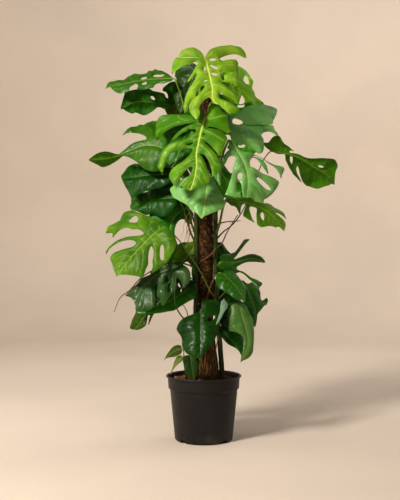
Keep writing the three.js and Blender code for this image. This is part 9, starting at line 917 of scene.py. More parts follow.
def leaf_object(i, lf):
    name = lf["name"]
    look = LOOKS[lf["look"]]
    small = lf["small"]
    area = (max(p[0] for p in lf["out"]) - min(p[0] for p in lf["out"])) * lf["W"] * 2
    H = 2.2 if small else float(np.clip(math.sqrt(area) / 46, 3.4, 4.6))
    verts, faces, att, topf, rim, B = blade_mesh(lf, 100 + i, H, look)
    # the stalk: from just inside the stem, through the bend, to its end under the midrib
    P = np.array(lf["stalk"], float)
    k = 0.42 if small else float(np.clip(lf["W"] / 105, 0.72, 1.08))

    def radius(t):
        r = 3.3 + 1.5 * (1 - t) ** 2 + 2.6 * np.exp(-((t / 0.07) ** 2))
        bend = np.exp(-(((t - BEND[0]) / 0.035) ** 2))
        r = r + 1.0 * bend
        r = r * (1 - 0.72 * smooth01(t, BEND[1], 1.0))
        return r * k * (0.52 if len(P) > 10 else 1.0)

    C = curve_points(P, 4)
    s = np.r_[0, np.cumsum(np.linalg.norm(np.diff(C, axis=0), axis=1))]
    at = s[np.argmin(np.linalg.norm(C - P[-3], axis=1))] / s[-1]
    BEND = (at - 0.03, at + 0.01)
    r = np.random.RandomState(900 + i)
    ph = r.uniform(0, 6.28, 3)

    def shape(t, a, ss):
        # a shallow channel on the upper side, slight ribs
        return 1 - 0.10 * np.exp(-((((a - 0.0 + np.pi) % (2 * np.pi)) - np.pi) / 0.55) ** 2) + 0.018 * np.sin(7 * a + ph[0]) + 0.02 * np.sin(ss / 17 + ph[1])

    tv, tf, tt, ta, ts = tube(P, radius, 10 if small else 14, 2.2 if small else 4.0, shape)
    V, F, first = join([(verts, faces), (tv, tf)])
    point = {}
    pad = {"q": 0.0, "rib": 30.0, "sd": 0.0, "edge": 30.0, "gap": 20.0, "out": 0.5, "len": 0.0}
    for key, val in att.items():
        point[key] = np.r_[val, np.full(len(tv), pad[key])]
    rt = np.random.RandomState(500 + i)
    point["tint"] = np.full(len(V), rt.uniform(0, 1))
    point["worn"] = np.full(len(V), rt.uniform(0, 1) * look.get("dry", 0))
    # painted shade: darker towards the pole, where the inner leaves lie in shade
    inner = smooth01(np.hypot(V[:, 0] - 7, V[:, 1] - 6), 35, 150)
    point["tone_and_light_gain"] = lf["tone_and_light_gain"] * (0.62 + 0.43 * inner)
    brown = np.zeros(len(V))
    for x, z, size in DRY.get(name[:7], []):
        brown = np.maximum(brown, 1 - smooth01(np.hypot(V[:, 0] - x, (V[:, 2] - z) * 0.6), size * 0.4, size))
    point["brown"] = brown
    point["stalk"] = np.r_[np.zeros(len(verts)), tt]
    point["bendat"] = np.r_[np.zeros(len(verts)), np.exp(-(((tt - BEND[0]) / 0.045) ** 2))]
    index = np.r_[np.zeros(len(faces), int), np.ones(len(tf), int)]
    face = {"top": np.r_[topf, np.ones(len(tf))]}
    o = new_object(name + "_finished", V, F, [leaf_material(lf["look"], look), stalk_material(lf["look"], look)], index, point, face, True, rim)
    return settle(o, name)


# ------------------------------------------------------------------ leaf materials
def leaf_material(key, look):
    if "blade_" + key in bpy.data.materials:
        return bpy.data.materials["blade_" + key]
    m = Mat("blade_" + key)
    c = m.coords()
    tint, worn = m.attr("tint"), m.attr("worn")
    q, rib, edge, gap, ln = (m.attr(k) for k in ("q", "rib", "edge", "gap", "len"))
    top = m.attr("top")
    big = m.math("ADD", m.noise(c, 11, 3, 0.55), m.ramp(tint, 0, 1, -0.12, 0.12))
    fine = m.noise(c, 260, 3, 0.6)
    # two greens mixed by a large noise: the leaf's own mottling, and in the sheen looks also painted sheen and painted
    # lit and shaded patches
    body = m.mix(m.ramp(big, 0.36, 0.64), look["a"], look["b"])
    # towards the tip and the margin the green shifts a little
    body = m.mix(m.math("MULTIPLY", m.ramp(ln, 0.35, 1.05), 0.35), body, look["b"])
    body = m.mix(m.math("MULTIPLY", m.ramp(fine, 0.45, 0.75), 0.22), body, tuple(x * 0.72 for x in look["a"]))
    # distance in millimetres from the nearest side vein
    fr = m.math("ABSOLUTE", m.math("SUBTRACT", q, m.math("ROUND", q)))
    dist = m.math("MULTIPLY", fr, gap)
    veins = m.math("MULTIPLY", m.ramp(dist, 0.35, look.get("vein_w", 1.6), 1, 0), m.ramp(edge, 1.0, 16.0))
    veins = m.math("MULTIPLY", veins, m.ramp(gap, 4.0, 9.0))
    halo = m.math("MULTIPLY", m.ramp(dist, 0.5, 7.0, 1, 0), m.ramp(edge, 4.0, 20.0))
    rw = m.math("SUBTRACT", 2.9 * look.get("rib_w", 1.0), m.math("MULTIPLY", ln, 1.9 * look.get("rib_w", 1.0)))
    mid = m.ramp(m.math("DIVIDE", rib, rw), 0.75, 1.25, 1, 0)
    midhalo = m.ramp(rib, 2.0, 9.0, 1, 0)
    # a net of fine veins
    net = m.voronoi(c, 165, "DISTANCE_TO_EDGE")
    netm = m.ramp(net, 0.0, 0.10, 1, 0)
    col = m.mix(m.math("MULTIPLY", netm, 0.16), body, look["vein"])
    col = m.mix(m.math("MULTIPLY", m.math("MAXIMUM", halo, midhalo), look.get("halo", 0.22)), col, look["vein"])
    col = m.mix(m.math("MULTIPLY", veins, look.get("vein_s", 0.62)), col, look["vein"])
    col = m.mix(m.math("MULTIPLY", mid, look.get("rib_s", 0.85)), col, look["rib"])
    # the margin is a fine pale line, here and there dry
    col = m.mix(m.ramp(edge, 0.2, 1.0, 0.22, 0), col, look["vein"])
    dry = m.math("ADD", m.noise(c, 19, 2, 0.5), m.math("MULTIPLY", worn, 0.12))
    dry = m.math("MULTIPLY", m.ramp(dry, 0.66, 0.78), m.ramp(edge, 0.5, 2.4, 1, 0))
    col = m.mix(m.math("MULTIPLY", dry, 0.7), col, (0.15, 0.095, 0.03))
    # dry, papery patches
    papery = m.math("MULTIPLY", m.attr("brown"), m.ramp(m.noise(c, 90, 3, 0.6), 0.30, 0.50))
    col = m.mix(papery, col, m.mix(m.ramp(fine, 0.4, 0.7), (0.085, 0.040, 0.012), (0.24, 0.13, 0.05)))
    # small scars and specks
    speck = m.ramp(m.voronoi(c, 75), 0.02, 0.075, 1, 0)
    speck = m.math("MULTIPLY", speck, m.ramp(m.noise(c, 23, 1, 0.5), 0.56, 0.68))
    col = m.mix(m.math("MULTIPLY", speck, 0.55), col, (0.12, 0.11, 0.03))
    # beneath, the blade is paler, duller and its veins stand out
    low = m.mix(m.ramp(big, 0.3, 0.7), look["low"], tuple(x * 1.25 for x in look["low"]))
    low = m.mix(m.math("MULTIPLY", netm, 0.22), low, look["lowvein"])
    low = m.mix(m.math("MULTIPLY", veins, 0.7), low, look["lowvein"])
    low = m.mix(m.math("MULTIPLY", mid, 0.95), low, look["lowvein"])
    low = m.mix(m.math("MULTIPLY", dry, 0.8), low, (0.20, 0.125, 0.045))
    # the per-leaf gain scales the colour: partly the leaf's tone, partly painted light and shade
    colour = m.scale(m.mix(top, low, col), m.attr("tone_and_light_gain"))
    rough = m.math("ADD", m.ramp(m.noise(c, 34, 3, 0.6), 0.25, 0.8, look["rough"] - 0.05, look["rough"] + 0.09), m.ramp(top, 0, 1, 0.2, 0))
    height = m.math("ADD", m.math("MULTIPLY", netm, -0.5), m.math("MULTIPLY", fine, 0.5))
    height = m.math("ADD", height, m.math("MULTIPLY", veins, -1.3))
    height = m.math("ADD", height, m.math("MULTIPLY", m.noise(c, 70, 3, 0.55), 2.2))
    nrm = m.bump(height, 0.5, 0.0007)
    surf = m.principled(colour, rough, nrm, Specular_IOR_Level=look.get("spec", 0.16), Coat_Weight=look.get("coat", 0.0), Coat_Roughness=0.3)
    t = m.node("BsdfTranslucent")
    m.put(t.inputs["Color"], m.mix(0.5, colour, look["through"]))
    m.put(t.inputs["Normal"], nrm)
    mx = m.node("MixShader")
    mx.inputs[0].default_value = 0.26
    m.t.links.new(surf, mx.inputs[1])
    m.t.links.new(t.outputs[0], mx.inputs[2])
    return m.done(mx.outputs[0])


def stalk_material(key, look):
    if "stalk_" + key in bpy.data.materials:
        return bpy.data.materials["stalk_" + key]
    m = Mat("stalk_" + key)
    c = m.coords()
    t, bend = m.attr("stalk"), m.attr("bendat")
    n = m.noise(c, 45, 3, 0.6)
    col = m.mix(m.ramp(n, 0.3, 0.7), look["stalk"], tuple(x * 1.45 for x in look["stalk"]))
    col = m.mix(m.ramp(t, 0.30, 0.0, 0, 0.45), col, (0.07, 0.085, 0.022))
    col = m.mix(m.math("MULTIPLY", bend, 0.75), col, look["bend"])
    f = m.noise(m.coords((260, 260, 40)), 1.0, 2, 0.6)
    col = m.mix(m.math("MULTIPLY", m.ramp(m.noise(c, 320, 2, 0.6), 0.62, 0.74), 0.4), col, (0.11, 0.09, 0.035))
    return m.done(m.principled(col, m.ramp(n, 0.2, 0.8, 0.36, 0.5), m.bump(f, 0.35, 0.0008), Specular_IOR_Level=0.25))


# ------------------------------------------------------------------ the leaves
for _i, _lf in enumerate(LEAVES):
    leaf_object(_i, _lf)


# ------------------------------------------------------------------ strands: many thin tubes at once
def strands(P, R, ref, sides=3):
    """P is (count, steps, 3), R (count, steps), ref a rough normal for each point. Closed at both ends."""
    N, S, _ = P.shape
    T = np.gradient(P, axis=1)
    T /= np.linalg.norm(T, axis=2, keepdims=True) + 1e-12
    B = np.cross(T, ref)
    B /= np.linalg.norm(B, axis=2, keepdims=True) + 1e-12
    M = np.cross(B, T)
    a = np.arange(sides) * 2 * np.pi / sides
    V = P[:, :, None] + R[:, :, None, None] * (np.cos(a)[None, None, :, None] * M[:, :, None] + np.sin(a)[None, None, :, None] * B[:, :, None])
    base = (np.arange(N) * S * sides)[:, None, None]
    i = (np.arange(S - 1) * sides)[None, :, None]
    j, jn = np.arange(sides)[None, None, :], ((np.arange(sides) + 1) % sides)[None, None, :]
    q = [(base + i + j).ravel(), (base + i + jn).ravel(), (base + i + sides + jn).ravel(), (base + i + sides + j).ravel()]
    F = [np.c_[q[0], q[2], q[1]], np.c_[q[0], q[3], q[2]]]
    b = (np.arange(N) * S * sides)[:, None]
    for k in range(1, sides - 1):
        F.append(np.c_[b[:, 0], b[:, 0] + k, b[:, 0] + k + 1])
        e = b[:, 0] + (S - 1) * sides
        F.append(np.c_[e, e + k + 1, e + k])
    return V.reshape(-1, 3), np.vstack(F)


# ------------------------------------------------------------------ pole
PX, PY = 7.0, 6.0


def coir_material():
    m = Mat("coir")
    c = m.coords()
    tone = m.attr("tone")
    n = m.noise(c, 30, 3, 0.6)
    f = m.noise(m.coords((900, 900, 120)), 1.0, 3, 0.65)
    col = m.mix(tone, (0.012, 0.004, 0.001), (0.200, 0.088, 0.020))
    col = m.mix(m.ramp(f, 0.35, 0.7, 0, 0.45), col, (0.090, 0.034, 0.008))
    fleck = m.ramp(m.noise(m.coords((150, 150, 90)), 1.0, 3, 0.65), 0.55, 0.66)
    col = m.mix(m.math("MULTIPLY", fleck, 0.8), col, (0.460, 0.270, 0.062))
    col = m.mix(m.ramp(m.noise(c, 95, 3, 0.6), 0.46, 0.58, 0, 0.9), col, (0.010, 0.003, 0.001))
    col = m.mix(m.ramp(n, 0.5, 0.75, 0, 0.35), col, (0.040, 0.016, 0.004))
    # a little green growth low down, where it stays damp
    z = m.node("SeparateXYZ")
    m.put(z.inputs[0], c)
    damp = m.math("MULTIPLY", m.ramp(z.outputs[2], 0.22, 0.42, 1, 0), m.ramp(m.noise(c, 60, 2, 0.6), 0.5, 0.65))
    col = m.mix(m.math("MULTIPLY", damp, 0.3), col, (0.05, 0.06, 0.02))
    return m.done(m.principled(col, m.ramp(n, 0.2, 0.8, 0.75, 0.92), m.bump(f, 0.6, 0.0012), Specular_IOR_Level=0.25))


def make_sleeve():
    r = np.random.RandomState(71)
    sides, z0, z1 = 60, 60.0, 1272.0
    rings = 260
    z = np.linspace(z0, z1, rings)
    a = np.arange(sides) * 2 * np.pi / sides
    A, Z = np.meshgrid(a, z)
    P = np.c_[(25 * np.cos(A)).ravel(), (25 * np.sin(A)).ravel(), Z.ravel()]
    big, fine = waves(5, 10, 120, 30), waves(6, 16, 16, 6, 0.5)
    stretch = P * np.array([1, 1, 0.4])
    rad = 25.2 + 0.9 * big(P) + 0.8 * fine(stretch)
    edge = smooth01(np.minimum(Z.ravel() - z0, z1 - Z.ravel()), 0, 6)
    rad -= 1.2 * (1 - edge)
    V = np.c_[PX + rad * np.cos(A.ravel()), PY + rad * np.sin(A.ravel()), Z.ravel()]
    # the inner bore, so the sleeve is a closed tube
    inner = np.c_[PX + 11.4 * np.cos(a), PY + 11.4 * np.sin(a)]
    V = np.vstack([V, np.c_[inner, np.full(sides, z1 - 1.0)], np.c_[inner, np.full(sides, z0)]])
    j = np.arange(sides)
    jn = (j + 1) % sides
    F = []
    for k in range(rings - 1):
        b = k * sides
        F += [np.c_[b + j, b + jn, b + sides + jn], np.c_[b + j, b + sides + jn, b + sides + j]]
    t, top, bot = (rings - 1) * sides, rings * sides, rings * sides + sides
    F += [np.c_[t + j, t + jn, top + jn], np.c_[t + j, top + jn, top + j]]
    F += [np.c_[top + j, top + jn, bot + jn], np.c_[top + j, bot + jn, bot + j]]
    F += [np.c_[bot + j, bot + jn, jn], np.c_[bot + j, jn, j]]
    F = np.vstack(F)
    tone = np.clip(0.30 + 0.22 * waves(9, 14, 20, 7, 0.4)(V * np.array([1, 1, 0.35])), 0, 1)
    # the fibres that lie on it, mostly lengthwise
    N = 2300
    S = 9
    t = np.linspace(0, 1, S)[None]
    length = r.uniform(28, 120, N)[:, None]
    lean = r.normal(0, 0.42, N)[:, None]
    zc = r.uniform(z0 + 90, z1 - 10, N)[:, None]
    zz = zc + (t - 0.5) * length * np.cos(lean)
    ang = r.uniform(0, 2 * np.pi, N)[:, None] + (t - 0.5) * length * np.sin(lean) / 25 + 0.10 * np.sin(t * r.uniform(3, 9, N)[:, None] + r.uniform(0, 6, N)[:, None])
    lift = r.uniform(-0.1, 1.5, N)[:, None]
    rr = 25.5 + lift * np.sin(np.pi * t) ** 0.6 - 0.9 * (np.abs(t - 0.5) * 2) ** 4
    free = (r.uniform(0, 1, N) < 0.10)[:, None]
    rr = rr + free * r.uniform(1.5, 6, N)[:, None] * t**3
    zz = np.clip(zz, z0 + 4, z1 + 3)
    P = np.stack([PX + rr * np.cos(ang), PY + rr * np.sin(ang), zz], 2)
    ref = np.stack([np.cos(ang), np.sin(ang), np.zeros_like(ang)], 2)
    R = (r.uniform(0.28, 0.62, N)[:, None]) * (1 - 0.6 * np.abs(t - 0.5) * 2)
    sv, sf = strands(P, R, ref)
    # the cut ends at the top
    N2 = 260
    a2, r2 = r.uniform(0, 2 * np.pi, N2), np.sqrt(r.uniform(12.5**2, 23**2, N2))
    t2 = np.linspace(0, 1, 4)[None]
    lean2 = r.normal(0, 0.35, (N2, 2))
    h = r.uniform(2, 6.5, N2)[:, None]
    P2 = np.stack([PX + (r2 * np.cos(a2))[:, None] + lean2[:, :1] * t2 * 5, PY + (r2 * np.sin(a2))[:, None] + lean2[:, 1:] * t2 * 5, z1 - 3 + t2 * h], 2)
    sv2, sf2 = strands(P2, np.full((N2, 4), 0.38), np.tile(np.array([0.3, 1.0, 0.1]), (N2, 4, 1)))
    VV, FF, first = join([(V, F), (sv, sf), (sv2, sf2)])
    tt = np.r_[tone, np.repeat(np.clip(r.normal(0.55, 0.27, N), 0, 1), S * 3), np.repeat(np.clip(r.normal(0.6, 0.2, N2), 0, 1), 12)]
    o = new_object("pole_coir_finished", VV, FF, [coir_material()], None, {"tone": tt})
    settle(o, "pole_coir")


make_sleeve()


def make_core():
    prof = [(0.0, 14.0), (10.2, 14.0), (11.0, 15.0)] + [(11.0, z) for z in np.linspace(30, 1270, 60)] + [(11.0, 1278.6), (10.5, 1279.6), (9.6, 1280.0), (6.0, 1280.0), (0.0, 1280.0)]
    sides = 48
    a = np.arange(sides) * 2 * np.pi / sides
    V, ring = [], []
    for k, (rr, z) in enumerate(prof):
        if rr == 0:
            ring.append([len(V)])
            V.append((PX, PY, z))
        else:
            w = rr + 0.12 * np.sin(3 * a + z / 90) + 0.05 * np.sin(11 * a + 1)
            ring.append(list(range(len(V), len(V) + sides)))
            V += list(zip(PX + w * np.cos(a), PY + w * np.sin(a), np.full(sides, z)))
    F = []
    for k in range(len(prof) - 1):
        A, B = ring[k], ring[k + 1]
        for j in range(sides):
            jn = (j + 1) % sides
            if len(A) == 1:
                F.append((A[0], B[jn], B[j]))
            elif len(B) == 1:
                F.append((A[j], A[jn], B[0]))
            else:
                F.append((A[j], A[jn], B[jn], B[j]))
    m = Mat("pole_wood")
    c = m.coords()
    g = m.noise(m.coords((160, 160, 9)), 1.0, 4, 0.6, 0.4)
    col = m.mix(m.ramp(g, 0.3, 0.7), (0.30, 0.19, 0.095), (0.13, 0.075, 0.035))
    wave = m.node("TexWave", wave_type="RINGS", rings_direction="Z")
    m.put(wave.inputs["Vector"], c)
    wave.inputs["Scale"].default_value = 210
    wave.inputs["Distortion"].default_value = 2.4
    wave.inputs["Detail Scale"].default_value = 1.6
    z = m.node("SeparateXYZ")
    m.put(z.inputs[0], c)
    end = m.ramp(z.outputs[2], 1.2793, 1.2799)
    col = m.mix(end, col, m.mix(wave.outputs["Fac"], (0.20, 0.12, 0.06), (0.36, 0.24, 0.13)))
    mat = m.done(m.principled(col, m.ramp(g, 0.2, 0.8, 0.6, 0.8), m.bump(g, 0.5, 0.0012)))
    o = new_object("pole_core_finished", np.array(V), F, [mat])
    o.data.set_sharp_from_angle(angle=math.radians(40))
    settle(o, "pole_core")


make_core()


# ------------------------------------------------------------------ climbing stems
def stem_material():
    m = Mat("stem")
    c = m.coords()
    ring, age, scar = m.attr("ring"), m.attr("age"), m.attr("scar")
    n = m.noise(c, 28, 3, 0.6)
    long = m.noise(m.coords((420, 420, 26)), 1.0, 3, 0.6)
    col = m.mix(m.ramp(n, 0.3, 0.7), (0.014, 0.030, 0.002), (0.036, 0.062, 0.004))
    col = m.mix(m.ramp(long, 0.48, 0.72, 0, 0.45), col, (0.090, 0.125, 0.010))
    col = m.mix(m.math("MULTIPLY", age, m.ramp(n, 0.3, 0.7, 0.35, 0.95)), col, (0.034, 0.024, 0.007))
    col = m.mix(m.math("MULTIPLY", ring, 0.6), col, (0.080, 0.054, 0.018))
    col = m.mix(m.math("MULTIPLY", scar, 0.8), col, (0.030, 0.02, 0.008))
    dots = m.ramp(m.voronoi(c, 210), 0.05, 0.16, 1, 0)
    col = m.mix(m.math("MULTIPLY", dots, 0.25), col, (0.16, 0.14, 0.045))
    h = m.math("ADD", m.math("MULTIPLY", long, 0.7), m.math("MULTIPLY", dots, 0.3))
    return m.done(m.principled(col, m.ramp(n, 0.2, 0.8, 0.42, 0.62), m.bump(h, 0.5, 0.001), Specular_IOR_Level=0.2))


STEM = stem_material()


def make_stem(sd, index):
    path = np.array(sd["path"], float)
    small = sd["name"] == "offshoot"
    zs = sorted(lf["stalk"][0][2] for lf in LEAVES if lf["stem"] == sd["name"])
    lo, hi = path[0, 2], path[-1, 2]
    r = np.random.RandomState(40 + index)
    rings, z = [], lo + 100 if not small else lo + 70
    step = 16 if small else 58
    while z < hi - (4 if small else 18):
        near = [k for k in zs if abs(k - z) < step * 0.55]
        rings.append(near[0] if near else z)
        z = rings[-1] + step * r.uniform(0.8, 1.15)
    rings = np.array(rings)
    turn = r.uniform(0, 6.28, len(rings))
    C = curve_points(path[:, :3], 1.6 if small else 3.2)
    L = np.r_[0, np.cumsum(np.linalg.norm(np.diff(C, axis=0), axis=1))]
    T, N, B = frames(C)
    rad = np.interp(C[:, 2], path[:, 2], path[:, 3])
    sides = 14 if small else 22
    a = np.arange(sides) * 2 * np.pi / sides
    zz = C[:, 2][:, None]
    R = rad[:, None] * (1 + 0.020 * np.sin(3 * a[None] + zz / 70) + 0.012 * np.sin(5 * a[None] - zz / 33))
    ring = np.zeros_like(R)
    scar = np.zeros_like(R)
    k = 0.5 if small else 1.0
    for z0, ph in zip(rings, turn):
        tilt = z0 + 2.5 * k * np.cos(a - ph)[None]
        bulge = np.exp(-(((zz - tilt) / (6 * k)) ** 2))
        lip = np.exp(-(((zz - tilt - 1.0) / (1.3 * k)) ** 2))
        R += bulge * 0.55 * k + lip * 0.55 * k
        ring = np.maximum(ring, np.exp(-(((zz - tilt) / (3.2 * k)) ** 2)))
        scar = np.maximum(scar, np.exp(-(((zz - tilt - 2.6 * k) / (0.9 * k)) ** 2)))
    tip = smooth01(L[-1] - L, 0, 14 * k)[:, None]
    R *= 0.25 + 0.75 * np.sqrt(tip)
    V = C[:, None] + R[..., None] * (np.cos(a)[None, :, None] * N[:, None] + np.sin(a)[None, :, None] * B[:, None])
    n = len(C)
    V = np.vstack([V.reshape(-1, 3), C[0], C[-1] + T[-1] * 1.5])
    j = np.arange(sides)
    jn = (j + 1) % sides
    F = []
    for i in range(n - 1):
        b = i * sides
        F += [np.c_[b + j, b + jn, b + sides + jn], np.c_[b + j, b + sides + jn, b + sides + j]]
    F += [np.c_[np.full(sides, n * sides), jn, j], np.c_[np.full(sides, n * sides + 1), (n - 1) * sides + j, (n - 1) * sides + jn]]
    age = smooth01(-C[:, 2], -700 if not small else -260, -230)
    o = new_object(
        sd["name"] + "_finished",
        V,
        np.vstack(F),
        [STEM],
        None,
        {"ring": np.r_[ring.ravel(), 0, 0], "scar": np.r_[scar.ravel(), 0, 0], "age": np.r_[np.repeat(age, sides), 1, 0]},
    )
    settle(o, sd["name"])


for _i, _s in enumerate(STEMS):
    make_stem(_s, _i)


# ------------------------------------------------------------------ aerial roots
def root_material():
    m = Mat("root")
    c = m.coords()
    t = m.attr("along")
    n = m.noise(c, 38, 3, 0.6)
    col = m.mix(m.ramp(n, 0.3, 0.7), (0.075, 0.036, 0.013), (0.175, 0.092, 0.034))
    col = m.mix(m.ramp(t, 0.0, 0.25, 0.5, 0), col, (0.13, 0.15, 0.045))
    col = m.mix(m.ramp(t, 0.85, 1.0, 0, 0.6), col, (0.24, 0.155, 0.060))
    crack = m.ramp(m.voronoi(m.coords((1, 1, 0.6)), 330, "DISTANCE_TO_EDGE"), 0.0, 0.12, 1, 0)
    col = m.mix(m.math("MULTIPLY", crack, 0.45), col, (0.06, 0.032, 0.016))
    h = m.math("ADD", m.noise(c, 500, 3, 0.6), m.math("MULTIPLY", crack, -0.8))
    return m.done(m.principled(col, m.ramp(n, 0.2, 0.8, 0.55, 0.75), m.bump(h, 0.5, 0.0008), Specular_IOR_Level=0.25))


ROOT = root_material()


def make_root(rd, index):
    path = np.array(rd["path"], float)
    radii = np.array(rd["radii"], float)
    r = np.random.RandomState(60 + index)
    noise = waves(80 + index, 8, 60, 9, 0.6)

    def radius(t):
        x = np.linspace(0, 1, len(radii))
        return np.interp(t, x, radii) * (1 + 0.3 * np.exp(-((t / 0.03) ** 2)))

    def shape(t, a, s):
        return 1 + 0.05 * np.sin(2 * a + s / 19) + 0.05 * np.sin(s / 7.3 + index) + 0.03 * np.sin(3 * a - s / 5)

    V, F, tt, aa, ss = tube(path, radius, 12, 2.4, shape)
    V = V + 0.25 * noise(V)[:, None] * (V - V.mean(0)) / (np.linalg.norm(V - V.mean(0), axis=1)[:, None] + 1e-9)
    parts, al = [(V, F)], [tt]
    # rootlets: short and clinging on the pole, loose on a hanging root
    C = curve_points(path, 2.4)
    tc = np.linspace(0, 1, len(C))
    N = int(len(C) * (0.55 if rd.get("pole") else 0.16))
    S = 7
    t = np.linspace(0, 1, S)[None]
    k = r.choice(np.arange(3, len(C) - 2), N)
    P0 = C[k]
    if rd.get("pole"):
        ang0 = np.arctan2(P0[:, 1] - PY, P0[:, 0] - PX)
        way = r.choice([-1, 1], N)
        ln = r.uniform(8, 30, N)
        low = np.clip((300 - P0[:, 2]) / 80, 0, 1)
        ln = ln * (1 + 1.2 * low)
        down = r.uniform(0.2, 1.4, N) * (1 + low)
        an = ang0[:, None] + way[:, None] * (ln / 25)[:, None] * t * 0.6 / (0.5 + down[:, None])
        zz = P0[:, 2][:, None] - ln[:, None] * t * down[:, None] / (0.5 + down[:, None]) + 1.2 * np.sin(t * 7 + r.uniform(0, 6, N)[:, None])
        rad0 = np.hypot(P0[:, 0] - PX, P0[:, 1] - PY)[:, None]
        rr = rad0 + (25.6 - rad0) * smooth01(t, 0, 0.4) + 0.3 * np.sin(9 * t + r.uniform(0, 6, N)[:, None])
        P = np.stack([PX + rr * np.cos(an), PY + rr * np.sin(an), np.maximum(zz, 214)], 2)
        ref = np.stack([np.cos(an), np.sin(an), np.zeros_like(an)], 2)
    else:
        d = r.normal(size=(N, 3)) * np.array([1, 1, 0.5]) + np.array([0, 0, -0.5])
        d /= np.linalg.norm(d, axis=1)[:, None]
        ln = r.uniform(4, 13, N)[:, None, None]
        P = P0[:, None] + d[:, None] * t[..., None] * ln + np.array([0, 0, -1.0]) * (t[..., None] ** 2) * ln * 0.3
        ref = np.tile(np.array([0.2, 0.1, 1.0]), (N, S, 1))
    R = r.uniform(0.35, 0.75, N)[:, None] * (1 - 0.7 * t)
    parts.append(strands(P, R, ref, 4))
    al.append(np.repeat(0.4 + 0.55 * t.repeat(N, 0).ravel(), 4))
    VV, FF, _ = join(parts)
    o = new_object(rd["name"] + "_finished", VV, FF, [ROOT], None, {"along": np.concatenate(al)})
    settle(o, rd["name"])


for _i, _r in enumerate(ROOTS):
    make_root(_r, _i)


def fine_root_material():
    m = Mat("fine_root")
    c = m.coords()
    t, green, tone = m.attr("along"), m.attr("green"), m.attr("tone")
    n = m.noise(c, 55, 3, 0.6)
    col = m.mix(m.ramp(n, 0.3, 0.7), (0.060, 0.024, 0.007), (0.200, 0.100, 0.030))
    col = m.mix(m.ramp(tone, 0.45, 1.0, 0, 0.85), col, (0.480, 0.270, 0.085))
    col = m.mix(m.ramp(tone, 0.0, 0.4, 0.8, 0), col, (0.020, 0.008, 0.003))
    col = m.mix(m.ramp(t, 0.7, 1.0, 0, 0.5), col, (0.050, 0.022, 0.008))
    col = m.mix(m.ramp(green, 0, 1, 0, 0.85), col, (0.130, 0.160, 0.016))
    return m.done(m.principled(col, m.ramp(n, 0.2, 0.8, 0.55, 0.75), m.bump(m.noise(c, 450, 3, 0.6), 0.5, 0.0007), Specular_IOR_Level=0.25))


def make_fine_roots():
    """Thin roots that fan out of the foot of the pole into the soil, and the rootlets of the left stem."""
    r = np.random.RandomState(23)
    N, S = (110), 12
    t = np.linspace(0, 1, S)[None]
    a0 = np.radians(r.uniform(-152, -22, N))[:, None]
    z0 = 228 + 150 * r.uniform(0, 1, N)[:, None] ** 1.5
    drift = r.normal(0, 0.75, N)[:, None]
    an = a0 + drift * t + 0.06 * np.sin(t * r.uniform(4, 9, N)[:, None] + r.uniform(0, 6, N)[:, None])
    spread = 4 + 26 * r.uniform(0, 1, N)[:, None] ** 1.6
    rr = 26.6 + r.uniform(0, 1.6, N)[:, None] + spread * t ** (2.2 + r.uniform(0, 2, N)[:, None])
    zz = z0 - (z0 - 211) * t**1.1 + 1.0 * np.sin(np.pi * t) * np.sin(t * 11 + r.uniform(0, 6, N)[:, None])
    P = np.stack([PX + rr * np.cos(an), PY + rr * np.sin(an), zz], 2)
    ref = np.stack([np.cos(an), np.sin(an), np.zeros_like(an)], 2)
    R = r.uniform(0.5, 1.25, N)[:, None] * (1 - 0.45 * t) * (1 - 0.7 * np.exp(-((t / 0.06) ** 2)))
    parts, al, gr = [strands(P, R, ref, 6)], [np.repeat(t.repeat(N, 0).ravel(), 6)], [np.zeros(N * S * 6)]
    tn = [np.repeat(r.uniform(0, 1, N), S * 6)]
    N2 = 170
    a0 = np.radians(r.uniform(-78, 4, N2))[:, None]
    z0 = 285 + 120 * r.uniform(0, 1, N2)[:, None]
    an = a0 + r.normal(0, 0.28, N2)[:, None] * t + 0.05 * np.sin(t * r.uniform(4, 9, N2)[:, None] + r.uniform(0, 6, N2)[:, None])
    rr = 26.4 + (6 + 20 * r.uniform(0, 1, N2)[:, None]) * t ** (0.45 + 0.7 * r.uniform(0, 1, N2)[:, None])
    zz = z0 - (z0 - 211) * t
    P = np.stack([PX + rr * np.cos(an), PY + rr * np.sin(an), zz], 2)
    ref = np.stack([np.cos(an), np.sin(an), np.zeros_like(an)], 2)
    R = r.uniform(0.6, 1.5, N2)[:, None] * (1 - 0.4 * t) * (1 - 0.7 * np.exp(-((t / 0.06) ** 2)))
    parts.append(strands(P, R, ref, 6))
    al.append(np.repeat(t.repeat(N2, 0).ravel(), 6))
    gr.append(np.zeros(N2 * S * 6))
    tn.append(np.repeat(r.uniform(0, 1, N2), S * 6))
    # a young green root from the right stem's foot across the pole to the soil
    green = [(52, -13, 372), (44, -22, 330), (36, -24, 287), (29.5, -22, 252), (26, -24, 212)]
    V, F, tt, aa, ss = tube(np.array(green, float), lambda x: 1.9 - 0.5 * x, 8, 3.0)
    parts.append((V, F))
    al.append(tt * 0.6)
    gr.append(np.ones(len(V)))
    tn.append(np.full(len(V), 0.45))
    # rootlets that hang from the left stem, in the gap beside the pole
    for k in range(9):
        z = 742 + 12 * k + r.uniform(-4, 4)
        out, fall, y = r.uniform(16, 44), r.uniform(40, 105), r.uniform(-16, 2)
        path = [(-33.5, -5, z), (-37 - out * 0.3, -6 + y * 0.2, z + 3), (-36 - out * 0.8, -6 + y * 0.7, z - fall * 0.35)]
        path += [(-36 - out + r.uniform(-4, 6), -6 + y, z - fall * 0.75), (-38 - out * r.uniform(0.5, 1.1), -6 + y * 1.2, z - fall)]
        R0 = r.uniform(0.7, 1.25)
        V, F, tt, aa, ss = tube(np.array(path, float), lambda x: R0 * (1 - 0.6 * x), 6, 3.0)
        parts.append((V, F))
        al.append(0.55 + 0.45 * tt)
        gr.append(np.zeros(len(V)))
        tn.append(np.full(len(V), 0.35 if k % 3 else 0.75))
    VV, FF, _ = join(parts)
    o = new_object("fine_roots", VV, FF, [fine_root_material()], None, {"along": np.concatenate(al), "green": np.concatenate(gr), "tone": np.concatenate(tn)})
    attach(o, "root")


make_fine_roots()


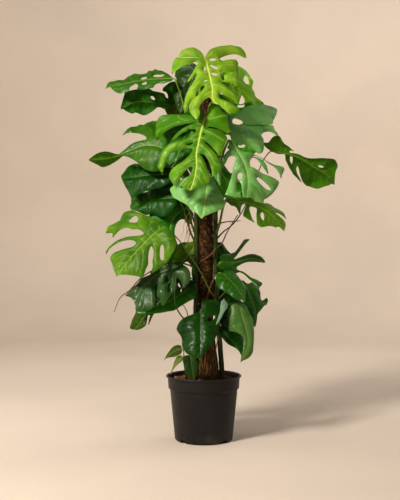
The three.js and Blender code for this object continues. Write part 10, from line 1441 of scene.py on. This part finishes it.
# ------------------------------------------------------------------ soil with bark chips
def ground(x, y):
    rr = np.hypot(x, y)
    p = np.c_[x, y, np.zeros_like(x)]
    z = 211.0 + 4.0 * (1 - np.clip(rr / 118, 0, 1) ** 2)
    z += 1.1 * GROUND_A(p) + 0.6 * GROUND_B(p)
    d = np.hypot(x - PX, y - PY)
    return z + 1.5 * np.exp(-(((d - 27) / 9) ** 2))


GROUND_A, GROUND_B = waves(31, 8, 90, 35), waves(32, 10, 22, 9)


def soil_material():
    m = Mat("soil")
    c = m.coords()
    tone = m.attr("tone")
    n = m.noise(c, 120, 4, 0.65)
    g = m.noise(m.coords((1, 1, 1)), 420, 3, 0.6)
    lines = m.noise(m.coords((700, 160, 400)), 1.0, 3, 0.6)
    col = m.mix(tone, (0.020, 0.009, 0.004), (0.300, 0.148, 0.060))
    col = m.mix(m.ramp(n, 0.42, 0.72, 0, 0.55), col, (0.045, 0.023, 0.011))
    col = m.mix(m.ramp(lines, 0.5, 0.68, 0, 0.4), col, (0.145, 0.080, 0.038))
    col = m.mix(m.ramp(tone, 1.5, 1.9), col, (0.62, 0.57, 0.48))
    # painted shade: the soil turns near-black towards the bottom of the pot, where it lies in shade
    z = m.node("SeparateXYZ")
    m.put(z.inputs[0], c)
    col = m.mix(m.ramp(z.outputs[2], 0.02, 0.15, 0.9, 0), col, (0.006, 0.004, 0.003))
    h = m.math("ADD", m.math("MULTIPLY", lines, 0.6), g)
    return m.done(m.principled(col, m.ramp(g, 0.2, 0.8, 0.78, 0.95), m.bump(h, 0.7, 0.0012), Specular_IOR_Level=0.15))


def make_soil():
    r = np.random.RandomState(17)
    sides, rings = 96, 46
    a = np.arange(sides) * 2 * np.pi / sides
    V = [[0.0, 0.0, float(ground(np.zeros(1), np.zeros(1))[0])]]
    rr = np.linspace(0, 1, rings + 1)[1:] ** 0.9 * 125.6
    for k, x in enumerate(rr):
        X, Y = x * np.cos(a), x * np.sin(a)
        V += np.c_[X, Y, ground(X, Y) + (0 if k < rings - 1 else -1.2)].tolist()
    # the side follows the inside of the pot, the bottom lies on its floor
    for rad, z in ((125.0, 187.0), (123.4, 184.6), (118.4, 180.0), (110.0, 98.0), (101.4, 13.0), (99.0, 3.5)):
        V += np.c_[rad * np.cos(a), rad * np.sin(a), np.full(sides, z)].tolist()
    V.append([0.0, 0.0, 3.5])
    V = np.array(V)
    n = rings + 6
    F = []
    j = np.arange(sides)
    jn = (j + 1) % sides
    F.append(np.c_[np.zeros(sides, int), 1 + j, 1 + jn])
    for k in range(n - 1):
        b = 1 + k * sides
        F += [np.c_[b + j, b + sides + j, b + sides + jn], np.c_[b + j, b + sides + jn, b + jn]]
    b = 1 + (n - 1) * sides
    F.append(np.c_[b + j, np.full(sides, len(V) - 1), b + jn])
    parts, tone = [(V, np.vstack(F))], [np.clip(0.22 + 0.2 * GROUND_B(V), 0, 1)]
    # a box of 26 points, bent into a chip
    g = np.array([(x, y, z) for x in (-1, 0, 1) for y in (-1, 0, 1) for z in (-1, 0, 1) if (x, y, z) != (0, 0, 0)], float)
    look = {tuple(p): i for i, p in enumerate(g)}
    tri = []
    for ax in range(3):
        u, v = [k for k in range(3) if k != ax]
        for s in (-1, 1):
            for i in (-1, 0):
                for k in (-1, 0):
                    q = []
                    for du, dv in ((0, 0), (1, 0), (1, 1), (0, 1)):
                        p = [0, 0, 0]
                        p[ax], p[u], p[v] = s, i + du, k + dv
                        q.append(look[tuple(float(x) for x in p)])
                    flip = (s > 0) == (ax != 1)
                    q = q if flip else q[::-1]
                    tri += [(q[0], q[1], q[2]), (q[0], q[2], q[3])]
    tri = np.array(tri)
    unit = g / (1 + 0.28 * (np.abs(g).sum(1)[:, None] - 1))

    def scatter(count, size, flat, sink, tones, keep_out=4.0):
        rad = np.sqrt(r.uniform(0, 1, count)) * (122 - size.max() * 0.5)
        an = r.uniform(0, 2 * np.pi, count)
        x, y = rad * np.cos(an), rad * np.sin(an)
        ok = np.hypot(x - PX, y - PY) > 25.5 + size * 0.35
        for sx, sy, sr in ((-38, -6, 9.5), (68, 0, 9.5), (3, 48, 9.5), (-60, -68, 5)):
            ok &= np.hypot(x - sx, y - sy) > sr + size * 0.35
        x, y, size, tones = x[ok], y[ok], size[ok], tones[ok]
        count = len(x)
        sc = np.c_[size * 0.5, size * 0.5 * r.uniform(0.38, 0.85, count), size * 0.5 * flat * r.uniform(0.6, 1.2, count)]
        P = unit[None] * sc[:, None] * (1 + r.uniform(-0.17, 0.17, (count, 26, 3)))
        P[..., 2] += (P[..., 0] ** 2) * r.uniform(-0.02, 0.03, count)[:, None]
        yaw, tx, ty = r.uniform(0, 6.283, count), r.normal(0, 0.20, count), r.normal(0, 0.20, count)
        cx, sx = np.cos(tx)[:, None], np.sin(tx)[:, None]
        P = np.stack([P[..., 0], P[..., 1] * cx - P[..., 2] * sx, P[..., 1] * sx + P[..., 2] * cx], 2)
        cy, sy = np.cos(ty)[:, None], np.sin(ty)[:, None]
        P = np.stack([P[..., 0] * cy + P[..., 2] * sy, P[..., 1], -P[..., 0] * sy + P[..., 2] * cy], 2)
        cz, sz = np.cos(yaw)[:, None], np.sin(yaw)[:, None]
        P = np.stack([P[..., 0] * cz - P[..., 1] * sz, P[..., 0] * sz + P[..., 1] * cz, P[..., 2]], 2)
        z = ground(x, y) + sc[:, 2] * sink + r.uniform(-0.4, 1.2, count)
        P += np.stack([x, y, z], 1)[:, None]
        Fc = (tri[None] + (np.arange(count) * 26)[:, None, None]).reshape(-1, 3)
        parts.append((P.reshape(-1, 3), Fc))
        tone.append(np.repeat(tones, 26))

    q = 1.0
    n1, n2, n3 = int(750 * q), int(900 * q), 60
    scatter(n1, r.uniform(8, 19, n1), 0.36, 0.55, np.clip(r.normal(0.45, 0.25, n1), 0, 1))
    scatter(n2, r.uniform(2.6, 7, n2), 0.6, 0.5, np.clip(r.normal(0.35, 0.28, n2), 0, 1))
    scatter(n3, r.uniform(2.2, 4.5, n3), 0.8, 0.7, np.full(n3, 2.0))
    # coir fibres lying on top
    N, S = 240, 8
    t = np.linspace(0, 1, S)[None]
    rad, an = np.sqrt(r.uniform(0.08, 1, N)) * 108, r.uniform(0, 6.283, N)
    d, bend = r.uniform(0, 6.283, N)[:, None], r.normal(0, 1.0, N)[:, None]
    ln = r.uniform(12, 42, N)[:, None]
    X = (rad * np.cos(an))[:, None] + np.cumsum(np.cos(d + bend * t) * ln / S, 1)
    Y = (rad * np.sin(an))[:, None] + np.cumsum(np.sin(d + bend * t) * ln / S, 1)
    far = np.maximum(np.hypot(X, Y) / 121, 1)
    X, Y = X / far, Y / far
    Z = ground(X.ravel(), Y.ravel()).reshape(X.shape) + 2.2 + 1.6 * np.sin(np.pi * t) * r.uniform(0, 1, N)[:, None]
    sv, sf = strands(np.stack([X, Y, Z], 2), np.full((N, S), 0.35), np.tile(np.array([0.05, 0.05, 1.0]), (N, S, 1)))
    parts.append((sv, sf))
    tone.append(np.repeat(np.clip(r.normal(0.75, 0.15, N), 0, 1), S * 3))
    VV, FF, _ = join(parts)
    o = new_object("soil_finished", VV, FF, [soil_material()], None, {"tone": np.concatenate(tone)}, smooth=False)
    settle(o, "soil")


make_soil()


# ------------------------------------------------------------------ pot
def pot_material():
    m = Mat("pot_plastic")
    c = m.coords()
    n = m.noise(c, 9, 4, 0.6)
    g = m.noise(c, 900, 2, 0.6)
    z = m.node("SeparateXYZ")
    m.put(z.inputs[0], c)
    h = z.outputs[2]
    col = m.mix(m.ramp(n, 0.3, 0.7), (0.0105, 0.0094, 0.0088), (0.0155, 0.0138, 0.0128))
    # dust along the foot and under the collar, dry splashes below the rim
    dust = m.math("MULTIPLY", m.ramp(h, 0.0, 0.05, 1, 0), m.ramp(m.noise(c, 26, 4, 0.65), 0.42, 0.72))
    col = m.mix(m.math("MULTIPLY", dust, 0.4), col, (0.11, 0.092, 0.07))
    lip = m.math("MULTIPLY", m.ramp(h, 0.186, 0.231), m.ramp(m.noise(c, 48, 4, 0.65), 0.56, 0.74))
    col = m.mix(m.math("MULTIPLY", lip, 0.3), col, (0.12, 0.10, 0.075))
    scratch = m.noise(m.coords((30, 30, 700)), 1.0, 2, 0.7)
    scratch = m.math("MULTIPLY", m.ramp(scratch, 0.64, 0.70), m.ramp(m.noise(c, 15, 2, 0.5), 0.5, 0.65))
    col = m.mix(m.math("MULTIPLY", scratch, 0.3), col, (0.075, 0.068, 0.06))
    rough = m.math("ADD", m.ramp(m.noise(c, 30, 3, 0.6), 0.2, 0.8, 0.34, 0.46), m.math("MULTIPLY", m.math("MAXIMUM", dust, lip), 0.3))
    # fine moulded grain and faint turning lines
    rings = m.noise(m.coords((1, 1, 260)), 1.0, 2, 0.5)
    height = m.math("ADD", m.math("MULTIPLY", g, 0.6), m.math("MULTIPLY", rings, 0.5))
    return m.done(m.principled(col, rough, m.bump(height, 0.25, 0.0006), Specular_IOR_Level=0.3))


def make_pot():
    def arc(cx, cz, rad, a0, a1, n):
        t = np.radians(np.linspace(a0, a1, n))
        return [(cx + rad * math.cos(x), cz + rad * math.sin(x)) for x in t]

    prof = [(0, 4.2), (30, 4.2), (31, 3.0), (60, 3.0), (61, 2.2), (84, 2.2), (85.2, 0.2), (88, 0.0), (97.0, 0.0)]
    prof += [(99.2, 0.25), (101.2, 1.2), (102.6, 2.9), (103.5, 5.2), (104.0, 8.0)]
    zb = np.linspace(12, 180.5, 34)
    prof += [(104.1 + (z - 8) * (121.3 - 104.0) / (182.0 - 8), z) for z in zb]
    prof += [(121.4, 182.6), (121.9, 183.5), (123.2, 184.3), (125.4, 184.9), (126.5, 185.7), (126.95, 187.2)]
    prof += [(126.95 + (z - 187.2) * 2.05 / 36.0, z) for z in np.linspace(191, 222.2, 9)]
    prof += [(129.1, 223.6), (129.9, 224.8)]
    prof += arc(131.9, 228.0, 3.1, -105, 150, 15)
    prof += [(128.4, 228.9), (127.6, 227.2), (127.2, 224.0)]
    prof += [(127.1 - (222 - z) * 1.9 / 34, z) for z in np.linspace(221, 190, 8)]
    prof += [(124.5, 187.0), (123.4, 185.2), (120.3, 183.2), (119.3, 181.6)]
    prof += [(119.1 - (180 - z) * 17.6 / 170, z) for z in np.linspace(178, 12, 18)]
    prof += [(101.0, 9.0), (100.2, 7.4), (98.4, 6.4), (90, 6.2), (60, 6.2), (0, 6.2)]
    sides = 160
    a = (np.arange(sides) + 0.5) * 2 * np.pi / sides
    V, ring = [], []
    for rr, z in prof:
        if rr == 0:
            ring.append([len(V)])
            V.append((0.0, 0.0, z))
        else:
            w = rr + (0.25 * np.sin(2 * a + 0.6) + 0.12 * np.sin(3 * a + z / 60)) * min(1, z / 60)
            ring.append(list(range(len(V), len(V) + sides)))
            V += list(zip(w * np.cos(a), w * np.sin(a), np.full(sides, z)))
    F = []
    for k in range(len(ring) - 1):
        A, B = ring[k], ring[k + 1]
        for j in range(sides):
            jn = (j + 1) % sides
            if len(A) == 1:
                F.append((A[0], B[jn], B[j]))
            elif len(B) == 1:
                F.append((A[j], A[jn], B[0]))
            else:
                F.append((A[j], A[jn], B[jn], B[j]))
    o = new_object("pot_finished", np.array(V), F, [pot_material()])
    # drainage notches round the foot
    for k in range(4):
        w, top, rc = 13.0, 10.0, 4.0
        sec = [(-w, -4.0), (w, -4.0), (w, top - rc)] + [(w - rc + rc * math.cos(t), top - rc + rc * math.sin(t)) for t in np.radians([30, 60, 90])]
        sec += [(-w + rc + rc * math.cos(t), top - rc + rc * math.sin(t)) for t in np.radians([90, 120, 150])] + [(-w, top - rc)]
        ang = math.radians(45 + 90 * k)
        e, s = np.array([math.cos(ang), math.sin(ang)]), np.array([-math.sin(ang), math.cos(ang)])
        P = []
        for rad in (86.5, 112.0):
            for x, z in sec:
                P.append((*(e * rad + s * x), z))
        n = len(sec)
        FF = [tuple(range(n))[::-1], tuple(range(n, 2 * n))] + [(i, (i + 1) % n, n + (i + 1) % n, n + i) for i in range(n)]
        me = bpy.data.meshes.new("cutter")
        me.from_pydata([[x * MM for x in p] for p in P], [], FF)
        cut = bpy.data.objects.new("cutter_%d" % k, me)
        bpy.context.scene.collection.objects.link(cut)
        md = o.modifiers.new("notch", "BOOLEAN")
        md.operation, md.object, md.solver = "DIFFERENCE", cut, "EXACT"
        bpy.context.view_layer.update()
        done = bpy.data.meshes.new_from_object(o.evaluated_get(bpy.context.evaluated_depsgraph_get()))
        o.modifiers.clear()
        old, o.data = o.data, done
        bpy.data.meshes.remove(old)
        bpy.data.objects.remove(cut)
        bpy.data.meshes.remove(me)
    if not o.data.materials:
        o.data.materials.append(bpy.data.materials["pot_plastic"])
    o.data.polygons.foreach_set("use_smooth", [True] * len(o.data.polygons))
    o.data.set_sharp_from_angle(angle=math.radians(38))
    settle(o, "pot")


make_pot()
